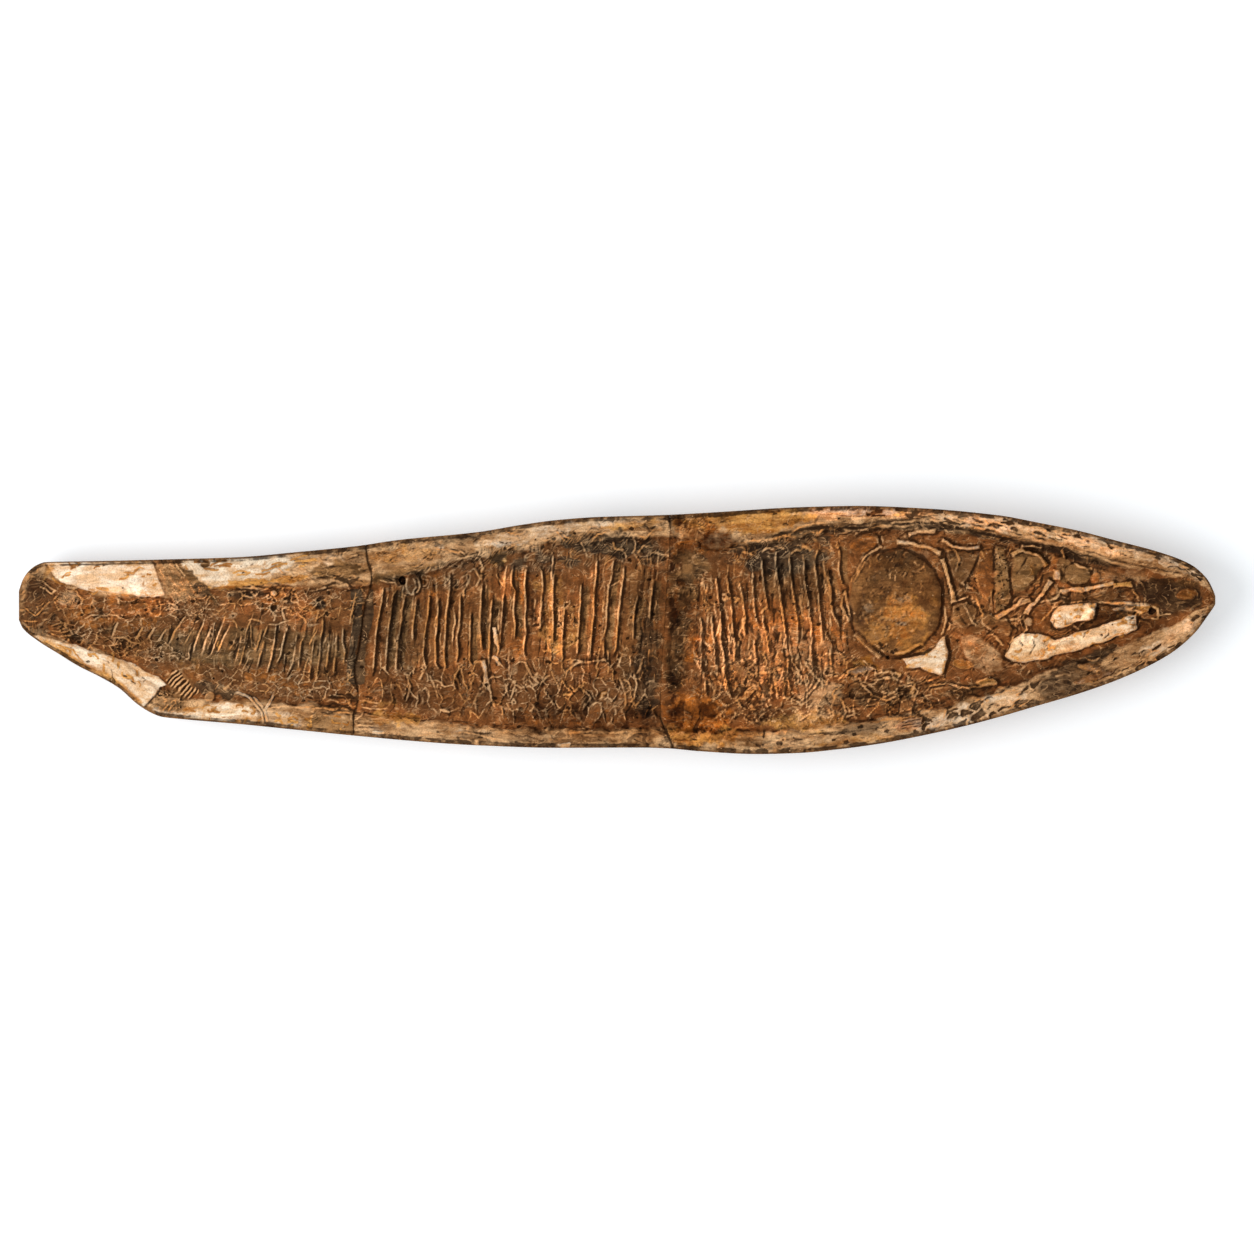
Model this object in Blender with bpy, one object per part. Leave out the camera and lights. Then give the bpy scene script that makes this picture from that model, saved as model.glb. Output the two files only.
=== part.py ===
"""Fossil fish slab: one half of a fish-shaped stone nodule, with the fish in low relief on its split face.

The nodule was broken across in two places and set together again, so it is three blocks of stone that
stand a hair apart at the breaks. Tables and sizes are in millimetres, and MM turns them into metres.
Frame: +X runs from the tail to the snout, +Y to the fish's back, and +Z up from the face that the slab
lies on. The origin is the middle of that face.
"""

import math
import random

import bmesh
import bpy
from mathutils import Matrix, Vector

MM = 0.001

# Driving dimensions
LENGTH = 442.0
HALF_LENGTH = LENGTH / 2
BREAK_GAP = 0.4
SEED = 11

# The slab's edge seen from above, as (x, y): the back edge, and the belly edge
BACK_EDGE = (
    (-221, 14.4), (-219.6, 18.5), (-217.3, 21.8), (-214.4, 24.0), (-211, 25.1), (-191, 25.5), (-162, 26.2),
    (-140, 26.9), (-118, 28.8), (-96, 31.0), (-81, 33.2), (-51, 36.2), (-36, 38.7), (-22, 40.6), (-7, 41.7),
    (19, 42.5), (37, 43.5), (67, 45.3), (89, 45.8), (111, 45.0), (141, 42.3), (155, 39.7), (170, 36.7),
    (185, 32.8), (200, 28.8), (211.5, 24.4), (217.7, 19.2), (220.3, 14.5), (221, 12.5),
)
BELLY_EDGE = (
    (-221, 3.7), (-219.6, 0.7), (-214.4, -3.7), (-206, -9.0), (-199, -13.3), (-191, -17.3), (-184, -21.4),
    (-177, -27.5), (-172, -30.6), (-168, -32.1), (-162, -32.8), (-140, -34.7), (-118, -36.9), (-96, -39.1),
    (-66, -41.7), (-51, -42.6), (-22, -43.5), (8, -43.4), (19, -43.7), (30, -44.7), (52, -45.8), (67, -45.4),
    (81, -44.1), (96, -42.1), (111, -39.3), (126, -36.0), (141, -32.1), (155, -28.0), (170, -23.6),
    (185, -18.3), (200, -11.3), (207, -6.8), (214, -0.4), (217.7, 4.6), (220.3, 8.3), (221, 9.5),
)

# Along x: the level of the rim, the rim's width on each side, how far the fish's bed is sunk below the
# rim, and how far the flank swells up again along its middle
RIM_LEVEL = ((-221, 23.0), (-150, 25.5), (-60, 28.5), (20, 30.0), (120, 30.0), (190, 28.0), (221, 24.5))
BACK_RIM = (
    (-221, 1.5), (-205, 7.0), (-190, 11.5), (-168, 12.0), (-150, 10.0), (-118, 11.0), (-96, 13.0),
    (-78, 11.5), (-50, 8.0), (-20, 7.0), (20, 7.5), (40, 12.5), (67, 10.0), (90, 7.0), (125, 7.0), (150, 8.0),
    (190, 8.0), (211, 4.5), (221, 1.5),
)
BELLY_RIM = (
    (-221, 1.5), (-206, 4.5), (-190, 8.5), (-176, 9.5), (-160, 6.0), (-140, 7.5), (-110, 8.5), (-80, 6.5),
    (-40, 5.5), (20, 5.5), (50, 6.5), (80, 8.0), (110, 8.0), (140, 8.5), (170, 10.5), (200, 10.0), (214, 6.0),
    (221, 1.5),
)
BED_DEPTH = (
    (-221, 0.3), (-205, 1.2), (-170, 2.0), (-120, 2.6), (-60, 3.0), (100, 3.2), (180, 2.8), (221, 0.6),
)
FLANK_RISE = ((-221, 0.1), (-150, 1.0), (-60, 2.0), (60, 2.3), (100, 1.6), (150, 1.0), (221, 0.2))
FLANK_SHARES = (0.22, 0.5, 0.78)
BED_WALL = 1.3
NARROW_SHARE = 0.3

# The nodule's side, as (height, how far it is drawn in there); the last two follow the rim's level
HULL_SIDE = ((0.0, 12.0), (2.5, 6.2), (7.0, 2.4), (13.0, 0.6), (19.0, 0.0))
RIM_EDGE = ((-1.0, 0.4), (0.0, 1.5))
FULL_HULL_WIDTH = 60.0

# The breaks, from beyond the back edge to beyond the belly edge
BREAK_REACH = 60
TAIL_BREAK = (
    (-92.5, BREAK_REACH), (-92.5, 30), (-90.5, 19), (-93, 9), (-95, -6), (-96.8, -15), (-95.5, -24),
    (-97.2, -34), (-97.2, -BREAK_REACH),
)
NECK_BREAK = (
    (19.5, BREAK_REACH), (19.5, 36), (18.5, 18), (17.5, 0), (16.5, -14), (16, -31), (19.5, -40),
    (21.5, -46), (21.5, -BREAK_REACH),
)

# The tall flank scales: where the row runs, its spacing, and along x their tops, feet and lean
SCALE_ROW = (-184.0, 86.0)
SCALE_PITCH = 4.15
SCALE_TOPS = (
    (-184, 3.5), (-165, 6.0), (-120, 6.5), (-96, 12), (-80, 17), (-40, 22), (15, 24), (52, 26), (86, 31),
)
SCALE_FEET = ((-184, -2.5), (-165, -8), (-140, -11), (-120, -15), (-96, -16), (15, -11), (52, -18), (86, -12))
SCALE_LEAN = ((-184, 4.0), (-150, 5.0), (-110, 2.5), (-60, 1.0), (10, 1.5), (25, -1.5), (86, -3.0))
SCALE_RIDGE = (2.2, 1.3)
NO_SCALE_NEAR_BREAK = 4.5

# How deep a ridge's waist lies under the split face, as a share of the ridge's height
RIDGE_SUNK = 0.2

# The small scales of the belly and of the back: rows, their first and next distance from the tall scales'
# feet or tops, the spacing along a row with its play, the range of turns, and each scale's size
SMALL_SCALE_ROWS = 3
SMALL_SCALE_START = 3.5
SMALL_SCALE_ROW_STEP = 5.0
SMALL_SCALE_PITCH = 9.0
SMALL_SCALE_PLAY = 1.0
SMALL_SCALE_TURNS = (30, 150)
SMALL_SCALE = (5.0, 3.0, 1.1)
BELLY_SCALES = (-110.0, 84.0)
BACK_SCALES = (-60.0, 10.0)

# The head: round gill cover, and the raised arc along its upper left, of straight bars that overlap
GILL_COVER = {"centre": (103.3, 10.4), "radius": 17.6, "height": 1.6}
GILL_ARC = {"radius": 19.0, "from_deg": 95.0, "to_deg": 205.0, "bars": 6, "overlap": 0.25, "size": (2.2, 1.3)}

# Slender bones as (start, end, width, height)
BONES = (
    ((120.4, 26.5), (124.8, 10.5), 2.4, 1.6),
    ((121.5, 33.0), (134.0, 30.5), 3.0, 1.2),
    ((117.5, -2.0), (120.5, 12.0), 1.8, 1.0),
    ((129.0, 20.0), (135.0, 6.0), 2.0, 1.1),
    ((139.0, 4.0), (159.0, 19.0), 3.2, 1.4),
    ((147.0, 29.0), (158.5, 26.5), 3.0, 1.3),
    ((141.0, 33.0), (141.5, 8.0), 5.0, 1.0),
    ((164.0, 14.6), (190.5, 17.2), 2.2, 1.3),
    ((160.0, 10.0), (197.0, 9.5), 1.6, 1.0),
    ((136.0, 0.5), (143.0, -6.5), 1.8, 1.0),
    ((186.0, 8.5), (207.0, 5.0), 3.2, 1.2),
    ((146.0, -13.5), (192.0, -4.5), 2.0, 1.2),
    ((108.0, -23.0), (138.0, -17.0), 2.6, 1.1),
    ((92.0, -16.5), (106.0, -14.5), 3.0, 1.2),
)

# Flat bones as (outline, height): the shoulder plate, the two jaw bones and the plate behind the eye
PLATES = (
    (((105, -10.5), (116, -7.5), (121.8, -2.8), (121.8, -9.5), (120, -17), (112, -15.5), (106, -13)), 1.4),
    (((160, 7), (163.5, 9.6), (177.5, 10.2), (176, 4.6), (167, 1.8), (162, 0.2), (159.8, 3.5)), 1.7),
    (
        ((143, -10), (146, -3.5), (149, -1.2), (156.5, -1.2), (161.5, -3.8), (171, -0.6), (182, 3),
         (192, 6.5), (192.5, 0.8), (185, -1.8), (178, -4.8), (167, -8.1), (156, -11.3), (147, -11.8)),
        1.9,
    ),
    (((146, 27.5), (149.5, 29.8), (156, 28.8), (158.6, 25), (154, 18.5), (147, 12), (145.2, 20)), 0.9),
)

# Fans of fin rays as (root, first tip, last tip, rays): the back fin, the anal fin and the tail fin
RAY_FANS = (
    ((-160.0, 11.5), (-170.5, 23.5), (-163.5, 23.5), 4),
    ((-158.0, -11.0), (-170.0, -29.0), (-157.0, -29.5), 6),
    ((-190.0, 1.0), (-214.0, 15.0), (-213.0, -1.0), 6),
)
FIN_RAY = (1.4, 0.8)
FIN_RAY_START = 0.3

# How far the prisms that part the blocks reach past the slab: sideways, below and above it
PRISM_MARGIN = 20.0
PRISM_FOOT = -5.0
PRISM_TOP = 45.0

STONE = {"name": "brown_stone", "colour": (0.27, 0.16, 0.085, 1.0), "roughness": 0.72}


def between(knots, x):
    """The value at x of the smooth curve through the knots, with no overshoot between them."""
    if x <= knots[0][0]:
        return knots[0][1]
    for (x0, v0), (x1, v1) in zip(knots, knots[1:]):
        if x <= x1:
            share = (x - x0) / (x1 - x0)
            return v0 + (v1 - v0) * share * share * (3 - 2 * share)
    return knots[-1][1]


def along(knots, x):
    """The value at x on the straight runs between the knots."""
    for (x0, v0), (x1, v1) in zip(knots, knots[1:]):
        if x <= x1:
            return v0 + (v1 - v0) * max(0.0, (x - x0) / (x1 - x0))
    return knots[-1][1]


def top_profile(x):
    """The split face across the slab at x, as (y, z) from the belly edge to the back edge."""
    belly, back = along(BELLY_EDGE, x), along(BACK_EDGE, x)
    level = between(RIM_LEVEL, x)
    width = back - belly
    edge = min(RIM_EDGE[-1][1], NARROW_SHARE * width / 2)
    belly_rim = belly + min(between(BELLY_RIM, x), NARROW_SHARE * width)
    back_rim = back - min(between(BACK_RIM, x), NARROW_SHARE * width)
    wall = min(BED_WALL, NARROW_SHARE * width / 4)
    bed = level - between(BED_DEPTH, x)
    feet = (belly_rim + wall, back_rim - wall)
    profile = [(belly + edge, level), (belly_rim, level), (feet[0], bed)]
    for share in FLANK_SHARES:
        rise = between(FLANK_RISE, x) * math.sin(math.pi * share)
        profile.append((feet[0] + share * (feet[1] - feet[0]), bed + rise))
    return profile + [(feet[1], bed), (back_rim, level), (back - edge, level)]


def surface_height(x, y):
    """The height of the split face at a point, without the fish's relief."""
    return along(top_profile(x), y)


def section(x):
    """The nodule's ring of points at x: up the belly side, over the split face and down the back side."""
    belly, back = along(BELLY_EDGE, x), along(BACK_EDGE, x)
    level = between(RIM_LEVEL, x)
    draw = min(1.0, (back - belly) / FULL_HULL_WIDTH)
    side = [*HULL_SIDE, (level + RIM_EDGE[0][0], RIM_EDGE[0][1])]
    up = [(belly + inset * draw, z, inset) for z, inset in side]
    over = [(y, z, RIM_EDGE[-1][1]) for y, z in top_profile(x)]
    down = [(back - inset * draw, z, inset) for z, inset in reversed(side)]
    # The ends are drawn in with height just as the sides are
    return [(x * (1 - inset / HALF_LENGTH), y, z) for y, z, inset in up + over + down]


def stations():
    """The places along x where a section is worked out: at every point of the two edges."""
    return sorted({x for x, _ in BACK_EDGE + BELLY_EDGE})


def new_object(name, mesh, collection):
    """A new object that holds the mesh, in the collection."""
    item = bpy.data.objects.new(name, mesh)
    collection.objects.link(item)
    return item


def nodule(collection):
    """The plain nodule half: a loft through its sections, closed at both ends."""
    bm = bmesh.new()
    rings = [[bm.verts.new(Vector(p) * MM) for p in section(x)] for x in stations()]
    count = len(rings[0])
    for ring, following in zip(rings, rings[1:]):
        for i in range(count):
            j = (i + 1) % count
            bm.faces.new((ring[i], ring[j], following[j], following[i]))
    for ring in (rings[0], rings[-1]):
        for i in range(count // 2):
            corners = (ring[i], ring[i + 1], ring[count - 2 - i], ring[count - 1 - i])
            bm.faces.new(dict.fromkeys(corners))
    bmesh.ops.recalc_face_normals(bm, faces=bm.faces)
    mesh = bpy.data.meshes.new("nodule")
    bm.to_mesh(mesh)
    bm.free()
    return new_object("nodule", mesh, collection)


def drape(bm):
    """Lifts what is modelled about the level z = 0 on to the split face, point by point."""
    for vert in bm.verts:
        vert.co.z += surface_height(vert.co.x / MM, vert.co.y / MM) * MM


def relief_object(name, bm, collection):
    """A draped relief piece, kept as a helper that is joined to the stone."""
    drape(bm)
    mesh = bpy.data.meshes.new(name)
    bm.to_mesh(mesh)
    bm.free()
    item = new_object(name, mesh, collection)
    item.hide_render = True
    item.display_type = "WIRE"
    return item


def ridge(name, start, end, size, collection):
    """A slender sharp-backed ridge from start to end, widest and highest at its middle."""
    a, b = Vector(start), Vector(end)
    width, height = size
    bm = bmesh.new()
    bmesh.ops.create_uvsphere(bm, u_segments=4, v_segments=4, radius=1.0)
    # The sphere's poles point along the ridge, and its waist lies just under the split face
    bm.transform(Matrix.Rotation(math.radians(90), 4, "Y"))
    bm.transform(Matrix.Translation((0, 0, -RIDGE_SUNK)))
    bm.transform(Matrix.Diagonal(((b - a).length / 2 * MM, width / 2 * MM, height * MM, 1)))
    turn = Matrix.Rotation(math.atan2(b.y - a.y, b.x - a.x), 4, "Z")
    middle = ((a + b) / 2 * MM).to_3d()
    bm.transform(Matrix.Translation(middle) @ turn)
    return relief_object(name, bm, collection)


def lump(name, centre, size, turn_deg, collection):
    """A small low lump, such as one belly scale."""
    length, width, height = size
    bm = bmesh.new()
    bmesh.ops.create_icosphere(bm, subdivisions=1, radius=1.0)
    bm.transform(Matrix.Diagonal((length / 2 * MM, width / 2 * MM, height * MM, 1)))
    place = Matrix.Translation((centre[0] * MM, centre[1] * MM, 0))
    bm.transform(place @ Matrix.Rotation(math.radians(turn_deg), 4, "Z"))
    return relief_object(name, bm, collection)


def flat_bone(name, outline, height, collection):
    """A flat bone of that outline, as thick below the split face as it stands above it."""
    curve = bpy.data.curves.new(name, "CURVE")
    curve.dimensions = "2D"
    curve.fill_mode = "BOTH"
    curve.extrude = height * MM
    spline = curve.splines.new("POLY")
    spline.points.add(len(outline) - 1)
    for point, (x, y) in zip(spline.points, outline):
        point.co = (x * MM, y * MM, 0, 1)
    spline.use_cyclic_u = True
    drawn = new_object(name + "_outline", curve, collection)
    graph = bpy.context.evaluated_depsgraph_get()
    mesh = bpy.data.meshes.new_from_object(drawn.evaluated_get(graph))
    bpy.data.objects.remove(drawn)
    bm = bmesh.new()
    bm.from_mesh(mesh)
    bmesh.ops.remove_doubles(bm, verts=bm.verts, dist=0.01 * MM)
    return relief_object(name, bm, collection)


def near_break(x, y):
    """True where the point is too near one of the two breaks for a scale."""
    at = [along([(v, u) for u, v in reversed(line)], y) for line in (TAIL_BREAK, NECK_BREAK)]
    return min(abs(x - place) for place in at) < NO_SCALE_NEAR_BREAK


def flank_scales(collection):
    """The row of tall flank scales, which leave the two breaks free."""
    first, last = SCALE_ROW
    for i in range(int((last - first) / SCALE_PITCH) + 1):
        x = first + i * SCALE_PITCH
        if near_break(x, 0.0):
            continue
        lean = between(SCALE_LEAN, x)
        top = (x + lean / 2, between(SCALE_TOPS, x))
        foot = (x - lean / 2, between(SCALE_FEET, x))
        ridge(f"scale_{i}", foot, top, SCALE_RIDGE, collection)


def small_scales(name, row, edge, direction, rng, collection):
    """Staggered rows of small scales beyond the flank scales' feet or tops."""
    first, last = row
    play = SMALL_SCALE_PLAY
    for r in range(SMALL_SCALE_ROWS):
        for i in range(int((last - first) / SMALL_SCALE_PITCH)):
            x = first + (i + 0.5 * (r % 2)) * SMALL_SCALE_PITCH + rng.uniform(-play, play)
            y = between(edge, x) + direction * (SMALL_SCALE_START + SMALL_SCALE_ROW_STEP * r)
            turn = rng.uniform(*SMALL_SCALE_TURNS)
            if not near_break(x, y):
                lump(f"{name}_{r}_{i}", (x, y), SMALL_SCALE, turn, collection)


def gill_cover(collection):
    """The round domed gill cover and the raised arc round its upper left."""
    cx, cy = GILL_COVER["centre"]
    radius = GILL_COVER["radius"]
    bm = bmesh.new()
    bmesh.ops.create_uvsphere(bm, u_segments=28, v_segments=8, radius=1.0)
    bm.transform(Matrix.Diagonal((radius * MM, radius * MM, GILL_COVER["height"] * MM, 1)))
    bm.transform(Matrix.Translation((cx * MM, cy * MM, 0)))
    relief_object("gill_cover", bm, collection)
    step = math.radians(GILL_ARC["to_deg"] - GILL_ARC["from_deg"]) / GILL_ARC["bars"]
    for i in range(GILL_ARC["bars"]):
        ends = []
        for turn in (i - GILL_ARC["overlap"], i + 1 + GILL_ARC["overlap"]):
            angle = math.radians(GILL_ARC["from_deg"]) + turn * step
            out = GILL_ARC["radius"]
            ends.append((cx + out * math.cos(angle), cy + out * math.sin(angle)))
        ridge(f"gill_arc_{i}", ends[0], ends[1], GILL_ARC["size"], collection)


def fin_rays(collection):
    """The fans of fin rays: back fin, anal fin and tail fin."""
    for f, (root, first, last, rays) in enumerate(RAY_FANS):
        for i in range(rays):
            tip = Vector(first).lerp(Vector(last), i / (rays - 1))
            start = Vector(root).lerp(tip, FIN_RAY_START)
            ridge(f"ray_{f}_{i}", start, tip, FIN_RAY, collection)


def head_bones(collection):
    """The slender and the flat bones of the skull and the jaws."""
    for i, (start, end, width, height) in enumerate(BONES):
        ridge(f"bone_{i}", start, end, (width, height), collection)
    for i, (outline, height) in enumerate(PLATES):
        flat_bone(f"plate_{i}", outline, height, collection)


def fish_relief(collection):
    """All that stands up from the split face."""
    rng = random.Random(SEED)
    flank_scales(collection)
    small_scales("belly_scale", BELLY_SCALES, SCALE_FEET, -1, rng, collection)
    small_scales("back_scale", BACK_SCALES, SCALE_TOPS, 1, rng, collection)
    gill_cover(collection)
    head_bones(collection)
    fin_rays(collection)


def boolean(item, operation, **operand):
    """Adds an exact Boolean modifier to the object."""
    modifier = item.modifiers.new(operation.lower(), "BOOLEAN")
    modifier.operation = operation
    modifier.solver = "EXACT"
    for key, value in operand.items():
        setattr(modifier, key, value)
    return modifier


def as_made(item):
    """A mesh of the object with its modifiers carried out."""
    graph = bpy.context.evaluated_depsgraph_get()
    return bpy.data.meshes.new_from_object(item.evaluated_get(graph))


def keeping_prism(name, left, right, collection):
    """An upright prism between two lines that cross the slab, which keeps one block of it."""
    outline = [*left, *reversed(right)]
    bm = bmesh.new()
    base = [bm.verts.new((x * MM, y * MM, PRISM_FOOT * MM)) for x, y in outline]
    face = bm.faces.new(base)
    raised = bmesh.ops.extrude_face_region(bm, geom=[face])["geom"]
    top = [v for v in raised if isinstance(v, bmesh.types.BMVert)]
    bmesh.ops.translate(bm, verts=top, vec=(0, 0, (PRISM_TOP - PRISM_FOOT) * MM))
    bmesh.ops.recalc_face_normals(bm, faces=bm.faces)
    mesh = bpy.data.meshes.new(name)
    bm.to_mesh(mesh)
    bm.free()
    item = new_object(name, mesh, collection)
    item.hide_render = True
    item.display_type = "WIRE"
    return item


def shifted(line, distance):
    """A line across the slab moved along x."""
    return [(x + distance, y) for x, y in line]


def stone_material():
    """The brown stone that all three blocks share a recipe for."""
    material = bpy.data.materials.new(STONE["name"])
    material.use_nodes = True
    shader = material.node_tree.nodes["Principled BSDF"]
    shader.inputs["Base Color"].default_value = STONE["colour"]
    shader.inputs["Roughness"].default_value = STONE["roughness"]
    shader.inputs["Metallic"].default_value = 0.0
    return material


def clear_scene():
    """Removes the startup objects."""
    for item in list(bpy.data.objects):
        bpy.data.objects.remove(item)


def main():
    """Builds the nodule, raises the fish on it and parts it at its two breaks."""
    clear_scene()
    scene = bpy.context.scene.collection
    slab = bpy.data.collections.new("fossil_fish_slab")
    helpers = bpy.data.collections.new("cutters")
    relief = bpy.data.collections.new("relief")
    for collection in (slab, helpers):
        scene.children.link(collection)
    helpers.children.link(relief)

    whole = nodule(helpers)
    fish_relief(relief)
    boolean(whole, "UNION", operand_type="COLLECTION", collection=relief)
    whole_mesh = as_made(whole)
    for item in [whole, *relief.objects]:
        bpy.data.objects.remove(item)

    tail_end = [(-HALF_LENGTH - PRISM_MARGIN, y) for y in (BREAK_REACH, -BREAK_REACH)]
    snout_end = [(HALF_LENGTH + PRISM_MARGIN, y) for y in (BREAK_REACH, -BREAK_REACH)]
    half_gap = BREAK_GAP / 2
    blocks = {
        "tail_block": (tail_end, shifted(TAIL_BREAK, -half_gap)),
        "middle_block": (shifted(TAIL_BREAK, half_gap), shifted(NECK_BREAK, -half_gap)),
        "head_block": (shifted(NECK_BREAK, half_gap), snout_end),
    }
    for name, (left, right) in blocks.items():
        block = new_object(name, whole_mesh.copy(), slab)
        prism = keeping_prism(f"{name}_prism", left, right, helpers)
        boolean(block, "INTERSECT", object=prism)
        block.data.materials.clear()
        block.data.materials.append(stone_material())


main()
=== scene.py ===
"""Looks of the fossil fish slab: the three blocks of a split nodule, with the fish on its face.

Each block is one mesh: a fine grid for the split face, rings for its sides and a coarse grid beneath.
The split face is carved in millimetres, feature by feature, and each feature also says where cream, rust,
soot and the other coats of the stone lie, and where highlight and shade are painted into its colour.
The coats are kept as attributes that the stone's recipe reads.
Frame: +X runs from the tail to the snout, +Y to the fish's back, and +Z up. Places and sizes on the slab are
in millimetres. A salt is the seed of one pattern, so that no two patterns run alike.
"""

import logging
import math
from dataclasses import dataclass, field
from enum import Enum, IntEnum
from typing import Protocol

import bpy
import numpy as np
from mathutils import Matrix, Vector


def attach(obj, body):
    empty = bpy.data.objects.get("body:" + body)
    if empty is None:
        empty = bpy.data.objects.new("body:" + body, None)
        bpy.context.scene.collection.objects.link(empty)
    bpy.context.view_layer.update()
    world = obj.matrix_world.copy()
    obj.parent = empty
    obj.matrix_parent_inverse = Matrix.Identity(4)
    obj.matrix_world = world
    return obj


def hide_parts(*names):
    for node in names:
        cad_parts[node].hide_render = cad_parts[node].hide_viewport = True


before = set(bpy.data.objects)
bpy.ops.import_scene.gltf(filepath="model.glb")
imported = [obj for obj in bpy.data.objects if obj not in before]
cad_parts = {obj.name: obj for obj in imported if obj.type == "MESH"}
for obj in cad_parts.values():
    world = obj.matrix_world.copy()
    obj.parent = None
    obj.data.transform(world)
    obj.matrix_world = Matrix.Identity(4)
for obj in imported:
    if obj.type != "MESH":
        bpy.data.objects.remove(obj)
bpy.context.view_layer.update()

LOG = logging.getLogger("fossil")
MM = 0.001
NOISE_GAIN = 1.5
OCTAVE_STEP = 0.5
OCTAVE_FADE = 0.55
BLUR_CUT = 2.5
LIGHT_LEAN = (0.9, 0.45)
EDGE_WAVE = 5.0

Point = tuple[float, float]
Path = tuple[Point, ...]
Spot = tuple[float, float, float, float, float, float]


class Salt(IntEnum):
    """The seeds of the patterns that all the blocks share."""

    SCALE_PICK = 12
    BED_X = 61
    BED_Y = 62
    RIM_BEND = 64
    RIM_STREAKS = 65
    SWELL = 66
    RIM_LUMPS = 67
    BED_LUMPS = 68
    BED_GRIT = 69
    EDGE_SHADE_BREAKS = 70
    WANDER_X = 71
    WANDER_Y = 72
    SHAKE_X = 73
    SHAKE_Y = 74
    STROKE_BEAT = 75
    STAIN_EDGE = 76
    RAY_BEND = 77
    SCALE_BEAT = 78
    PLATE_BEAT = 79
    RAY_EDGE = 81
    PLATE_OCHRE = 82
    SCALE_WANE = 118
    EDGE_SHADE_SPREAD = 170
    SCALE_SWAY = 178


# ---------------------------------------------------------------------------------------------------
# Numbers on the plane: curves, noise and blur
# ---------------------------------------------------------------------------------------------------

def ramp(value: np.ndarray, low: float, high: float) -> np.ndarray:
    """Smooth step from 0 at low to 1 at high.

    Args:
        value: What is tested.
        low: Where the step begins; it may be the larger of the two.
        high: Where it ends.

    Returns:
        The step, as an array from 0 to 1.
    """
    share = np.clip((value - low) / (high - low), 0.0, 1.0)
    return share * share * (3.0 - 2.0 * share)


def bump(distance: np.ndarray, width: float) -> np.ndarray:
    """A soft hill over distance: 1 on the line and 0.37 at width from it."""
    return np.exp(-np.square(distance / width))


def curve(knots: Path, at: np.ndarray) -> np.ndarray:
    """The smooth curve through the knots, with no overshoot between them.

    Args:
        knots: Pairs of place and value, with rising places.
        at: The places where the curve is read.

    Returns:
        The curve's value at each place.
    """
    x, y = np.array(knots, float).T
    step = np.diff(x)
    slope = np.diff(y) / step
    before, after = slope[:-1], slope[1:]
    lean = np.zeros_like(x)
    lean[1:-1] = np.where(after * before > 0, 2 * after * before / (after + before + 1e-12), 0)
    lean[0], lean[-1] = slope[0], slope[-1]
    place = np.clip(at, x[0], x[-1])
    i = np.clip(np.searchsorted(x, place, side="right") - 1, 0, len(step) - 1)
    t = (place - x[i]) / step[i]
    start = (1 + 2 * t) * (1 - t) ** 2 * y[i] + t * (1 - t) ** 2 * step[i] * lean[i]
    end = t * t * (3 - 2 * t) * y[i + 1] + t * t * (t - 1) * step[i] * lean[i + 1]
    return start + end


def mixed(ix: np.ndarray, iy: np.ndarray, salt: int) -> np.ndarray:
    """A steady random number from 0 to 1 for each lattice place.

    Args:
        ix: Whole steps along.
        iy: Whole steps across.
        salt: Seed of the numbers.

    Returns:
        The numbers.
    """
    n = ix.astype(np.int64).astype(np.uint32) * np.uint32(0x9E3779B1)
    n ^= iy.astype(np.int64).astype(np.uint32) * np.uint32(0x85EBCA77)
    n += np.uint32((salt * 0xC2B2AE3D) & 0xFFFFFFFF)
    for shift, factor in ((15, 0x2C1B3C6D), (12, 0x297A2D39)):
        n ^= n >> np.uint32(shift)
        n *= np.uint32(factor)
    return (n ^ (n >> np.uint32(15))) / float(2 ** 32)


def noise(x: np.ndarray, y: np.ndarray, salt: int) -> np.ndarray:
    """Smooth noise from about -1 to 1 with a wavelength of 1.

    Args:
        x: Places along, in wavelengths.
        y: Places across, in wavelengths.
        salt: Seed of the noise.

    Returns:
        The noise at each place.
    """
    ix, iy = np.floor(x), np.floor(y)
    fx, fy = x - ix, y - iy
    total = np.zeros_like(fx)
    fade_x = fx ** 3 * (fx * (fx * 6 - 15) + 10)
    fade_y = fy ** 3 * (fy * (fy * 6 - 15) + 10)
    for dx in (0, 1):
        for dy in (0, 1):
            angle = 2 * math.pi * mixed(ix + dx, iy + dy, salt)
            slope = np.cos(angle) * (fx - dx) + np.sin(angle) * (fy - dy)
            share_x = fade_x if dx else 1 - fade_x
            share_y = fade_y if dy else 1 - fade_y
            total += slope * share_x * share_y
    return total * NOISE_GAIN


def rough(x: np.ndarray, y: np.ndarray, wave: float, octaves: int, salt: int) -> np.ndarray:
    """Noise of several octaves, each half as long as the one before it.

    Args:
        x: Places along.
        y: Places across.
        wave: The longest wavelength.
        octaves: How many octaves there are.
        salt: Seed of the noise.

    Returns:
        The noise at each place.
    """
    total = np.zeros_like(x)
    size, strength = wave, 1.0
    for octave in range(octaves):
        total += strength * noise(x / size, y / size, salt + 31 * octave)
        size, strength = size * OCTAVE_STEP, strength * OCTAVE_FADE
    return total


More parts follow.
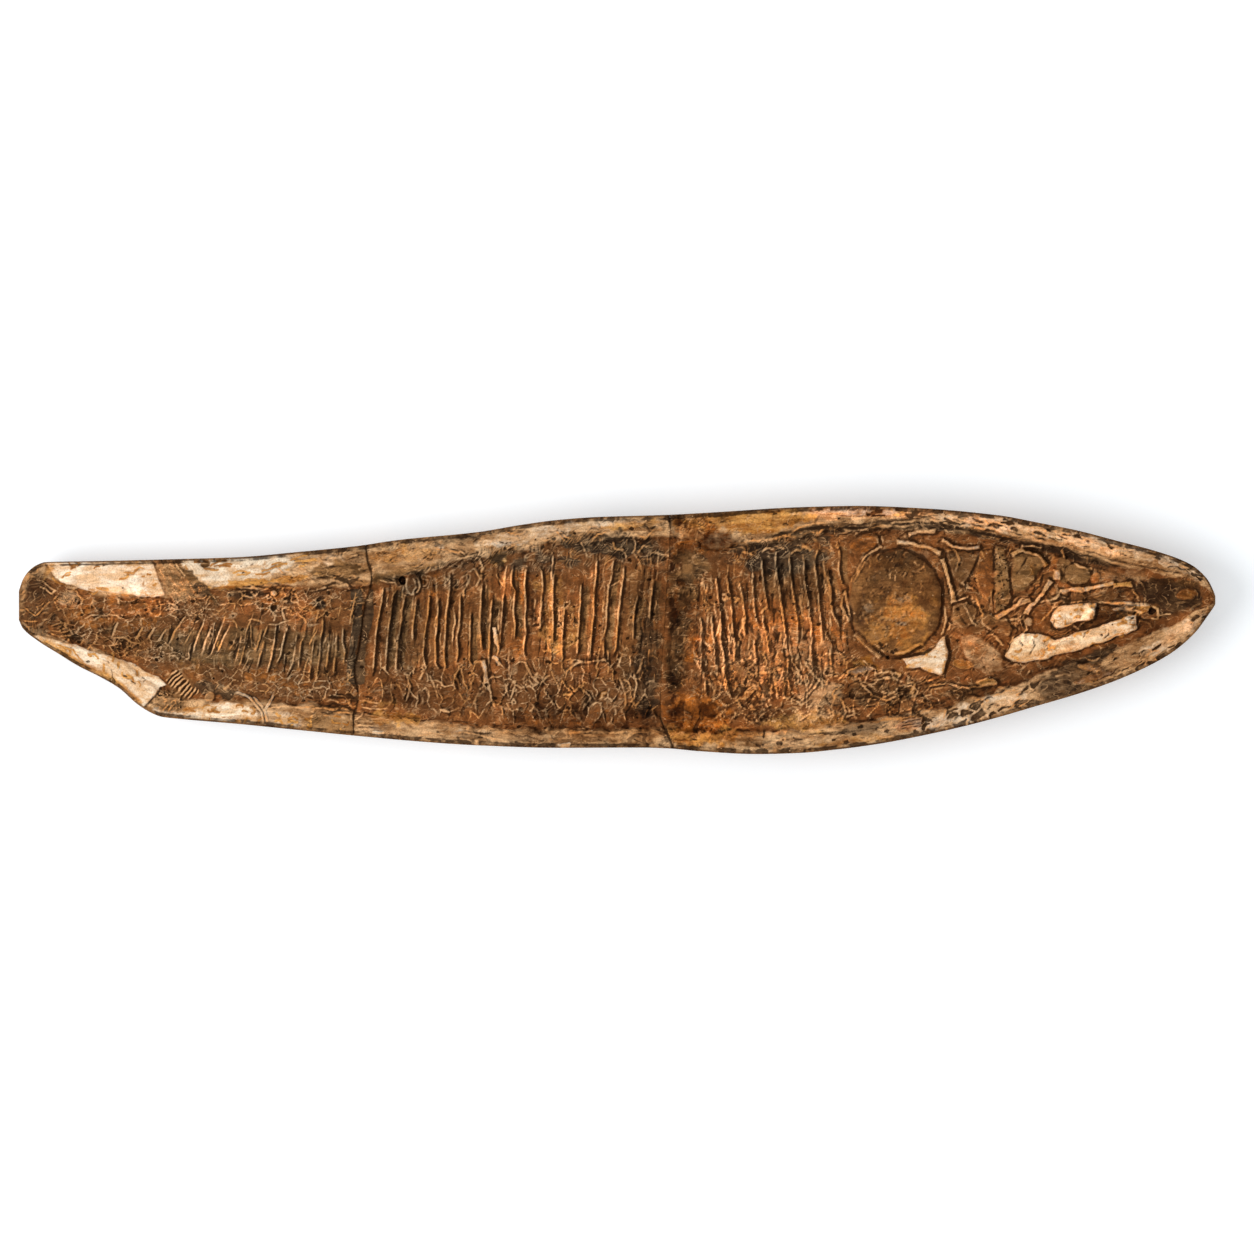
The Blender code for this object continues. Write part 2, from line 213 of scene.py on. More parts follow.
def cells(x: np.ndarray, y: np.ndarray, play: float, salt: int) -> tuple[np.ndarray, np.ndarray, np.ndarray]:
    """Cells round jittered points, one to each unit square.

    Args:
        x: Places along, in cells.
        y: Places across, in cells.
        play: How far a point may lie from its square's middle, from 0 to 1.
        salt: Seed of the points.

    Returns:
        The distances to the nearest and the second nearest point, and a random number for each cell.
    """
    ix, iy = np.floor(x), np.floor(y)
    first = np.full_like(x, 9.0)
    second = np.full_like(x, 9.0)
    name = np.zeros_like(x)
    for dx in (-1, 0, 1):
        for dy in (-1, 0, 1):
            px = ix + dx + 0.5 + play * (mixed(ix + dx, iy + dy, salt) - 0.5)
            py = iy + dy + 0.5 + play * (mixed(ix + dx, iy + dy, salt + 1) - 0.5)
            distance = np.hypot(x - px, y - py)
            nearer = distance < first
            second = np.where(nearer, first, np.minimum(second, distance))
            name = np.where(nearer, mixed(ix + dx, iy + dy, salt + 2), name)
            first = np.where(nearer, distance, first)
    return first, second, name


def blurred(values: np.ndarray, reach: float) -> np.ndarray:
    """Gaussian blur over the grid.

    Args:
        values: The grid.
        reach: The blur's standard deviation, in grid steps.

    Returns:
        The blurred grid.
    """
    taps = int(math.ceil(BLUR_CUT * reach))
    weights = np.exp(-0.5 * (np.arange(-taps, taps + 1) / reach) ** 2)
    weights /= weights.sum()
    for axis in (0, 1):
        pad = [(0, 0), (0, 0)]
        pad[axis] = (taps, taps)
        wide = np.pad(values, pad, mode="edge")
        length = values.shape[axis]
        values = sum(w * np.take(wide, range(i, i + length), axis=axis) for i, w in enumerate(weights))
    return values


def line_distance(x: np.ndarray, y: np.ndarray, path: Path) -> tuple[np.ndarray, np.ndarray]:
    """How far each place is from a line of straight runs.

    Args:
        x: Places along.
        y: Places across.
        path: The line's points.

    Returns:
        The distance, and the share of the line's length at the nearest point.
    """
    best = np.full_like(x, 1e9)
    share = np.zeros_like(x)
    lengths = [math.dist(a, b) for a, b in zip(path, path[1:])]
    total = sum(lengths)
    gone = 0.0
    for (ax, ay), (bx, by), length in zip(path, path[1:], lengths):
        t = ((x - ax) * (bx - ax) + (y - ay) * (by - ay)) / max(length * length, 1e-9)
        t = np.clip(t, 0.0, 1.0)
        distance = np.hypot(x - ax - t * (bx - ax), y - ay - t * (by - ay))
        nearer = distance < best
        best = np.where(nearer, distance, best)
        share = np.where(nearer, (gone + t * length) / total, share)
        gone += length
    return best, share


def turned(x: np.ndarray, y: np.ndarray, turn_deg: float) -> tuple[np.ndarray, np.ndarray]:
    """Places read along and across a direction.

    Args:
        x: Places along the slab.
        y: Places across it.
        turn_deg: The direction, in degrees from the slab's length.

    Returns:
        The places along the direction and across it.
    """
    turn = math.radians(turn_deg)
    return math.cos(turn) * x + math.sin(turn) * y, -math.sin(turn) * x + math.cos(turn) * y


def inside(x: np.ndarray, y: np.ndarray, outline: Path) -> np.ndarray:
    """The distance to an outline: above 0 inside it and below 0 outside.

    Args:
        x: Places along.
        y: Places across.
        outline: The closed outline's points.

    Returns:
        The signed distance.
    """
    closed = (*outline, outline[0])
    distance, _ = line_distance(x, y, closed)
    within = np.zeros(x.shape, bool)
    for (ax, ay), (bx, by) in zip(closed, closed[1:]):
        crosses = (ay > y) != (by > y)
        within ^= crosses & (x < (bx - ax) * (y - ay) / (by - ay + 1e-12) + ax)
    return np.where(within, distance, -distance)


def ragged_region(x: np.ndarray, y: np.ndarray, outline: Path, soft: float, salt: int) -> np.ndarray:
    """The share of a region whose edge wanders.

    Args:
        x: Places along.
        y: Places across.
        outline: The region's outline.
        soft: How far the edge fades to each side.
        salt: Seed of the edge.

    Returns:
        The share, from 0 outside to 1 inside.
    """
    return ramp(inside(x, y, outline) + rough(x, y, 6.0, 2, salt), -soft, soft)


# ---------------------------------------------------------------------------------------------------
# The slab's plan and its side
# ---------------------------------------------------------------------------------------------------

@dataclass(frozen=True)
class SlabPlan:
    """The nodule's plan, in millimetres: its edges, breaks, rims and bed, as the solids have them."""

    half_length: float = 221.0
    back_edge: Path = (
        (-221, 14.4), (-219.6, 18.5), (-217.3, 21.8), (-214.4, 24.0), (-211, 25.1), (-191, 25.5),
        (-162, 26.2), (-140, 26.9), (-118, 28.8), (-96, 31.0), (-81, 33.2), (-51, 36.2), (-36, 38.7),
        (-22, 40.6), (-7, 41.7), (19, 42.5), (37, 43.5), (67, 45.3), (89, 45.8), (111, 45.0), (141, 42.3),
        (155, 39.7), (170, 36.7), (185, 32.8), (200, 28.8), (211.5, 24.4), (217.7, 19.2), (220.3, 14.5),
        (221, 12.5),
    )
    belly_edge: Path = (
        (-221, 3.7), (-219.6, 0.7), (-214.4, -3.7), (-206, -9.0), (-199, -13.3), (-191, -17.3),
        (-184, -21.4), (-177, -27.5), (-172, -30.6), (-168, -32.1), (-162, -32.8), (-140, -34.7),
        (-118, -36.9), (-96, -39.1), (-66, -41.7), (-51, -42.6), (-22, -43.5), (8, -43.4), (19, -43.7),
        (30, -44.7), (52, -45.8), (67, -45.4), (81, -44.1), (96, -42.1), (111, -39.3), (126, -36.0),
        (141, -32.1), (155, -28.0), (170, -23.6), (185, -18.3), (200, -11.3), (207, -6.8), (214, -0.4),
        (217.7, 4.6), (220.3, 8.3), (221, 9.5),
    )
    neck_gape: Path = ((-60, 1), (-33, 1), (-29, 0.3), (20, 0.15), (36, 0.3), (39, 1), (60, 1))
    tail_break: Path = (
        (-92.5, 60), (-92.5, 30), (-90.5, 19), (-93, 9), (-95, -6), (-96.8, -15), (-95.5, -24), (-97.2, -34),
        (-97.2, -60),
    )
    neck_break: Path = (
        (19.5, 60), (19.5, 36), (18.5, 18), (17.5, 0), (16.5, -14), (16, -31), (19.5, -40), (21.5, -46),
        (21.5, -60),
    )
    break_gap: float = 0.06
    rim_level: Path = (
        (-221, 23.0), (-150, 25.5), (-60, 28.5), (20, 30.0), (120, 30.0), (190, 28.0), (221, 24.5),
    )
    back_rim: Path = (
        (-221, 1.5), (-205, 7.0), (-190, 11.5), (-168, 12.0), (-150, 10.0), (-118, 11.0), (-96, 13.0),
        (-78, 11.5), (-50, 8.0), (-20, 7.0), (20, 7.5), (40, 12.5), (67, 10.0), (90, 7.0), (125, 7.0),
        (150, 8.0), (190, 8.0), (211, 4.5), (221, 1.5),
    )
    belly_rim: Path = (
        (-221, 1.5), (-206, 4.5), (-190, 8.5), (-176, 9.5), (-160, 6.0), (-140, 7.5), (-110, 8.5),
        (-80, 6.5), (-40, 5.5), (20, 5.5), (50, 6.5), (80, 8.0), (110, 8.0), (140, 8.5), (170, 10.5),
        (200, 10.0), (214, 6.0), (221, 1.5),
    )
    bed_depth: Path = (
        (-221, 0.3), (-205, 1.2), (-170, 2.0), (-120, 2.6), (-60, 3.0), (100, 3.2), (180, 2.8), (221, 0.6),
    )
    flank_rise: Path = ((-221, 0.1), (-150, 1.0), (-60, 2.0), (60, 2.3), (100, 1.6), (150, 1.0), (221, 0.2))
    bed_wall: float = 2.6
    narrow_share: float = 0.3
    full_hull_width: float = 60.0

    def belly(self, x: np.ndarray) -> np.ndarray:
        """Where the belly edge lies at x."""
        return curve(self.belly_edge, x)

    def back(self, x: np.ndarray) -> np.ndarray:
        """Where the back edge lies at x."""
        return curve(self.back_edge, x)

    def level(self, x: np.ndarray) -> np.ndarray:
        """The rim's height at x."""
        return curve(self.rim_level, x)

    def across(self, line: Path, y: np.ndarray) -> np.ndarray:
        """Where a break lies at y."""
        return curve(tuple((v, u) for u, v in reversed(line)), y)

    def bed(self, x: np.ndarray, y: np.ndarray) -> tuple[np.ndarray, np.ndarray]:
        """How the split face runs before it is carved.

        Args:
            x: Places along.
            y: Places across.

        Returns:
            The height above the slab's underside, and the share of rim, which is 0 in the bed.
        """
        belly, back = self.belly(x), self.back(x)
        width = back - belly
        low = belly + np.minimum(curve(self.belly_rim, x), self.narrow_share * width)
        high = back - np.minimum(curve(self.back_rim, x), self.narrow_share * width)
        wall = np.minimum(self.bed_wall, self.narrow_share * width / 4)
        sunk = np.minimum(ramp((y - low) / wall, 0, 1), ramp((high - y) / wall, 0, 1))
        middle = np.clip((y - low) / np.maximum(high - low, 1e-6), 0, 1)
        swell = curve(self.flank_rise, x) * np.sin(math.pi * middle)
        height = self.level(x) + sunk * (swell - curve(self.bed_depth, x))
        return height, 1 - sunk


# ---------------------------------------------------------------------------------------------------
# Coats and carving
# ---------------------------------------------------------------------------------------------------

class Coat(Enum):
    """What lies on the stone, painted highlight and shade too, each kept as an attribute of its mesh."""

    TAN = "tan"
    CREAM = "cream"
    OCHRE = "ochre"
    RUST = "rust"
    SOOT = "soot"
    OLIVE = "olive"
    POLISH = "polish"
    CRUST = "crust"
    # Pale crests and edges: partly the stone's own pale colour, partly painted highlight
    PALE_AND_HIGHLIGHT = "crest"
    # Painted shade in hollows, grooves, holes and the lee of ridges, and dark dirt and filler of the stone
    # itself
    SHADE_AND_DIRT = "hollow"
    TONE = "tone"
    WARMTH = "warmth"
    GRAIN = "grain"


ADDED_COATS = (Coat.TONE, Coat.WARMTH, Coat.SHADE_AND_DIRT, Coat.PALE_AND_HIGHLIGHT)
COVERING_COATS = (Coat.CREAM, Coat.OCHRE, Coat.RUST, Coat.SOOT, Coat.OLIVE, Coat.TAN)


@dataclass
class SplitFace:
    """A block's split face while it is carved: a grid of places, their height and their coats."""

    x: np.ndarray
    y: np.ndarray
    height: np.ndarray
    rim: np.ndarray
    coats: dict[Coat, np.ndarray] = field(default_factory=dict)
    wander: float = 0.55
    wander_wave: float = 6.0
    shake: float = 0.22
    shake_wave: float = 1.7

    def __post_init__(self) -> None:
        """Starts every coat at 0, and works out the wandering places that features are drawn on."""
        for coat in Coat:
            self.coats.setdefault(coat, np.zeros_like(self.x))
        # A broad wander, then a fine shake
        u, v = self.x / self.wander_wave, self.y / self.wander_wave
        self.wx = self.x + self.wander * noise(u, v, Salt.WANDER_X)
        self.wy = self.y + self.wander * noise(u, v, Salt.WANDER_Y)
        u, v = self.x / self.shake_wave, self.y / self.shake_wave
        self.wx = self.wx + self.shake * noise(u, v, Salt.SHAKE_X)
        self.wy = self.wy + self.shake * noise(u, v, Salt.SHAKE_Y)

    def window(self, points: Path, reach: float) -> tuple[slice, slice] | None:
        """The part of the grid near some points.

        Args:
            points: The points.
            reach: How far past them the part goes.

        Returns:
            The part as two slices, or None where the grid is nowhere near.
        """
        xs, ys = [p[0] for p in points], [p[1] for p in points]
        near = (self.x > min(xs) - reach) & (self.x < max(xs) + reach)
        near &= (self.y > min(ys) - reach) & (self.y < max(ys) + reach)
        columns, rows = np.flatnonzero(near.any(axis=1)), np.flatnonzero(near.any(axis=0))
        if not len(columns) or not len(rows):
            return None
        return slice(columns[0], columns[-1] + 1), slice(rows[0], rows[-1] + 1)

    def lay(self, coat: Coat, part: tuple[slice, slice], amount: np.ndarray) -> None:
        """Lays a coat where it isn't yet as thick."""
        held = self.coats[coat]
        held[part] = np.maximum(held[part], amount)

    def stain(self, coat: Coat, part: tuple[slice, slice], amount: np.ndarray) -> None:
        """Lays a coat, or adds to it where it is a tone.

        Args:
            coat: The coat.
            part: The part of the grid.
            amount: How much of the coat each place of the part gets.
        """
        if coat in ADDED_COATS:
            self.coats[coat][part] += amount
        else:
            self.lay(coat, part, amount)

    def wipe(self, coat: Coat, part: tuple[slice, slice], amount: np.ndarray) -> None:
        """Takes a share of a coat away."""
        self.coats[coat][part] *= 1 - amount


class Feature(Protocol):
    """Anything that can be carved into a split face."""

    def carve(self, face: SplitFace) -> None:
        """Changes the face's height and its coats."""


@dataclass(frozen=True)
class Stroke:
    """A drawn line: a raised crest, or a groove where its rise is below 0."""

    path: Path
    width: float = 0.8
    rise: float = 0.5
    crest: float = 0.8
    shade: float = 0.35
    coat: Coat | None = None

    def carve(self, face: SplitFace) -> None:
        """Raises or cuts the line, and lays its crest, partly painted highlight, and the painted shade
        beside it.

        Args:
            face: The split face.
        """
        part = face.window(self.path, 3 * self.width + 1.0)
        if part is None:
            return
        distance, share = line_distance(face.wx[part], face.wy[part], self.path)
        # The line thins out at both ends, and it is uneven along its run
        taper = ramp(share, -0.02, 0.14) * ramp(share, 1.02, 0.86)
        beat = 0.8 + 0.5 * noise(face.x[part] / 4.0, face.y[part] / 4.0, Salt.STROKE_BEAT)
        core = bump(distance, max(0.3, 0.45 * self.width)) * taper * beat
        face.height[part] += self.rise * core
        # A crest has painted shade in the hollow beside it, and a groove is painted dark as the shade in it
        if self.rise > 0:
            face.coats[Coat.PALE_AND_HIGHLIGHT][part] += self.crest * core
            beside = bump(distance - 1.1 * self.width, 0.5 * self.width) * taper
            face.height[part] -= 0.25 * self.rise * beside * self.shade
            face.coats[Coat.SHADE_AND_DIRT][part] += self.shade * beside
        else:
            face.coats[Coat.SHADE_AND_DIRT][part] += self.crest * core
        if self.coat:
            face.lay(self.coat, part, bump(distance, 0.8 * self.width) * taper)


@dataclass(frozen=True)
class Plate:
    """A flat bone or a ledge: raised or sunk inside its outline, with a line of painted shade round it.

    The lip is a painted highlight inside the line, and a clean plate wipes the crests and hollows under it.
    """

    outline: Path
    rise: float = 0.9
    edge: float = 0.8
    coat: Coat | None = None
    amount: float = 1.0
    dome: float = 0.0
    line: float = 0.7
    lip: float = 0.0
    tone: float = 0.0
    clean: bool = True

    def carve(self, face: SplitFace) -> None:
        """Raises the plate, lays its coat and cuts the line round it.

        Args:
            face: The split face.
        """
        part = face.window(self.outline, 4.0)
        if part is None:
            return
        x, y = face.x[part], face.y[part]
        depth = inside(face.wx[part], face.wy[part], self.outline)
        body = ramp(depth, -self.edge * 0.4, self.edge * 0.6)
        # An edge that faces the light is lit, and one that turns away from it is shaded
        lean_x, lean_y = np.gradient(depth)
        facing = LIGHT_LEAN[0] * lean_x + LIGHT_LEAN[1] * lean_y
        lit = facing / (np.hypot(lean_x, lean_y) + 0.02) * (1 if self.rise > 0 else -1)
        face.height[part] += self.rise * body
        face.coats[Coat.TONE][part] += 0.22 * self.line * lit * bump(depth - 0.9, 1.1)
        if self.dome:
            face.height[part] += self.dome * (1 - np.exp(-np.clip(depth, 0, None) / 6.0))
        # The plate hides what was laid before it
        if self.clean:
            for coat in (Coat.SHADE_AND_DIRT, Coat.PALE_AND_HIGHLIGHT):
                face.wipe(coat, part, 0.85 * body)
        if self.coat:
            for other in COVERING_COATS:
                if other is not self.coat:
                    face.wipe(other, part, 0.9 * body)
            face.lay(self.coat, part, self.amount * body)
        if self.coat is Coat.CREAM:
            spread = ramp(rough(x, y, 4.0, 2, Salt.PLATE_OCHRE), 0.0, 0.5)
            face.lay(Coat.OCHRE, part, 0.55 * bump(depth - 0.7, 0.7) * spread)
        face.coats[Coat.TONE][part] += self.tone * body
        # A line of painted shade runs round the plate in a shallow ditch, widest where the plate is shaded
        beat = 0.7 + 0.7 * noise(x / 3.1, y / 3.1, Salt.PLATE_BEAT)
        shaded = np.clip(0.55 - 0.5 * lit, 0, 1)
        ditch = bump(depth + 0.35, 0.34 + 0.5 * shaded)
        face.coats[Coat.SHADE_AND_DIRT][part] += 0.95 * self.line * beat * shaded * ditch
        face.height[part] -= 0.3 * self.line * bump(depth + 0.5, 0.5)
        # The lip is a painted highlight inside the line, brightest where the plate faces the light
        if self.lip:
            bright = np.clip(0.65 + 0.5 * lit, 0, 1.2)
            face.coats[Coat.PALE_AND_HIGHLIGHT][part] += self.lip * beat * bright * bump(depth - 0.3, 0.3)
            face.height[part] += 0.3 * self.lip * bump(depth - 0.6, 0.6)


@dataclass(frozen=True)
class Patch:
    """A stain or a coat with a ragged edge, which has no height of its own."""

    outline: Path
    coat: Coat
    amount: float = 1.0
    soft: float = 1.5
    ragged: float = 1.6

    def carve(self, face: SplitFace) -> None:
        """Lays the coat, or adds to it where the coat is a tone.

        Args:
            face: The split face.
        """
        part = face.window(self.outline, self.soft + self.ragged + 1)
        if part is None:
            return
        x, y = face.x[part], face.y[part]
        depth = inside(x, y, self.outline) + self.ragged * rough(x, y, EDGE_WAVE, 3, Salt.STAIN_EDGE)
        face.stain(self.coat, part, self.amount * ramp(depth, -self.soft, self.soft))


@dataclass(frozen=True)
class Stains:
    """Round stains of one coat; each spot is its x, y, half length, half width, turn and amount."""

    coat: Coat
    spots: tuple[Spot, ...]
    soft: float = 1.5
    ragged: float = 2.0

    def carve(self, face: SplitFace) -> None:
        """Lays the spots one by one, or adds them where the coat is a tone.

        Args:
            face: The split face.
        """
        for x, y, long, wide, turn_deg, amount in self.spots:
            reach = max(long, wide)
            part = face.window(((x - reach, y - reach), (x + reach, y + reach)), self.soft + self.ragged)
            if part is None:
                continue
            u, v = turned(face.x[part] - x, face.y[part] - y, turn_deg)
            u, v = u / long, v / wide
            far = np.hypot(u, v) + 1e-6
            depth = (1 - far) * far / (np.hypot(u / long, v / wide) + 1e-6)
            depth += self.ragged * rough(face.x[part], face.y[part], EDGE_WAVE, 3, Salt.STAIN_EDGE)
            face.stain(self.coat, part, amount * ramp(depth, -self.soft, self.soft))


@dataclass(frozen=True)
class CellNet:
    """A net of small cells with light borders, such as small scales seen from beneath.

    The larger kept is, the more borders are left; open_share is the share of cells that have broken out.
    """

    outline: Path
    size: Point = (3.6, 4.6)
    turn_deg: float = 0.0
    rise: float = 0.5
    width: float = 0.075
    crest: float = 0.55
    tones: float = 0.4
    soft: float = 2.0
    kept: float = 0.5
    open_share: float = 0.0
    salt: int = 5

    def carve(self, face: SplitFace) -> None:
        """Raises the borders and gives each cell its own tone, depth and slant.

        Args:
            face: The split face.
        """
        part = face.window(self.outline, self.soft + 2)
        if part is None:
            return
        x, y = face.x[part], face.y[part]
        region = ragged_region(x, y, self.outline, self.soft, self.salt + 40)
        # The net bends, and each place finds its cell and that cell's own number
        wx = x + 1.3 * noise(x / 4.1, y / 4.1, self.salt + 50)
        wy = y + 1.3 * noise(x / 4.1, y / 4.1, self.salt + 51)
        u, v = turned(wx, wy, self.turn_deg)
        u, v = u / self.size[0], v / self.size[1]
        first, second, name = cells(u, v, 0.9, self.salt)
        # Some borders are left and others are worn away; each cell lies higher, lower or aslant
        gap = second - first
        border = bump(gap, max(self.width, 0.5 / sum(self.size)))
        wanted = 1.4 * self.kept
        shown = ramp(noise(x / 2.7, y / 2.7, self.salt + 52), 0.5 - wanted, 0.9 - wanted)
        slant = noise(u * 1.4 + 9 * name, v * 1.4, self.salt + 53)
        face.height[part] += region * self.rise * (border * shown + 0.7 * (name - 0.5) + 0.5 * slant)
        face.height[part] -= region * 0.5 * self.rise * ramp(gap, 0.05, 0.5)
        face.coats[Coat.PALE_AND_HIGHLIGHT][part] += region * self.crest * border * shown
        # Painted shade just inside the raised borders, some whole cells darker, and a tone for each cell
        dark = bump(gap - 2.5 * self.width, 1.4 * self.width) * (0.2 + 0.6 * name)
        face.coats[Coat.SHADE_AND_DIRT][part] += region * (0.2 * dark + 0.25 * (name > 0.85) * ramp(gap, 0.05, 0.3))
        face.coats[Coat.TONE][part] += region * self.tones * (name - 0.55)
        # Broken-out cells, sunk and painted dark as the shade in them
        if self.open_share:
            hole = region * (name < self.open_share) * ramp(gap, 0.1, 0.3)
            face.height[part] -= 1.2 * self.rise * hole
            face.coats[Coat.SHADE_AND_DIRT][part] += (0.35 + 0.55 * name / self.open_share) * hole
            face.wipe(Coat.CREAM, part, 0.7 * hole)


@dataclass(frozen=True)
class Shards:
    """Many short lines strewn over a region: scraps of bone, torn scale edges and scratches."""

    outline: Path
    count: int
    lean_deg: float = 90.0
    spread_deg: float = 40.0
    length: Point = (1.5, 4.0)
    bend: float = 0.25
    width: Point = (0.55, 0.9)
    rise: float = 0.4
    crest: Point = (0.25, 0.9)
    dark_share: float = 0.3
    salt: int = 3
    coat: Coat | None = None

    def carve(self, face: SplitFace) -> None:
        """Draws each line as a stroke; a share of them are grooves.

        Args:
            face: The split face.
        """
        if face.window(self.outline, 0.0) is None:
            return
        draw = np.random.default_rng(self.salt)
        xs, ys = [p[0] for p in self.outline], [p[1] for p in self.outline]
        for _ in range(self.count):
            # All of a line's numbers are drawn before it may be left out
            place = np.array([draw.uniform(min(xs), max(xs)), draw.uniform(min(ys), max(ys))])
            angle = math.radians(self.lean_deg + self.spread_deg * draw.uniform(-1, 1))
            half = 0.5 * draw.uniform(*self.length)
            bow = self.bend * half * draw.uniform(-1.5, 1.5)
            width, bright = draw.uniform(*self.width), draw.uniform(*self.crest)
            groove = draw.random() < self.dark_share
            if inside(place[:1], place[1:], self.outline)[0] < 0:
                continue
            ahead = np.array([math.cos(angle), math.sin(angle)])
            aside = np.array([-ahead[1], ahead[0]])
            steps = (-1, -0.5, 0, 0.5, 1)
            path = tuple(tuple(place + half * t * ahead + bow * (1 - t * t) * aside) for t in steps)
            Stroke(path, width, -self.rise if groove else self.rise, bright, 0.3, self.coat).carve(face)


@dataclass(frozen=True)
class Pits:
    """Small holes strewn over a region, painted dark as the shade in them, each with a lip of painted
    highlight where wanted.
    """

    outline: Path
    spacing: float = 4.0
    radius: float = 0.6
    depth: float = 0.7
    share: float = 0.6
    stretch: float = 1.6
    turn_deg: float = 0.0
    lip: float = 0.0
    salt: int = 9

    def carve(self, face: SplitFace) -> None:
        """Sinks the pits and paints shade in them.

        Args:
            face: The split face.
        """
        part = face.window(self.outline, 1.0)
        if part is None:
            return
        x, y = face.wx[part], face.wy[part]
        region = ramp(inside(x, y, self.outline), -0.3, 0.5)
        u, v = turned(x, y, self.turn_deg)
        u, v = u / (self.spacing * self.stretch), v / self.spacing
        first, _, name = cells(u, v, 0.95, self.salt)
        # Each pit has its own size and an uneven edge, and only a share of them is there
        size = self.radius * (0.4 + 1.1 * name) / self.spacing
        first = first + 0.35 * size * noise(x / 0.9, y / 0.9, self.salt + 5)
        shown = (mixed(np.floor(997 * name), np.floor(991 * name), self.salt) < self.share) * region
        hole = ramp(first, 1.1 * size, 0.6 * size) * shown
        face.height[part] -= self.depth * hole
        face.coats[Coat.SHADE_AND_DIRT][part] += 0.85 * hole
        if self.lip:
            rise = bump(first - 1.5 * size, 0.45 * size) * shown
            face.height[part] += 0.3 * self.lip * rise
            face.coats[Coat.PALE_AND_HIGHLIGHT][part] += self.lip * rise


@dataclass(frozen=True)
class Combed:
    """Fine streaks that run one way over a region, as bone fibres and layered stone have them."""

    outline: Path
    lean_deg: float = 90.0
    wave: float = 1.3
    stretch: float = 6.0
    rise: float = 0.2
    tone: float = 0.35
    soft: float = 3.0
    salt: int = 7

    def carve(self, face: SplitFace) -> None:
        """Raises the streaks and tones them, and paints highlight on their tops and shade in the gaps.

        Args:
            face: The split face.
        """
        part = face.window(self.outline, self.soft + 1)
        if part is None:
            return
        x, y = face.wx[part], face.wy[part]
        region = ramp(inside(x, y, self.outline), -self.soft, self.soft)
        u, v = turned(x, y, self.lean_deg)
        # The streaks are noise drawn out one way, and they sway
        u = u / self.stretch + 0.6 * noise(x / 9, y / 9, self.salt + 5)
        v = v + 0.5 * noise(x / 5, y / 5, self.salt + 6)
        streaks = rough(u, v, self.wave, 3, self.salt)
        face.height[part] += self.rise * region * streaks
        face.coats[Coat.TONE][part] += self.tone * region * streaks
        face.coats[Coat.PALE_AND_HIGHLIGHT][part] += self.tone * region * np.clip(streaks - 0.45, 0, 1)
        face.coats[Coat.SHADE_AND_DIRT][part] += self.tone * region * np.clip(-streaks - 0.35, 0, 1)


@dataclass(frozen=True)
class Layers:
    """Thin layers of stone or bone that end in wandering edges, with painted highlight at each lip and shade
    at each foot.
    """

    outline: Path
    wave: float = 6.0
    count: float = 2.4
    stretch: float = 2.0
    turn_deg: float = 0.0
    rise: float = 0.25
    crest: float = 0.5
    dark: float = 0.5
    tones: float = 0.4
    soft: float = 2.0
    salt: int = 11

    def level(self, u: np.ndarray, v: np.ndarray) -> np.ndarray:
        """How many layers lie on a place.

        Args:
            u: Places along the layers' run.
            v: Places across it.

        Returns:
            The number of layers, with a fraction.
        """
        bent_u = u + 0.6 * noise(0.8 * u, 0.8 * v + 5, self.salt + 2)
        bent_v = v + 0.55 * noise(0.7 * u + 3, 0.7 * v, self.salt + 1)
        folds = noise(bent_u, bent_v, self.salt) + 0.3 * noise(2.1 * u, 2.1 * bent_v, self.salt + 3)
        return 1.7 * self.count * folds

    def carve(self, face: SplitFace) -> None:
        """Lifts the stone layer by layer, and paints highlight and shade where each layer ends.

        Args:
            face: The split face.
        """
        part = face.window(self.outline, self.soft + 1)
        if part is None:
            return
        x, y = face.wx[part], face.wy[part]
        region = ragged_region(x, y, self.outline, self.soft, self.salt + 40)
        u, v = turned(x, y, self.turn_deg)
        u, v = u / (self.wave * self.stretch), v / self.wave
        level = self.level(u, v)
        # The level's slope tells how far a place is from the edge of its layer
        nudge = 0.05
        along = (self.level(u + nudge, v) - level) / (nudge * self.wave * self.stretch)
        across = (self.level(u, v + nudge) - level) / (nudge * self.wave)
        step = np.rint(level)
        offset = (level - step) / (np.hypot(along, across) + 0.05)
        shown = ramp(noise(x / 4.0, y / 4.0, self.salt + 7), -0.6, 0.2) * region
        face.height[part] += 0.6 * self.rise * region * (step - 0.5 + ramp(offset, -0.35, 0.35))
        # Painted highlight on the lip where a layer ends, and painted shade at its foot
        face.coats[Coat.PALE_AND_HIGHLIGHT][part] += 1.25 * self.crest * shown * bump(offset - 0.2, 0.25)
        face.coats[Coat.SHADE_AND_DIRT][part] += 1.1 * self.dark * shown * bump(offset + 0.35, 0.34)
        layer = np.floor(level)
        face.coats[Coat.TONE][part] += self.tones * region * (mixed(layer, layer + 3, self.salt) - 0.5)


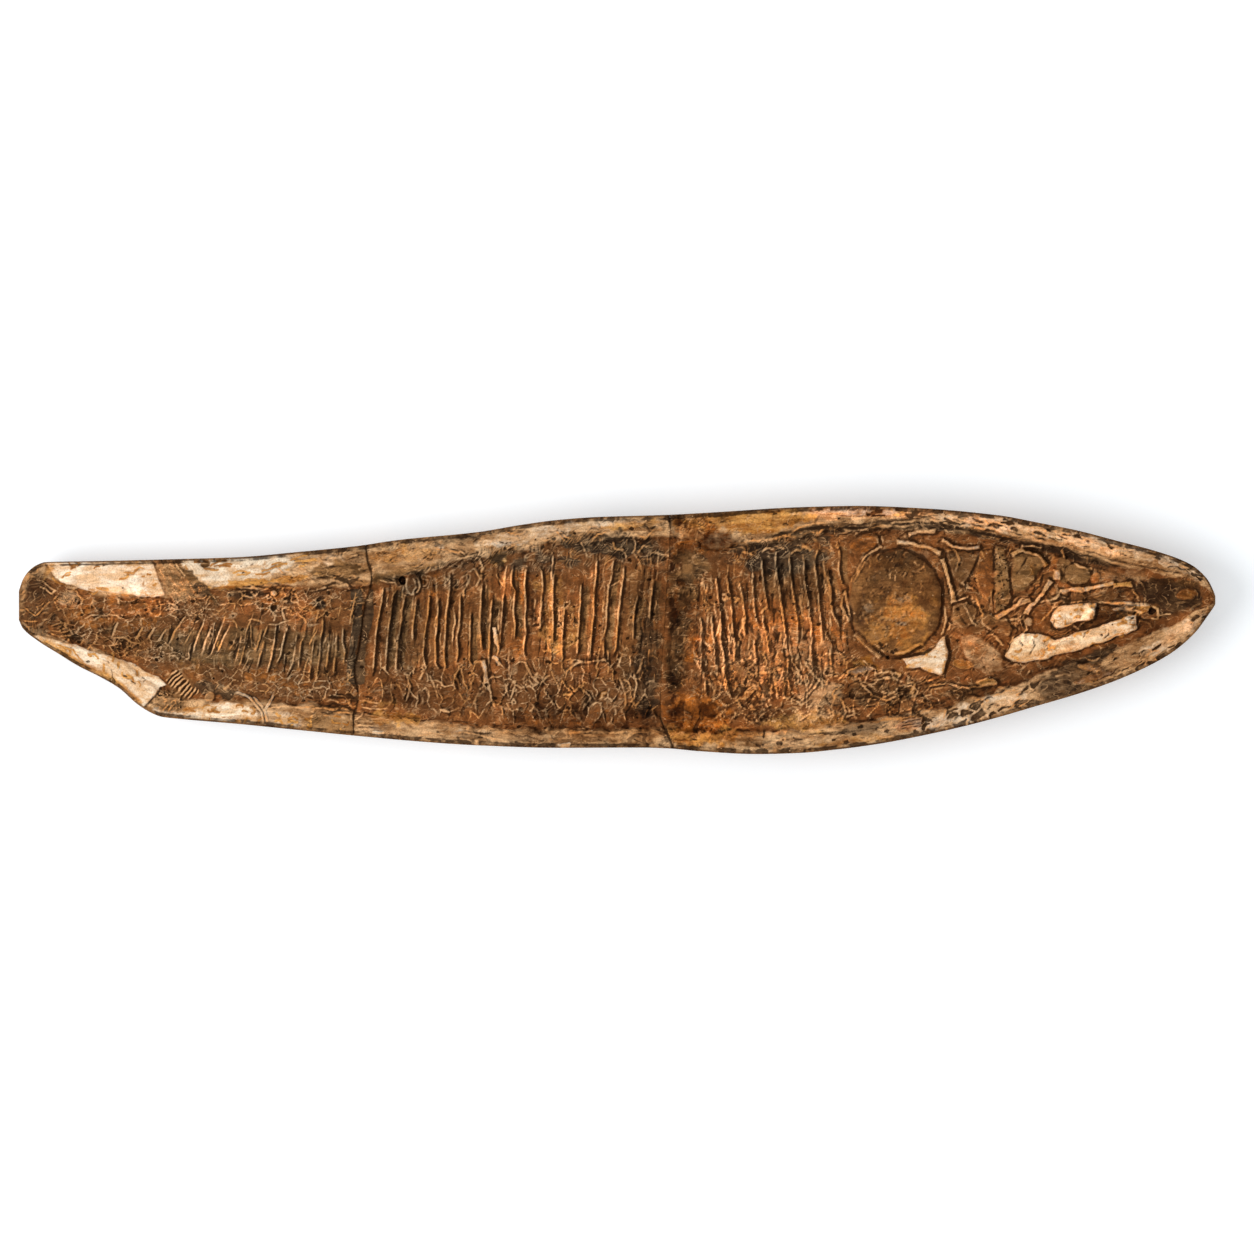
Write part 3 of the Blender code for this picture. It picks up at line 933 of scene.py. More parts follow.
@dataclass(frozen=True)
class Rays:
    """A fan of fin rays inside an outline: fine light lines that run from the root outwards."""

    outline: Path
    root: Point
    step_deg: float = 2.4
    rise: float = 0.35
    crest: float = 0.7

    def carve(self, face: SplitFace) -> None:
        """Raises the rays with pale tops, partly painted highlight, and paints shade in the gaps.

        Args:
            face: The split face.
        """
        part = face.window(self.outline, 1.5)
        if part is None:
            return
        x, y = face.wx[part], face.wy[part]
        region = ramp(inside(x, y, self.outline) + rough(x, y, 3.0, 2, Salt.RAY_EDGE), -0.5, 1.6)
        turn = np.degrees(np.arctan2(y - self.root[1], x - self.root[0])) / self.step_deg
        wave = np.cos(2 * math.pi * (turn + 0.25 * noise(x / 5.0, y / 5.0, Salt.RAY_BEND)))
        face.height[part] += self.rise * region * wave
        face.coats[Coat.PALE_AND_HIGHLIGHT][part] += self.crest * region * np.clip(wave, 0, 1)
        face.coats[Coat.SHADE_AND_DIRT][part] += self.crest * region * np.clip(-wave, 0, 1)


@dataclass(frozen=True)
class ScaleRow:
    """The row of tall flank scales: each scale shows as a light crest with painted shade in the step beside
    it.

    The side is 1 where the steps lie towards the snout and -1 where they lie towards the tail.
    """

    crests: tuple[Path, ...]
    rise: float = 0.8
    step: float = 0.85
    width: float = 0.28
    shade: float = 1.0
    side: int = 1
    olive: float = 0.0

    def carve(self, face: SplitFace) -> None:
        """Raises the crests, sinks the steps beside them and paints shade there, and gives each scale its
        own tone.

        Args:
            face: The split face.
        """
        for number, path in enumerate(self.crests):
            part = face.window(path, 4.5)
            if part is None:
                continue
            x, y = face.x[part], face.y[part]
            # The offset is 0 on the crest and grows towards the step, where the shade is painted
            line = tuple(sorted((v, u) for u, v in path))
            sway = noise(x / 6.0, y / 4.4, Salt.SCALE_SWAY + number)
            offset = self.side * (x - curve(line, y) + 0.2 * sway)
            foot, top = line[0][0], line[-1][0]
            ends = ramp(y, foot - 1.2, foot + 2.4) * ramp(y, top + 1.2, top - 2.4)
            # Each scale has a number of its own, and its crest and its step are uneven along their run
            pick = float(mixed(np.array([number]), np.array([len(path)]), Salt.SCALE_PICK)[0])
            beat = np.clip(0.72 + 1.1 * noise(x / 3.0, y / 3.0, Salt.SCALE_BEAT + number), 0.12, 1.2)
            wane = 0.7 + 0.5 * noise(x / 5.0, y / 6.5, Salt.SCALE_WANE + number)
            # The stone rises to the crest and drops away behind it
            crest = bump(offset, self.width) * ends * beat
            drop = ramp(offset, 0.2, 0.8) * ramp(offset, 3.6, 1.2) * ends
            lift = ramp(offset, -3.2, -0.3) * ramp(offset, 0.5, 0.0) * ends
            face.height[part] += self.rise * crest + self.step * (0.6 * lift - drop * wane)
            face.coats[Coat.PALE_AND_HIGHLIGHT][part] += 1.2 * crest
            # Painted shade lies in the step, and the scale behind it is olive
            dark = (0.5 + 0.6 * pick) * wane * bump(offset - 0.85, 0.5) * ends
            face.coats[Coat.SHADE_AND_DIRT][part] += self.shade * dark
            face.coats[Coat.SHADE_AND_DIRT][part] += (
                0.3 * self.shade * ramp(offset, 0.3, 1.0) * ramp(offset, 3.4, 1.6) * ends
            )
            # The slope up to each crest gets its own tone, mostly lighter: painted light on the face that
            # rises to the crest
            face.coats[Coat.TONE][part] += (0.4 * pick - 0.05) * lift
            covered = self.olive * (1.2 - pick) * ramp(offset, 0.2, 0.9) * ramp(offset, 4.4, 2.6) * ends
            face.lay(Coat.OLIVE, part, covered)


def oval(x: float, y: float, long: float, wide: float, turn_deg: float, count: int = 14) -> Path:
    """An oval outline.

    Args:
        x: Its middle along.
        y: Its middle across.
        long: Half its length.
        wide: Half its width.
        turn_deg: Its turn in degrees.
        count: How many points it has.

    Returns:
        The outline.
    """
    turn = math.radians(turn_deg)
    points = []
    for number in range(count):
        angle = 2 * math.pi * number / count
        along, across = long * math.cos(angle), wide * math.sin(angle)
        points.append((x + along * math.cos(turn) - across * math.sin(turn),
                       y + along * math.sin(turn) + across * math.cos(turn)))
    return tuple(points)


def bone(path: Path, width: float, rise: float = 1.0, coat: Coat = Coat.CREAM,
         amount: float = 0.45) -> Plate:
    """A long bone that follows a line, narrower in its middle than at its ends.

    Args:
        path: The line along its middle.
        width: Its width at its ends.
        rise: How far it stands out.
        coat: Its coat.
        amount: How thick the coat lies.

    Returns:
        The bone, as a plate.
    """
    points = np.array(path, dtype=float)
    ahead = np.gradient(points, axis=0)
    aside = np.stack((-ahead[:, 1], ahead[:, 0]), axis=1) / np.hypot(ahead[:, 0], ahead[:, 1])[:, None]
    half = 0.5 * width * (1 - 0.3 * np.sin(np.linspace(0, math.pi, len(points))))[:, None]
    outline = np.concatenate((points + half * aside, (points - half * aside)[::-1]))
    return Plate(tuple(map(tuple, outline)), rise, 0.7, coat, amount, line=0.85, lip=0.8)


def lines(paths: tuple[Path, ...], width: float, rise: float, crest: float,
          coat: Coat | None = None) -> list[Stroke]:
    """Strokes that share their width, height and coat."""
    return [Stroke(path, width, rise, crest, coat=coat) for path in paths]


# ---------------------------------------------------------------------------------------------------
# Finish
# ---------------------------------------------------------------------------------------------------

Colour = tuple[float, float, float, float]


def tint(red: int, green: int, blue: int) -> Colour:
    """A linear colour from its display values.

    Args:
        red: Red, from 0 to 255.
        green: Green, from 0 to 255.
        blue: Blue, from 0 to 255.

    Returns:
        The colour.
    """
    shares = (red / 255, green / 255, blue / 255)
    linear = [c / 12.92 if c <= 0.04045 else ((c + 0.055) / 1.055) ** 2.4 for c in shares]
    return (*linear, 1.0)


class Recipe:
    """A material's node tree, with one short method for each kind of node that the finish uses."""

    octave_share: float = 0.55

    def __init__(self, name: str) -> None:
        """Starts the material and its coordinates, which are in millimetres.

        Args:
            name: The material's name.
        """
        self.material = bpy.data.materials.new(name)
        self.material.use_nodes = True
        self.tree = self.material.node_tree
        self.shader = self.tree.nodes["Principled BSDF"]
        place = self.tree.nodes.new("ShaderNodeTexCoord")
        scaled = self.tree.nodes.new("ShaderNodeMapping")
        scaled.inputs["Scale"].default_value = (1 / MM, 1 / MM, 1 / MM)
        self.tree.links.new(place.outputs["Object"], scaled.inputs["Vector"])
        self.place = scaled.outputs["Vector"]

    def set(self, socket: bpy.types.NodeSocket, value: object) -> None:
        """Gives a socket its value.

        Args:
            socket: The socket.
            value: Another socket, which is linked to it, or a plain value.
        """
        if isinstance(value, bpy.types.NodeSocket):
            self.tree.links.new(value, socket)
        else:
            socket.default_value = value

    def stretched(self, stretch: tuple[float, float, float], turn_deg: float = 0.0) -> bpy.types.NodeSocket:
        """The coordinates drawn out along axes, after a turn about Z.

        Args:
            stretch: How long the pattern is along each axis, where 1 leaves it.
            turn_deg: The turn in degrees.

        Returns:
            The coordinates' socket.
        """
        mapping = self.tree.nodes.new("ShaderNodeMapping")
        mapping.vector_type = "TEXTURE"
        mapping.inputs["Scale"].default_value = stretch
        mapping.inputs["Rotation"].default_value = (0, 0, math.radians(turn_deg))
        self.set(mapping.inputs["Vector"], self.place)
        return mapping.outputs["Vector"]

    def noise(self, wave: float, detail: float, place: bpy.types.NodeSocket | None = None,
              twist: float = 0.0) -> bpy.types.NodeSocket:
        """Noise from 0 to 1.

        Args:
            wave: Wavelength in millimetres.
            detail: Octaves.
            place: Coordinates, or None for the plain ones.
            twist: Distortion.

        Returns:
            The noise's socket.
        """
        made = self.tree.nodes.new("ShaderNodeTexNoise")
        made.inputs["Scale"].default_value = 1 / wave
        made.inputs["Detail"].default_value = detail
        made.inputs["Roughness"].default_value = self.octave_share
        made.inputs["Distortion"].default_value = twist
        self.set(made.inputs["Vector"], place or self.place)
        return made.outputs["Fac"]

    def cells(self, wave: float, place: bpy.types.NodeSocket | None = None) -> bpy.types.NodeSocket:
        """How far the nearest of a strewn set of points is.

        Args:
            wave: How far apart the points lie, in millimetres.
            place: Coordinates, or None for the plain ones.

        Returns:
            The distance's socket, in cells.
        """
        made = self.tree.nodes.new("ShaderNodeTexVoronoi")
        made.inputs["Scale"].default_value = 1 / wave
        self.set(made.inputs["Vector"], place or self.place)
        return made.outputs["Distance"]

    def coat(self, coat: Coat) -> bpy.types.NodeSocket:
        """How thick a coat lies, from the mesh's attribute.

        Args:
            coat: The coat.

        Returns:
            The amount's socket.
        """
        made = self.tree.nodes.new("ShaderNodeAttribute")
        made.attribute_name = coat.value
        return made.outputs["Fac"]

    def sum(self, kind: str, first: object, second: object, third: object = 0.0,
            clamp: bool = False) -> bpy.types.NodeSocket:
        """A Math node.

        Args:
            kind: The operation's name.
            first: First value.
            second: Second value.
            third: Third value, for the operations that have one.
            clamp: Whether the result is held from 0 to 1.

        Returns:
            The result's socket.
        """
        made = self.tree.nodes.new("ShaderNodeMath")
        made.operation = kind
        made.use_clamp = clamp
        for socket, value in zip(made.inputs, (first, second, third)):
            self.set(socket, value)
        return made.outputs[0]

    def step(self, value: object, low: float, high: float, bottom: float = 0.0,
             top: float = 1.0) -> bpy.types.NodeSocket:
        """A smooth step from bottom at low to top at high.

        Args:
            value: What is tested.
            low: Where the step begins.
            high: Where it ends.
            bottom: The result below low.
            top: The result above high.

        Returns:
            The result's socket.
        """
        made = self.tree.nodes.new("ShaderNodeMapRange")
        made.interpolation_type = "SMOOTHSTEP"
        for name, number in (("From Min", low), ("From Max", high), ("To Min", bottom), ("To Max", top)):
            made.inputs[name].default_value = number
        self.set(made.inputs["Value"], value)
        return made.outputs["Result"]

    def blend(self, share: object, first: object, second: object, kind: str = "MIX") -> bpy.types.NodeSocket:
        """A colour mix.

        Args:
            share: How much of the second colour there is.
            first: First colour.
            second: Second colour.
            kind: The way of mixing.

        Returns:
            The mixed colour's socket.
        """
        made = self.tree.nodes.new("ShaderNodeMix")
        made.data_type = "RGBA"
        made.blend_type = kind
        made.clamp_result = False
        self.set(made.inputs["Factor"], share)
        self.set(made.inputs["A"], first)
        self.set(made.inputs["B"], second)
        return made.outputs["Result"]


@dataclass(frozen=True)
class CoatTint:
    """How one coat looks: its two colours, how ragged its edge is and how strongly it covers."""

    coat: Coat
    dark: Colour
    light: Colour
    cover: float = 0.95
    ragged: float = 0.7


@dataclass(frozen=True)
class Grounds:
    """What several steps of a stone's recipe read: noises from broad to fine, and where it is bare."""

    broad: bpy.types.NodeSocket
    large: bpy.types.NodeSocket
    middling: bpy.types.NodeSocket
    small: bpy.types.NodeSocket
    fine: bpy.types.NodeSocket
    along: bpy.types.NodeSocket
    unpolished: bpy.types.NodeSocket
    plain: bpy.types.NodeSocket


@dataclass(frozen=True)
class StoneFinish:
    """The nodule's stone: mottled brown with coats, light crests with painted highlight, painted shade in
    hollows and a fine grain.
    """

    name: str = "fossil_stone"
    bed_dark: Colour = tint(74, 42, 18)
    bed_mid: Colour = tint(130, 80, 42)
    bed_light: Colour = tint(186, 124, 72)
    bed_red: Colour = tint(146, 86, 42)
    # The crests' pale colours, which also carry the painted highlight
    crest: Colour = tint(230, 176, 122)
    warm_crest: Colour = tint(222, 150, 84)
    # The dark of the painted shade in hollows and pinholes, also used for dark dirt and dark layer lines
    hollow: Colour = tint(38, 20, 8)
    stain: Colour = tint(196, 134, 68)
    coats: tuple[CoatTint, ...] = (
        CoatTint(Coat.TAN, tint(146, 102, 62), tint(216, 170, 122), ragged=0.5),
        CoatTint(Coat.CREAM, tint(222, 178, 132), tint(253, 230, 200), ragged=0.4),
        CoatTint(Coat.OLIVE, tint(82, 55, 28), tint(152, 108, 64), ragged=0.5),
        CoatTint(Coat.OCHRE, tint(156, 94, 34), tint(224, 160, 84)),
        CoatTint(Coat.RUST, tint(118, 60, 18), tint(204, 116, 42), ragged=1.0),
        CoatTint(Coat.SOOT, tint(48, 34, 23), tint(102, 76, 50), ragged=0.8),
        CoatTint(Coat.CRUST, tint(92, 62, 36), tint(156, 112, 70), ragged=0.3),
    )
    lit: Colour = (2.3, 1.95, 1.75, 1.0)
    shadow: Colour = tint(96, 84, 76)
    warm: Colour = tint(255, 224, 176)
    cool: Colour = tint(206, 228, 255)
    speck: Colour = tint(214, 168, 122)
    broad_wave: float = 34.0
    large_wave: float = 13.0
    middling_wave: float = 4.4
    small_wave: float = 1.5
    fine_wave: float = 0.55
    crest_cover: float = 0.88
    hollow_cover: float = 0.86
    layer_lines: tuple[tuple[float, float, Colour], ...] = (
        (8.5, 0.03, hollow), (5.6, 0.03, crest), (3.4, 0.045, hollow),
    )
    stain_lines: Path = ((9.5, 0.035), (5.2, 0.05))
    roughness: tuple[float, float] = (0.62, 0.9)
    polished: float = 0.3
    gloss: float = 0.04
    relief_strength: float = 0.6
    grain_height: float = 0.16
    hairlines: float = 105.0
    speck_spacing: float = 2.6
    hole_spacing: float = 3.4

    def make(self) -> bpy.types.Material:
        """Builds the recipe.

        Returns:
            The material.
        """
        kit = Recipe(self.name)
        grounds = self.grounds(kit)
        colour = self.bed(kit, grounds)
        colour = self.coated(kit, grounds, colour)
        colour = self.layered(kit, grounds, colour)
        colour = self.relief_shading(kit, grounds, colour)
        colour = self.toned(kit, colour)
        colour = self.grained(kit, grounds, colour)
        holes = self.holes(kit, grounds)
        # The pinholes take the hollows' dark colour, as painted shade in them
        kit.set(kit.shader.inputs["Base Color"], kit.blend(holes, colour, self.hollow))
        self.surface(kit, grounds, holes)
        return kit.material

    def grounds(self, kit: Recipe) -> Grounds:
        """Makes what the other steps have in common.

        Args:
            kit: The recipe.

        Returns:
            The noises and the shares of bare stone.
        """
        unpolished = kit.sum("SUBTRACT", 1.0, kit.coat(Coat.POLISH), clamp=True)
        bare = kit.sum("SUBTRACT", 1.0, kit.sum("MULTIPLY", kit.coat(Coat.CREAM), 1.1), clamp=True)
        return Grounds(
            broad=kit.noise(self.broad_wave, 3.0),
            large=kit.noise(self.large_wave, 3.0, twist=0.5),
            middling=kit.noise(self.middling_wave, 2.6, twist=0.6),
            small=kit.noise(self.small_wave, 2.0, twist=0.3),
            fine=kit.noise(self.fine_wave, 2.0),
            along=kit.noise(self.small_wave, 3.0, kit.stretched((5.0, 1.0, 1.0)), twist=0.5),
            unpolished=unpolished,
            plain=kit.sum("MULTIPLY", unpolished, bare),
        )

    def bed(self, kit: Recipe, grounds: Grounds) -> bpy.types.NodeSocket:
        """The bed's mottled brown.

        Args:
            kit: The recipe.
            grounds: The common noises.

        Returns:
            The colour's socket.
        """
        middling = grounds.middling
        colour = kit.blend(kit.step(grounds.large, 0.36, 0.64), self.bed_mid, self.bed_red)
        colour = kit.blend(kit.step(middling, 0.54, 0.3, 0.0, 0.62), colour, self.bed_dark)
        colour = kit.blend(kit.step(middling, 0.5, 0.76, 0.0, 0.5), colour, self.bed_light)
        return kit.blend(kit.step(grounds.broad, 0.52, 0.36, 0.0, 0.25), colour, self.bed_dark)

    def coated(self, kit: Recipe, grounds: Grounds, colour: bpy.types.NodeSocket) -> bpy.types.NodeSocket:
        """Lays the coats, each with a ragged edge and two colours.

        Args:
            kit: The recipe.
            grounds: The common noises.
            colour: The colour so far.

        Returns:
            The colour's socket.
        """
        for number, look in enumerate(self.coats):
            share = kit.coat(look.coat)
            # Where the coat thins out, its edge follows the noises
            coarse = kit.sum("SUBTRACT", grounds.middling, 0.5)
            crumbs = kit.sum("SUBTRACT", grounds.small, 0.5)
            edge = kit.sum("MULTIPLY_ADD", coarse, look.ragged, share)
            edge = kit.sum("MULTIPLY_ADD", crumbs, 0.5 * look.ragged, edge)
            cover = kit.step(edge, 0.2, 0.75, 0.0, look.cover)
            cover = kit.sum("MULTIPLY", cover, kit.step(share, 0.02, 0.2))
            # Its two colours lie in patches and streaks
            own = kit.noise(7.0 + number, 3.0, kit.stretched((1.7, 1.0, 1.0)), twist=1.1)
            streaks = kit.sum("MULTIPLY", kit.sum("SUBTRACT", grounds.along, 0.5), grounds.unpolished)
            streaked = kit.sum("MULTIPLY_ADD", streaks, 0.35, own)
            streaked = kit.sum("MULTIPLY_ADD", kit.coat(Coat.GRAIN), 0.1, streaked)
            coat_colour = kit.blend(kit.step(streaked, 0.34, 0.68), look.dark, look.light)
            colour = kit.blend(cover, colour, coat_colour)
        return colour

    def layered(self, kit: Recipe, grounds: Grounds, colour: bpy.types.NodeSocket) -> bpy.types.NodeSocket:
        """Draws thin lines where one layer ends and the next begins, and ochre ones on the cream.

        Args:
            kit: The recipe.
            grounds: The common noises.
            colour: The colour so far.

        Returns:
            The colour's socket.
        """
        for wave, reach, shade in self.layer_lines:
            layer = kit.noise(wave, 1.5, kit.stretched((1.8, 1.0, 1.0), 3.0 * wave), twist=1.4)
            away = kit.sum("ABSOLUTE", kit.sum("SUBTRACT", layer, 0.5), 0.0)
            line = kit.step(away, reach, 0.0, 0.0, 0.5)
            line = kit.sum("MULTIPLY", line, kit.step(grounds.middling, 0.38, 0.6))
            colour = kit.blend(kit.sum("MULTIPLY", line, grounds.plain), colour, shade)
        for wave, reach in self.stain_lines:
            layer = kit.noise(wave, 2.0, kit.stretched((2.0, 1.0, 1.0), 2.0 * wave), twist=1.6)
            away = kit.sum("ABSOLUTE", kit.sum("SUBTRACT", layer, 0.47), 0.0)
            stain = kit.step(away, reach, 0.0, 0.0, 0.6)
            stain = kit.sum("MULTIPLY", stain, kit.step(grounds.large, 0.44, 0.58))
            colour = kit.blend(kit.sum("MULTIPLY", stain, kit.coat(Coat.CREAM)), colour, self.stain)
        return colour

    def relief_shading(self, kit: Recipe, grounds: Grounds, colour: bpy.types.NodeSocket) -> bpy.types.NodeSocket:
        """Lightens the crests, partly as painted highlight, and paints shade and dirt into the hollows.

        Args:
            kit: The recipe.
            grounds: The common noises.
            colour: The colour so far.

        Returns:
            The colour's socket.
        """
        crest = kit.sum("MULTIPLY", kit.coat(Coat.PALE_AND_HIGHLIGHT), kit.step(grounds.small, 0.3, 0.62, 0.65, 1.1))
        crest_colour = kit.blend(kit.step(grounds.large, 0.4, 0.6), self.crest, self.warm_crest)
        colour = kit.blend(kit.step(crest, 0.06, 1.1, 0.0, self.crest_cover), colour, crest_colour)
        hollow = kit.sum("MULTIPLY", kit.coat(Coat.SHADE_AND_DIRT), kit.step(grounds.small, 0.75, 0.35, 0.75, 1.1))
        return kit.blend(kit.step(hollow, 0.06, 1.15, 0.0, self.hollow_cover), colour, self.hollow)

    def toned(self, kit: Recipe, colour: bpy.types.NodeSocket) -> bpy.types.NodeSocket:
        """Shifts the colour darker or lighter and cooler or warmer, as the tones say.

        Args:
            kit: The recipe.
            colour: The colour so far.

        Returns:
            The colour's socket.
        """
        for coat, most, shade in (
            (Coat.TONE, -1.0, self.shadow), (Coat.TONE, 1.0, self.lit),
            (Coat.WARMTH, 1.0, self.warm), (Coat.WARMTH, -1.0, self.cool),
        ):
            colour = kit.blend(kit.step(kit.coat(coat), 0.0, most), colour, shade, "MULTIPLY")
        return colour

    def grained(self, kit: Recipe, grounds: Grounds, colour: bpy.types.NodeSocket) -> bpy.types.NodeSocket:
        """Adds a fine mottle, hairlines that follow each other, and light specks.

        Args:
            kit: The recipe.
            grounds: The common noises.
            colour: The colour so far.

        Returns:
            The colour's socket.
        """
        grain = kit.sum("MULTIPLY_ADD", kit.sum("SUBTRACT", grounds.fine, 0.5), 1.25, 1.0)
        grain = kit.sum("MULTIPLY_ADD", kit.sum("SUBTRACT", grounds.small, 0.5), 0.45, grain)
        flow = kit.noise(15.0, 1.0, kit.stretched((2.0, 1.0, 1.0)), twist=0.9)
        hairs = kit.sum("SINE", kit.sum("MULTIPLY", flow, self.hairlines), 0.0)
        hairs = kit.sum("MULTIPLY", hairs, kit.step(grounds.middling, 0.4, 0.62, 0.02, 0.13))
        grain = kit.sum("ADD", grain, hairs)
        mottle = kit.tree.nodes.new("ShaderNodeCombineColor")
        for socket in mottle.inputs:
            kit.set(socket, grain)
        colour = kit.blend(1.0, colour, mottle.outputs["Color"], "MULTIPLY")
        specks = kit.step(kit.cells(self.speck_spacing), 0.14, 0.06)
        specks = kit.sum("MULTIPLY", specks, kit.step(grounds.middling, 0.5, 0.6, 0.0, 0.6))
        return kit.blend(specks, colour, self.speck)

    def holes(self, kit: Recipe, grounds: Grounds) -> bpy.types.NodeSocket:
        """Where the pinholes are, which are painted dark as the shade in them.

        Args:
            kit: The recipe.
            grounds: The common noises.

        Returns:
            The socket of the pinholes' share.
        """
        holes = kit.step(kit.cells(self.hole_spacing, kit.stretched((1.5, 1.0, 1.0))), 0.16, 0.08)
        holes = kit.sum("MULTIPLY", holes, kit.step(grounds.large, 0.46, 0.56, 0.0, 0.7))
        return kit.sum("MULTIPLY", holes, grounds.plain)

    def surface(self, kit: Recipe, grounds: Grounds, holes: bpy.types.NodeSocket) -> None:
        """Sets the gloss and the finest relief.

        Args:
            kit: The recipe.
            grounds: The common noises.
            holes: The pinholes' share.
        """
        matt = kit.step(grounds.fine, 0.3, 0.7, *self.roughness)
        gloss = kit.sum("MULTIPLY", kit.coat(Coat.POLISH), self.polished, clamp=True)
        kit.set(kit.shader.inputs["Roughness"], kit.sum("SUBTRACT", matt, gloss))
        kit.shader.inputs["Specular IOR Level"].default_value = self.gloss
        relief = kit.sum("MULTIPLY_ADD", grounds.small, 0.8, kit.sum("MULTIPLY", grounds.fine, 0.6))
        relief = kit.sum("MULTIPLY_ADD", grounds.along, 0.4, relief)
        relief = kit.sum("MULTIPLY_ADD", holes, -1.2, relief)
        bumps = kit.tree.nodes.new("ShaderNodeBump")
        bumps.inputs["Strength"].default_value = self.relief_strength
        bumps.inputs["Distance"].default_value = self.grain_height * MM
        kit.set(bumps.inputs["Height"], relief)
        kit.set(kit.shader.inputs["Normal"], bumps.outputs["Normal"])


# ---------------------------------------------------------------------------------------------------
# The three blocks
# ---------------------------------------------------------------------------------------------------

@dataclass
class StoneBlock:
    """One block of the slab, from its left break or end to its right one."""

    name: str
    node: str
    columns: int
    rows: int
    left: Path | None = None
    right: Path | None = None
    left_gape: Path = ((-60, 1), (60, 1))
    right_gape: Path = ((-60, 1), (60, 1))
    plan: SlabPlan = SlabPlan()
    rim_inset: float = 1.2
    edge_rings: Path = ((0.15, 0.7), (0.55, 0.25), (1.4, 0.0))
    side_rings: int = 5
    foot_rings: Path = (
        (13.0, 0.5), (10.0, 1.2), (7.0, 2.4), (4.4, 4.1), (2.4, 6.3), (0.9, 9.0), (0.25, 12.0),
    )
    underside_step: float = 3.0
    underside_width: float = 40.0
    underside_inset: float = 15.0
    underside_wave: float = 24.0
    underside_level: float = 0.45
    underside_swing: float = 0.45
    underside_most: float = 1.6
    rim_points: int = 9
    # Painted highlight and shade from the relief: each reach with its light and dark amounts
    relief_shading: tuple[tuple[float, float, float], ...] = ((0.45, 1.7, 1.9), (1.6, 0.3, 0.35))
    lee_reach: float = 0.75
    crust_draw: float = 0.55
    crust_sway: float = 0.85
    crust_sway_wave: float = 11.0
    crust_grit: float = 0.3
    crust_grit_wave: float = 2.6
    back_offset: float = 40.0
    salt: int = 100

    def features(self) -> list[Feature]:
        """What is carved into the block's face, in order; each block has its own."""
        raise NotImplementedError

    def cage(self) -> bpy.types.Object:
        """Models the block's faces as a flat-sided box: a grid, rings down its sides and a grid beneath.

        Returns:
            The box, one unit long and wide, with a unit between its rings.
        """
        # The split face, and the rings down its sides
        bpy.ops.object.select_all(action="DESELECT")
        bpy.ops.mesh.primitive_grid_add(
            x_subdivisions=self.columns, y_subdivisions=self.rows, size=1.0, location=(0.5, 0.5, 0.0)
        )
        block = bpy.context.object
        bpy.ops.object.transform_apply(location=True, rotation=True, scale=True)
        rings = self.ring_count()
        bpy.ops.object.mode_set(mode="EDIT")
        bpy.ops.mesh.select_mode(type="EDGE")
        bpy.ops.mesh.select_all(action="SELECT")
        bpy.ops.mesh.region_to_loop()
        for _ in range(rings):
            bpy.ops.mesh.extrude_region_move(TRANSFORM_OT_translate={"value": (0, 0, -1)})
        bpy.ops.object.mode_set(mode="OBJECT")

        # The underside, and the strip that joins it to the last ring
        left, right = self.ends(np.array([0.0]))
        length = float(right[0] - left[0])
        bpy.ops.object.select_all(action="DESELECT")
        bpy.ops.mesh.primitive_grid_add(
            x_subdivisions=round(length / self.underside_step),
            y_subdivisions=round(self.underside_width / self.underside_step),
            size=1.0,
            location=(0.5, 0.5, -rings - 1.0),
        )
        bpy.ops.object.transform_apply(location=True, rotation=True, scale=True)
        block.select_set(True)
        bpy.context.view_layer.objects.active = block
        bpy.ops.object.join()
        bpy.ops.object.mode_set(mode="EDIT")
        bpy.ops.mesh.select_mode(type="EDGE")
        bpy.ops.mesh.select_all(action="DESELECT")
        bpy.ops.mesh.select_non_manifold(
            extend=False, use_wire=False, use_boundary=True, use_multi_face=False,
            use_non_contiguous=False, use_verts=False,
        )
        bpy.ops.mesh.bridge_edge_loops()
        bpy.ops.object.mode_set(mode="OBJECT")
        block.name = self.name
        block.data.name = self.name
        return block

    def rim(self, start: float, end: float, depth: Point, back: bool) -> Path:
        """A strip along the edge of the back or the belly.

        Args:
            start: Where it begins along the slab.
            end: Where it ends.
            depth: Its width at its start and at its end.
            back: Whether it runs along the back.

        Returns:
            The strip's outline.
        """
        xs = np.linspace(start, end, self.rim_points)
        edge = self.plan.back(xs) if back else self.plan.belly(xs)
        inner = edge + np.linspace(*depth, self.rim_points) * (-1 if back else 1)
        return (*zip(xs, edge), *zip(xs[::-1], inner[::-1]))

    def ring_count(self) -> int:
        """How many rings run round the block's sides."""
        return len(self.edge_rings) + self.side_rings + len(self.foot_rings)

    def ends(self, y: np.ndarray) -> tuple[np.ndarray, np.ndarray]:
        """Where the block begins and ends, half a gap short of its breaks.

        Args:
            y: Places across.

        Returns:
            The block's begin and end at each place.
        """
        plan = self.plan
        gap = plan.break_gap / 2
        left = plan.across(self.left, y) + gap if self.left else np.full_like(y, -plan.half_length)
        right = plan.across(self.right, y) - gap if self.right else np.full_like(y, plan.half_length)
        return left, right

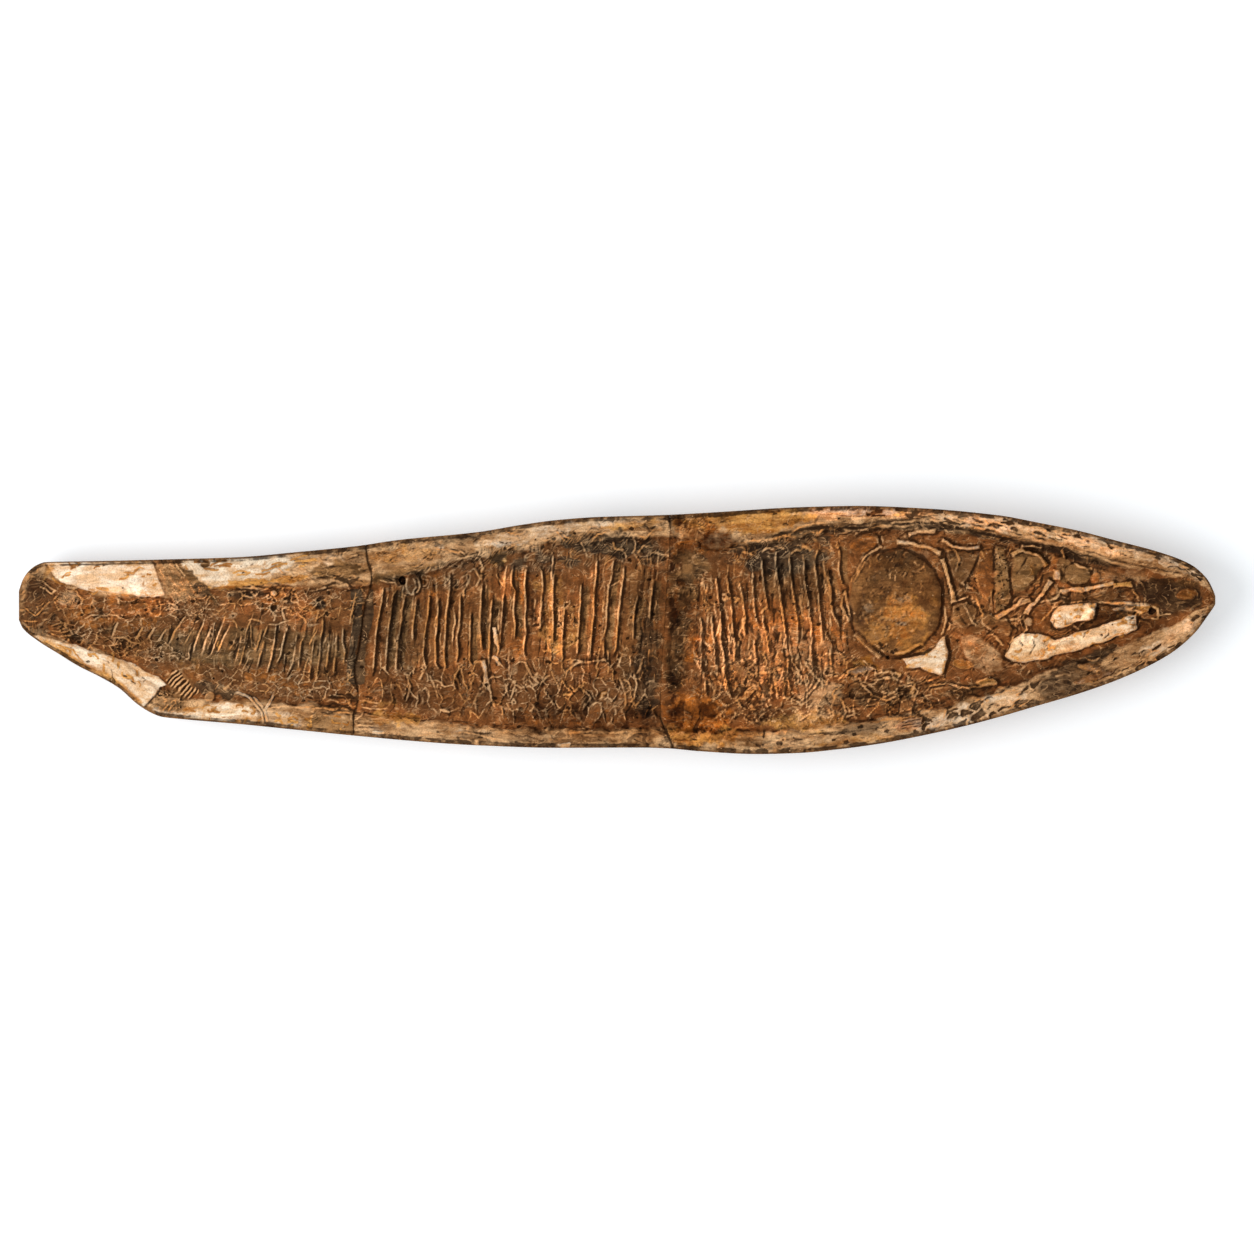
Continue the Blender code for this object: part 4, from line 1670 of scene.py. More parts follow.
    def places(self, u: np.ndarray, v: np.ndarray, inset: np.ndarray) -> tuple[np.ndarray, np.ndarray]:
        """Where the box's corners lie on the slab.

        Args:
            u: Share of the block's length.
            v: Share of its width, from the belly edge.
            inset: How far in from the plan's edge the ring lies.

        Returns:
            The places along and across, in millimetres.
        """
        plan = self.plan
        left, right = self.ends(np.zeros_like(u))
        x = left + u * (right - left)
        y = plan.belly(x) + v * (plan.back(x) - plan.belly(x))
        left, right = self.ends(y)
        x = left + u * (right - left)
        width = plan.back(x) - plan.belly(x)
        drawn = inset * np.minimum(1.0, width / plan.full_hull_width)
        y = plan.belly(x) + drawn + v * (width - 2 * drawn)
        free = np.zeros_like(u)
        if not self.left:
            free = np.maximum(free, 1 - u)
        if not self.right:
            free = np.maximum(free, u)
        return x * (1 - inset / plan.half_length * free), y

    def carved(self) -> SplitFace:
        """Carves the split face.

        Returns:
            The face with its height and its coats.
        """
        steps = (np.linspace(0, 1, self.columns + 1), np.linspace(0, 1, self.rows + 1))
        u, v = np.meshgrid(*steps, indexing="ij")
        edge = np.minimum(v, 1 - v)
        inset = self.rim_inset + 0.5 * noise(u * 40, (v > 0.5) * 9.0, self.salt) * ramp(edge, 0.12, 0.0)
        x, y = self.places(u, v, inset)
        bent_x = x + 1.2 * noise(x / 9, y / 9, Salt.BED_X)
        bent_y = y + 1.3 * rough(x, y, 9.0, 3, Salt.BED_Y)
        height, rim = self.plan.bed(bent_x, bent_y)
        face = SplitFace(x, y, height, rim)
        self.stone_surface(face)
        for feature in self.features():
            feature.carve(face)
        self.shade_relief(face)
        return face

    def stone_surface(self, face: SplitFace) -> None:
        """Gives the plain stone its unevenness, the rim its streaks and the bed its lumps.

        Args:
            face: The split face.
        """
        x, y, rim = face.x, face.y, face.rim
        from_edge = np.minimum(y - self.plan.belly(x), self.plan.back(x) - y)
        lean = np.where(y > 0, self.plan.back(x), self.plan.belly(x))
        run = x / 9.0 + 0.3 * noise(x / 14, y / 14, Salt.RIM_BEND)
        streaks = rough(run, y - lean, 1.6, 3, Salt.RIM_STREAKS)
        face.coats[Coat.GRAIN] += streaks
        face.coats[Coat.TAN] += rim
        face.height += 0.35 * rough(x, y, 14.0, 3, Salt.SWELL)
        face.height += rim * (0.1 * streaks + 0.1 * rough(x, y, 4.2, 2, Salt.RIM_LUMPS))
        lumps, grit = rough(x, y, 5.5, 2, Salt.BED_LUMPS), rough(x, y, 1.7, 2, Salt.BED_GRIT)
        face.height += (1 - rim) * (0.4 * lumps + 0.08 * grit)
        face.height -= 0.7 * bump(from_edge - self.rim_inset, 0.9)

    def shade_relief(self, face: SplitFace) -> None:
        """Paints highlight on what stands proud, and shade on what lies low, behind a ridge or along the
        edge.

        Args:
            face: The split face.
        """
        # Painted highlight on what stands proud of its surroundings, and painted shade on what lies below
        # them
        step = float(np.median(np.diff(face.x[:, face.x.shape[1] // 2])))
        for reach, light, dark in self.relief_shading:
            proud = face.height - blurred(face.height, reach / step)
            face.coats[Coat.PALE_AND_HIGHLIGHT] += light * np.clip(proud - 0.04, 0, 0.5)
            face.coats[Coat.SHADE_AND_DIRT] += dark * np.clip(-proud - 0.03, 0, 0.6)
        x, y = face.x, face.y
        # Painted shade along the slab's edge, broken up by noise
        away = np.minimum(y - self.plan.belly(x), self.plan.back(x) - y) - self.rim_inset
        shade_breaks = ramp(noise(x / 5, y / 5, Salt.EDGE_SHADE_BREAKS), -0.6, 0.25)
        shade_spread = ramp(rough(x, y, 5.0, 2, Salt.EDGE_SHADE_SPREAD), 0.25, 0.6)
        face.coats[Coat.SHADE_AND_DIRT] += 1.1 * bump(away, 0.42) * shade_breaks
        face.coats[Coat.SHADE_AND_DIRT] += 0.7 * bump(away - 0.35, 0.5) * shade_spread
        # Painted shadow in the lee of each ridge, on its side away from the light
        behind = max(1, round(self.lee_reach / step))
        lee = np.zeros_like(face.height)
        lee[behind:] = face.height[:-behind] - face.height[behind:]
        face.coats[Coat.SHADE_AND_DIRT] += 0.6 * np.clip(lee - 0.15, 0, 0.8)
        # The breaks, worn down and dark along their lines: dark filler, and painted shade in the groove
        for line, opening in ((self.left, self.left_gape), (self.right, self.right_gape)):
            if line:
                away = np.abs(face.x - self.plan.across(line, face.y))
                gape = curve(opening, face.y)
                face.height -= 0.55 * gape * bump(away, 0.5)
                face.coats[Coat.SHADE_AND_DIRT] += 1.1 * gape * bump(away, 0.4)

    def ring_place(self, number: int, level: np.ndarray) -> tuple[np.ndarray, float]:
        """How high a ring runs, and how far in from the plan's edge.

        Args:
            number: The ring's number, counted down from the face.
            level: The rim's height at each of the ring's corners.

        Returns:
            The height at each corner, and the ring's inset.
        """
        edges = len(self.edge_rings)
        if number <= edges:
            drop, inset = self.edge_rings[number - 1]
            return level - drop, inset
        if number <= edges + self.side_rings:
            lowest, drawn = self.foot_rings[0]
            share = (number - edges) / (self.side_rings + 1)
            top = level - self.edge_rings[-1][0]
            return top + share * (lowest - top), share * drawn
        foot, inset = self.foot_rings[number - edges - self.side_rings - 1]
        return np.full_like(level, foot), inset

    def shape(self, block: bpy.types.Object) -> None:
        """Moves the box's corners to their places and keeps the coats as attributes.

        Args:
            block: The box from cage.
        """
        mesh = block.data
        count = len(mesh.vertices)
        flat = np.empty(3 * count)
        mesh.vertices.foreach_get("co", flat)
        u, v, depth = flat.reshape(-1, 3).T
        # Each corner's ring, and its column and row on the carved face
        ring = np.rint(-depth).astype(int)
        rings = self.ring_count()
        face = self.carved()
        i = np.clip(np.rint(u * self.columns), 0, self.columns).astype(int)
        j = np.clip(np.rint(v * self.rows), 0, self.rows).astype(int)
        x, y, z = face.x[i, j], face.y[i, j], face.height[i, j]

        level = self.plan.level(x)
        side = ring > 0
        inset, height = np.zeros(count), np.zeros(count)
        for number in range(1, rings + 1):
            here = ring == number
            height[here], inset[here] = self.ring_place(number, level[here])
        under = ring == rings + 1
        inset[under] = self.underside_inset
        # Low on the sides the crust is uneven, and the underside swells a little
        run = x + self.back_offset * (y > 0)
        sway = rough(run, 2.2 * height + 7, self.crust_sway_wave, 3, self.salt + 3)
        grit = rough(run, 2.0 * height + 3, self.crust_grit_wave, 2, self.salt + 4)
        low = ramp(level - height, 1.5, 8.0) * side * ~under
        inset += low * (self.crust_draw + self.crust_sway * sway + self.crust_grit * grit)
        sx, sy = self.places(u, v, inset)
        x, y = np.where(side, sx, x), np.where(side, sy, y)
        z = np.where(side, np.minimum(height, z - 0.05 * ring), z)
        swing = self.underside_swing * rough(x, y, self.underside_wave, 3, self.salt + 5)
        z = np.where(under, np.clip(self.underside_level + swing, 0.0, self.underside_most), z)
        flat = np.stack([x, y, z], axis=1).ravel() * MM
        mesh.vertices.foreach_set("co", flat)
        mesh.update()
        self.keep_coats(mesh, face, i, j, ring)

    def keep_coats(self, mesh: bpy.types.Mesh, face: SplitFace, i: np.ndarray, j: np.ndarray,
                   ring: np.ndarray) -> None:
        """Keeps the coats as attributes of the mesh, gives the sides their crust, and paints shade just
        under the face.

        Args:
            mesh: The block's mesh.
            face: The carved face.
            i: Each corner's column.
            j: Each corner's row.
            ring: Each corner's ring, which is 0 on the face.
        """
        for coat, values in face.coats.items():
            own = values[i, j] * np.clip(1 - ring / 4, 0, 1)
            if coat is Coat.CRUST:
                own = np.clip(ring / 2, 0, 1)
            # The upper rings of the sides get painted shade
            if coat is Coat.SHADE_AND_DIRT:
                own = np.maximum(own, 0.5 * ((ring > 0) & (ring < 5)))
            attribute = mesh.attributes.new(coat.value, "FLOAT", "POINT")
            attribute.data.foreach_set("value", own.astype(np.float32))

    def build(self, finish: bpy.types.Material) -> bpy.types.Object:
        """Models, carves and dresses the block.

        Args:
            finish: The stone's material.

        Returns:
            The finished piece.
        """
        block = self.cage()
        self.shape(block)
        bpy.ops.object.mode_set(mode="EDIT")
        bpy.ops.mesh.select_all(action="SELECT")
        bpy.ops.mesh.normals_make_consistent(inside=False)
        bpy.ops.object.mode_set(mode="OBJECT")
        bpy.ops.object.shade_smooth()
        block.data.materials.append(finish)
        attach(block, "root")
        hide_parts(self.node)
        LOG.info("%s: %d faces", self.name, len(block.data.polygons))
        return block


@dataclass
class TailBlock(StoneBlock):
    """The tail block: a stub, pale rims on both sides, the fin roots and the slender end of the flank."""

    name: str = "tail_stone"
    node: str = "tail_block"
    columns: int = 380
    rows: int = 190
    right: Path | None = SlabPlan.tail_break

    stub: Path = (
        (-223, -4), (-213, -4), (-209, 0), (-207.4, 5), (-207, 11), (-209, 17), (-211.6, 27), (-223, 27),
    )
    upper_rim: Path = (
        (-212, 27), (-208.5, 20.5), (-205, 17.6), (-200, 15.6), (-196, 14.2), (-184, 13.4), (-172, 12),
        (-167, 12.8), (-168.5, 17), (-173, 28),
    )
    upper_facet: Path = ((-173.5, 24.5), (-170, 19), (-167, 13), (-171.5, 12.5), (-175.5, 16), (-176, 21))
    fin_wedge: Path = (
        (-172.5, 28), (-170.6, 21.5), (-168, 17), (-166.8, 12.5), (-160, 10), (-150, 13.5), (-151.5, 16.5),
        (-157, 18.6), (-160.6, 22), (-163.5, 28),
    )
    upper_band: Path = (
        (-163, 28), (-158.5, 20.6), (-154.5, 18.6), (-150, 16.4), (-147, 15.6), (-143, 15.8), (-132, 18.4),
        (-121, 22), (-118, 25), (-121, 27.5), (-130, 29), (-150, 29),
    )
    lower_rim: Path = (
        (-216, -2), (-213, -2.4), (-200, -5.4), (-187, -9.6), (-178, -12.5), (-175.6, -14.8), (-169, -17.4),
        (-166.3, -20), (-169, -21.2), (-170.6, -24.5), (-173.6, -27.8), (-177, -31), (-222, -12),
    )
    lower_edge: Path = (
        (-209, -6.4), (-203, -10), (-197, -13.4), (-190, -17), (-184, -20.6), (-178, -26), (-173.6, -29.4),
    )
    anal_fin: Path = (
        (-166.5, -20), (-165.5, -16.6), (-162, -14.6), (-158, -15.6), (-154.6, -18.6), (-156, -23),
        (-161, -30.4), (-166, -31.4), (-170.5, -28.5), (-171.5, -25), (-168.5, -21.6),
    )
    fin_comb: Path = (
        (-167.4, -18.4), (-163.4, -14.4), (-158.4, -18), (-154.4, -22.6), (-157.4, -26.6), (-162, -24.2),
    )
    lower_patch: Path = (
        (-161, -31.5), (-156, -28.6), (-150, -26.9), (-144, -26.5), (-139, -27.4), (-134, -28.8),
        (-132, -31), (-133.5, -36), (-160, -34.5),
    )
    flank: Path = (
        (-212, 2), (-205, 13.5), (-180, 12), (-165, 10), (-148, 12), (-140, 14.5), (-92, 16), (-94, -24),
        (-110, -27), (-128, -27), (-142, -24), (-150, -22), (-157, -16), (-178, -11), (-205, -3.5),
    )
    scales: Path = ((-172, -1), (-160, 3), (-150, 4), (-94, 4), (-94, -15), (-150, -13), (-164, -11))
    above: Path = (
        (-208, 13), (-168, 12), (-144, 14), (-92, 17), (-92, 4), (-144, 6), (-165, 1), (-190, 2), (-208, 5),
    )
    below: Path = (
        (-208, 3), (-168, -2), (-152, -13), (-94, -15), (-94, -28), (-150, -23), (-160, -12), (-178, -11),
        (-205, -4),
    )

    def features(self) -> list[Feature]:
        """What is carved into the tail block's face.

        Returns:
            The features, in the order they are carved.
        """
        return [
            *self.bed(), *self.pale_rims(), *self.fins(), *self.flank_scales(), *self.bones(),
            *self.small_marks(),
        ]

    def bed(self) -> list[Feature]:
        """The bed's layers, nets and stains, and the dark stub at the end.

        Returns:
            The features, in the order they are carved.
        """
        return [
            Patch(self.flank, Coat.WARMTH, -0.6, 3.0),
            Patch(self.flank, Coat.TAN, 0.2, 3.0, 2.5),
            Stains(Coat.RUST, (
                (-186, 6, 20, 7, 0, 0.4), (-122, 10, 20, 4, -4, 0.4), (-120, -18, 20, 4, -6, 0.4),
            ), 3.0, 3.0),
            Stains(Coat.TONE, (
                (-184, 8, 22, 6, 0, 0.35), (-180, -1, 6, 4, 0, -0.25), (-110, 24, 9, 4, 4, 0.2),
                (-126, 9, 20, 6, -3, 0.4), (-150, -1, 14, 6, -20, 0.3),
            ), 3.0),
            Combed(self.scales, 80, 1.6, 7, 0.2, 0.35, salt=207),
            CellNet(self.above, (5.0, 3.6), 8, 0.4, 0.05, 0.7, 0.5, kept=0.75, salt=208),
            CellNet(self.below, (4.4, 3.2), -4, 0.4, 0.05, 0.7, 0.5, kept=0.75, salt=210),
            Layers(self.above, 4.8, 2.2, 1.7, 8, 0.15, 0.25, 0.4, 0.3, salt=221),
            Layers(self.below, 4.6, 2.3, 1.7, 4, 0.15, 0.25, 0.4, 0.3, salt=223),
            CellNet(oval(-197, -1.6, 15, 4.6, -14), (3.6, 2.8), 12, 0.4, crest=0.6, kept=0.7,
                    open_share=0.14, salt=201),
            CellNet(oval(-174, -8.4, 13, 4.4, -8), (1.9, 1.5), 0, 0.3, crest=0.5, tones=0.6, open_share=0.12,
                    salt=202),
            CellNet(oval(-156, 8, 13, 4, -6), (1.5, 1.3), 10, 0.25, crest=0.45, tones=0.5, kept=0.7,
                    salt=203),
            CellNet(oval(-119, 9, 15, 6, -4), (3.0, 2.6), 10, 0.35, crest=0.5, tones=0.5, kept=0.8,
                    open_share=0.14, salt=204),
            Shards(self.above, 70, 60, 60, (1.5, 4.0), 0.5, (0.4, 0.6), 0.3, salt=261),
            Shards(self.below, 70, 70, 50, (1.5, 4.5), 0.4, (0.4, 0.6), 0.3, salt=263),
            Shards(self.scales, 60, 76, 10, (3, 10), 0.06, (0.4, 0.55), 0.35, (0.4, 1.0), 0.35, 266),
            Shards(((-140, 16), (-96, 20), (-96, 15), (-140, 13)), 30, 4, 14, (4, 10), dark_share=0.6,
                   salt=264),
            Shards(((-112, -24), (-94, -24), (-94, -32), (-112, -30)), 26, -2, 12, (4, 9), dark_share=0.6,
                   salt=265),
            Stains(Coat.OLIVE, ((-134, -6.4, 36, 7.6, -2, 0.62), (-164, -5.6, 9, 6, -30, 0.5))),
            Stains(Coat.SOOT, (
                (-137, 13.4, 7, 2, 0, 0.7), (-160, -6, 6, 4.6, -30, 0.45), (-110, 10, 1.8, 2.4, 20, 0.9),
                (-119, 10, 6, 4, 0, 0.36), (-149, -22, 8, 3, -16, 0.66), (-171, -14.4, 5, 1.6, -20, 0.5),
            ), 1.0, 1.2),
            Plate(((-98.6, 16), (-94, 15), (-94, 0), (-96.4, -8), (-94.6, -14), (-96, -21), (-100, -20),
                   (-99, -8), (-98, 2)), 0.2, 0.7, Coat.SOOT, 1.0, line=0.4, clean=False),
            Stains(Coat.SHADE_AND_DIRT, (
                (-96, -8, 13, 2.4, 84, 0.3), (-189, 0, 2, 2.4, 0, 0.5), (-121, 13.2, 1.2, 1.2, 0, 0.6),
                (-207, 3, 2.2, 3.2, 20, 0.3),
            ), 0.8, 0.8),
            Stains(Coat.TONE, ((-105, -8, 7, 11, 0, -0.3), (-100, 27, 7, 3.6, 0, -0.3))),
            Patch(self.stub, Coat.SOOT, 0.52, 1.0, 1.4),
            Stains(Coat.TONE, ((-214, 17, 5, 4.6, 0, -0.35), (-216, 8, 6, 8, 0, -0.15))),
            Layers(self.stub, 6.0, 1.8, 1.6, 60, 0.22, 0.3, 0.5, 0.4, 1.0, salt=225),
            Shards(self.stub, 26, 60, 60, (1.5, 5), 0.6, (0.4, 0.6), 0.3, (0.2, 0.6), 0.4, 267),
            Stroke(((-219.4, 4.4), (-219.8, 9), (-219.4, 13.6), (-217.6, 18.6), (-212, 24.4)), 1.5, 0.15,
                   0.45, 0, Coat.TAN),
            CellNet(oval(-203, 11.4, 5.4, 3.6, 0), (0.9, 0.8), 0, 0.25, crest=0.7, salt=205),
            Stains(Coat.TAN, ((-203, 11.4, 4.6, 2.8, 0, 0.5),), 1.0, 1.0),
        ]

    def pale_rims(self) -> list[Feature]:
        """The cream rims above and below the tail, stained ochre along their edges.

        Returns:
            The features, in the order they are carved.
        """
        ochre = {"rise": 0.1, "crest": (0.0, 0.2), "dark_share": 0.0, "coat": Coat.OCHRE}
        return [
            Plate(self.upper_rim, 0.8, 1.0, Coat.CREAM, 1.0, line=0.28, lip=0.1),
            Patch(self.upper_rim, Coat.WARMTH, -0.3),
            Patch(self.upper_rim, Coat.TONE, 0.22),
            Plate(self.upper_facet, -0.3, 0.9, Coat.CREAM, 1.0, line=0.0, lip=0.5),
            Shards(self.upper_rim, 26, 12, 30, (1.5, 5.0), 0.5, (0.4, 0.6), salt=271, **ochre),
            Plate(self.upper_band, 0.5, 3.0, Coat.CREAM, 0.95, line=0.12, tone=-0.26),
            Patch(self.upper_band, Coat.TAN, 0.9, 3.0, 0.8),
            Layers(((-124, 28), (-92, 31), (-92, 17), (-124, 19)), 5.0, 2.2, 2.6, 8, 0.14, 0.35, 0.4, 0.35,
                   salt=227),
            Shards(((-158, 26), (-112, 28), (-112, 18), (-148, 17)), 30, 4, 14, (2, 8), 0.2, (0.4, 0.6),
                   salt=272, **ochre),
            Shards(((-112, 29), (-94, 30), (-94, 18), (-112, 18)), 30, 6, 16, (2, 7), 0.3, (0.4, 0.6), 0.2,
                   (0.2, 0.6), 0.6, 273),
            Plate(self.lower_rim, 0.8, 1.0, Coat.CREAM, 0.95, line=0.25, lip=0.1),
            Shards(self.lower_rim, 40, -58, 24, (1.5, 4.6), 0.7, (0.4, 0.8), salt=274, **ochre),
            Stroke(self.lower_edge, 2.6, -0.2, 0.2, 0, Coat.OCHRE),
            Plate(self.lower_patch, 0.5, 2.0, Coat.CREAM, 0.82, line=0.12),
            Patch(self.lower_patch, Coat.TAN, 0.9, 2.0, 0.8),
            Shards(self.rim(-160, -98, (6, 7), False), 60, 6, 50, (1.0, 4.0), 0.6, (0.4, 0.7), salt=275,
                   **ochre),
            Stains(Coat.CREAM, (
                (-113, 25, 14, 4.6, 6, 0.36), (-125, -33, 10, 3.6, -4, 0.42), (-168, -31.4, 10, 2, 0, 0.6),
            )),
            Stains(Coat.OCHRE, (
                (-189, 14, 16, 0.9, -4, 0.34), (-210.4, 21.4, 5, 1.2, 64, 0.6),
                (-131, 17.6, 19, 1.2, 7, 0.9), (-209, -6, 7, 1.6, -20, 0.6), (-139, -32.6, 8, 1.6, -4, 0.5),
                (-157, -29, 4, 1.2, 10, 0.6),
            ), 0.8, 1.2),
            Stains(Coat.RUST, ((-143, 15.8, 5, 0.8, 0, 0.5),), 0.8, 0.8),
            Stains(Coat.OLIVE, ((-103, 21.6, 11, 3.2, 3, 0.8), (-106, -34.6, 10, 4, 0, 0.6)), 1.6, 2.0),
            Stains(Coat.SOOT, ((-94, 29.4, 2.4, 2.2, 0, 0.5),)),
        ]

    def fins(self) -> list[Feature]:
        """The wedge of the back fin's root and the combed root of the anal fin.

        Returns:
            The features, in the order they are carved.
        """
        return [
            Plate(self.fin_wedge, 0.25, 1.6, Coat.OLIVE, 0.5, line=0.1),
            Patch(self.fin_wedge, Coat.TAN, 0.7, 1.0, 1.6),
            Patch(self.fin_wedge, Coat.TONE, 0.2),
            CellNet(self.fin_wedge, (1.0, 0.9), 0, 0.16, crest=0.45, tones=0.35, kept=0.6, salt=206),
            Combed(self.fin_wedge, -50, 1.1, 6, 0.16, 0.4, 1.0, salt=226),
            Stains(Coat.OLIVE, ((-155, 17, 9.6, 2, -42, 0.75),), 0.8, 1.0),
            Stains(Coat.SOOT, ((-153.4, 14.8, 4.6, 2, -34, 0.66),), 0.8, 0.8),
            Patch(self.anal_fin, Coat.OLIVE, 0.55, 1.2, 2.0),
            Combed(oval(-154, -17, 7, 5, -50), -50, 1.4, 6, 0.2, 0.35, 2.0, salt=229),
            Stains(Coat.OCHRE, ((-155, -16, 8, 5, -40, 0.34),)),
            Rays(self.fin_comb, (-139, 5), 2.5, 0.5, 1.2),
            CellNet(oval(-166, -26.4, 5.6, 4.4, -40), (1.8, 1.2), 55, 0.4, crest=0.6, tones=0.5,
                    open_share=0.22, salt=209),
        ]

    def flank_scales(self) -> list[Feature]:
        """The tall scales of the flank: slanted at the tail, upright near the break.

        Returns:
            The features, in the order they are carved.
        """
        slanted = (
            ((-184, 3.2), (-186.6, -2.6)), ((-175, 1.2), (-177.8, -3.4)), ((-170.8, 0.8), (-173.6, -3.6)),
            ((-166.4, 0.4), (-169.2, -3.6)), ((-159.2, 5.4), (-161.4, 2), (-163.2, -0.4), (-165.2, -4.8)),
            ((-155.8, 1.2), (-157.4, -1), (-159.8, -5.4)),
            ((-152.2, 4), (-153.4, 0.6), (-154.4, -1.6), (-156.6, -7.4)),
            ((-149.4, 2), (-151.2, -2.4), (-152.4, -5.6), (-153.6, -9)),
            ((-144.6, 5.2), (-146, 1), (-148, -4), (-150.2, -9.8)),
            ((-142, 3.8), (-143.6, 0), (-145.6, -3.8), (-147.4, -8.6)),
            ((-138.4, -2), (-139.6, -7), (-140.8, -12)),
        )
        upright = (
            ((-136, 2), (-136.4, -1), (-137.4, -6), (-139.4, -13.4)),
            ((-130.6, -4), (-131.4, -8), (-133, -14)), ((-129, 1.8), (-130.6, -2.4)),
            ((-126, 1.4), (-126.4, -3), (-127.4, -9), (-129.4, -16)),
            ((-121.4, 2), (-122.8, -2), (-123.8, -6), (-124.2, -9), (-126, -13)),
            ((-118.4, -1), (-118.8, -6), (-119.8, -12), (-122, -17)),
            ((-115, 2), (-115.6, -2.4), (-116.8, -5), (-117.2, -9), (-117.6, -14)),
            ((-111.6, -2.6), (-112.4, -6), (-112.9, -12), (-113.8, -18)),
            ((-108.8, 5), (-108.6, 1), (-109.4, -2.6), (-109.8, -9), (-111, -18)),
            ((-106.4, 1), (-106.4, -5), (-107, -10), (-108, -18)),
            ((-103.6, -1), (-103.8, -7), (-104.4, -12), (-104.8, -18)),
            ((-101.2, 1), (-101.4, -3.6), (-100.6, -8), (-101, -13)), ((-96.9, 11), (-98, 6), (-98.8, 1)),
        )
        return [
            ScaleRow(slanted, 0.45, 0.45, 0.22, 0.8, -1, 0.5),
            ScaleRow(upright, 0.45, 0.5, 0.22, 0.8, olive=0.5),
        ]

    def bones(self) -> list[Feature]:
        """Plates and loops that stand out of the tail's flank, and the forked ray below it.

        Returns:
            The features, in the order they are carved.
        """
        return [
            Plate(oval(-179, 7.6, 8, 2.4, 3), 0.5, 1.0, Coat.RUST, 0.3, lip=0.4, line=0.5, tone=0.1),
            Plate(oval(-193.4, 6.6, 2.8, 1.2, 0), 0.3, 0.8, line=0.9, tone=-0.3),
            Plate(oval(-126.8, 13.8, 1.4, 1.2, 0), 0.8, 0.7, Coat.CREAM, 0.6, lip=0.6),
            Plate(oval(-150.6, -24.6, 2.2, 1.6, 20), 0.5, 0.7, Coat.TAN, 1.0, lip=0.5, line=0.4),
            *lines((
                ((-219.2, 8.4), (-217, 6.4), (-214.4, 5.4)), ((-214.4, 5.2), (-211.6, 8), (-209.4, 11)),
                ((-218, 18), (-216.8, 21)), ((-213.6, 16.4), (-210.6, 14.6), (-208.2, 12.6)),
                ((-212.6, 18.4), (-209.6, 15.6), (-207, 14)), ((-219.6, 3.2), (-216, 3.2), (-213.4, 3.4)),
                ((-204, 14.8), (-200, 14), (-197.4, 11.4), (-197.6, 9)),
                ((-211, 15.6), (-209, 13), (-206.6, 14.6)),
                ((-209.8, 1.6), (-205.6, 2.6), (-203.4, 1), (-206, -0.6), (-209.6, -0.2)),
                ((-210, -1), (-206, -2.6), (-201, -1.6), (-198.6, -2.4), (-195.6, -0.8)),
                ((-205, 3), (-202, 0.4), (-200.4, -2.6)), ((-114, -29.6), (-108, -28.6), (-103, -29.4)),
                ((-168, -30), (-165.6, -27.4)), ((-166, -30.4), (-164.4, -28)),
                ((-163.6, 25), (-161, 22), (-159.4, 19.6)),
            ), 0.55, 0.35, 0.8),
            *lines((
                ((-194, 3), (-190.5, 5.4), (-185, 5.6), (-182.5, 4)),
                ((-197, 3.4), (-194, 5.2), (-190, 5.8)),
                ((-186.4, -2.8), (-182, -3.4), (-179.4, -4.8), (-175, -5)), ((-186.8, -2.8), (-184.2, 3.4)),
                ((-177.6, -3.6), (-174.8, 1.6)), ((-173.4, -3.8), (-170.6, 1)),
                ((-169, -3.7), (-166.2, 0.6)),
                ((-134.8, 2.4), (-135.2, -3), (-134.8, -6.6), (-133.9, -7.9), (-132.9, -6), (-131.6, -2.8)),
                ((-136.4, 3), (-134.6, 3.6), (-131.8, 3.4), (-130.6, 1.6)),
                ((-151.4, -2.6), (-150.6, -0.8), (-149.2, -2)), ((-117.7, 4.9), (-116, 4.2), (-115, 2)),
                ((-129, 2.2), (-126, 1.8), (-123, 2.8), (-120, 3.4)),
                ((-127.6, -6.8), (-125.6, -7), (-123.8, -6.4)), ((-141.4, 15), (-136.4, 15.3), (-131, 15.8)),
                ((-135, 14.6), (-133.6, 13)), ((-126, 6), (-126.8, 3)), ((-123.4, 8), (-122.4, 3.4)),
                ((-128.4, 9), (-126.6, 5)), ((-121.4, 12), (-122.8, 10.4), (-120, 10.8)),
                ((-142.4, 4), (-141, 2.6), (-140.4, 0.8)), ((-125.4, 23.4), (-123.4, 20.6)),
                ((-130, -28.6), (-116, -28.4), (-106, -29), (-98, -29)),
            ), 0.65, 0.5, 0.95),
            *lines((
                ((-141.8, -22.8), (-139, -23.4), (-135.6, -25), (-133, -28), (-131.2, -30), (-130.4, -34.6)),
                ((-134.6, -24.6), (-131, -28), (-130.2, -30)),
                ((-126.6, -23.4), (-128.6, -27), (-130, -29.4), (-129, -34.4)),
            ), 0.7, 0.6, 1.2, coat=Coat.CREAM),
            *lines((
                ((-146.6, -4), (-147.6, -6), (-146.8, -7.2), (-146, -5)),
                ((-207, -5.4), (-201, -7.4), (-196, -12.6)), ((-190, -12), (-189.4, -16), (-186.4, -19.4)),
                ((-183, 21.6), (-178.6, 21), (-176, 23), (-174, 22)),
                ((-209, 20), (-206.6, 17.6), (-203, 16.6)),
            ), 0.55, 0.15, 0.3, coat=Coat.OCHRE),
            *lines((
                ((-103, -23.8), (-97.6, -24)), ((-107.6, -13.4), (-107.8, -16.6)),
                ((-96.8, -28.6), (-96.9, -39)), ((-92.6, 31), (-92, 26), (-90.6, 21.4)),
                ((-112, 18.8), (-104, 19.8), (-99.6, 18.6), (-98, 15.6)),
                ((-209, -6.6), (-199, -12.6), (-190, -17.2), (-183.6, -20.8), (-177, -26.8)),
            ), 0.6, -0.5, 1.1),
        ]

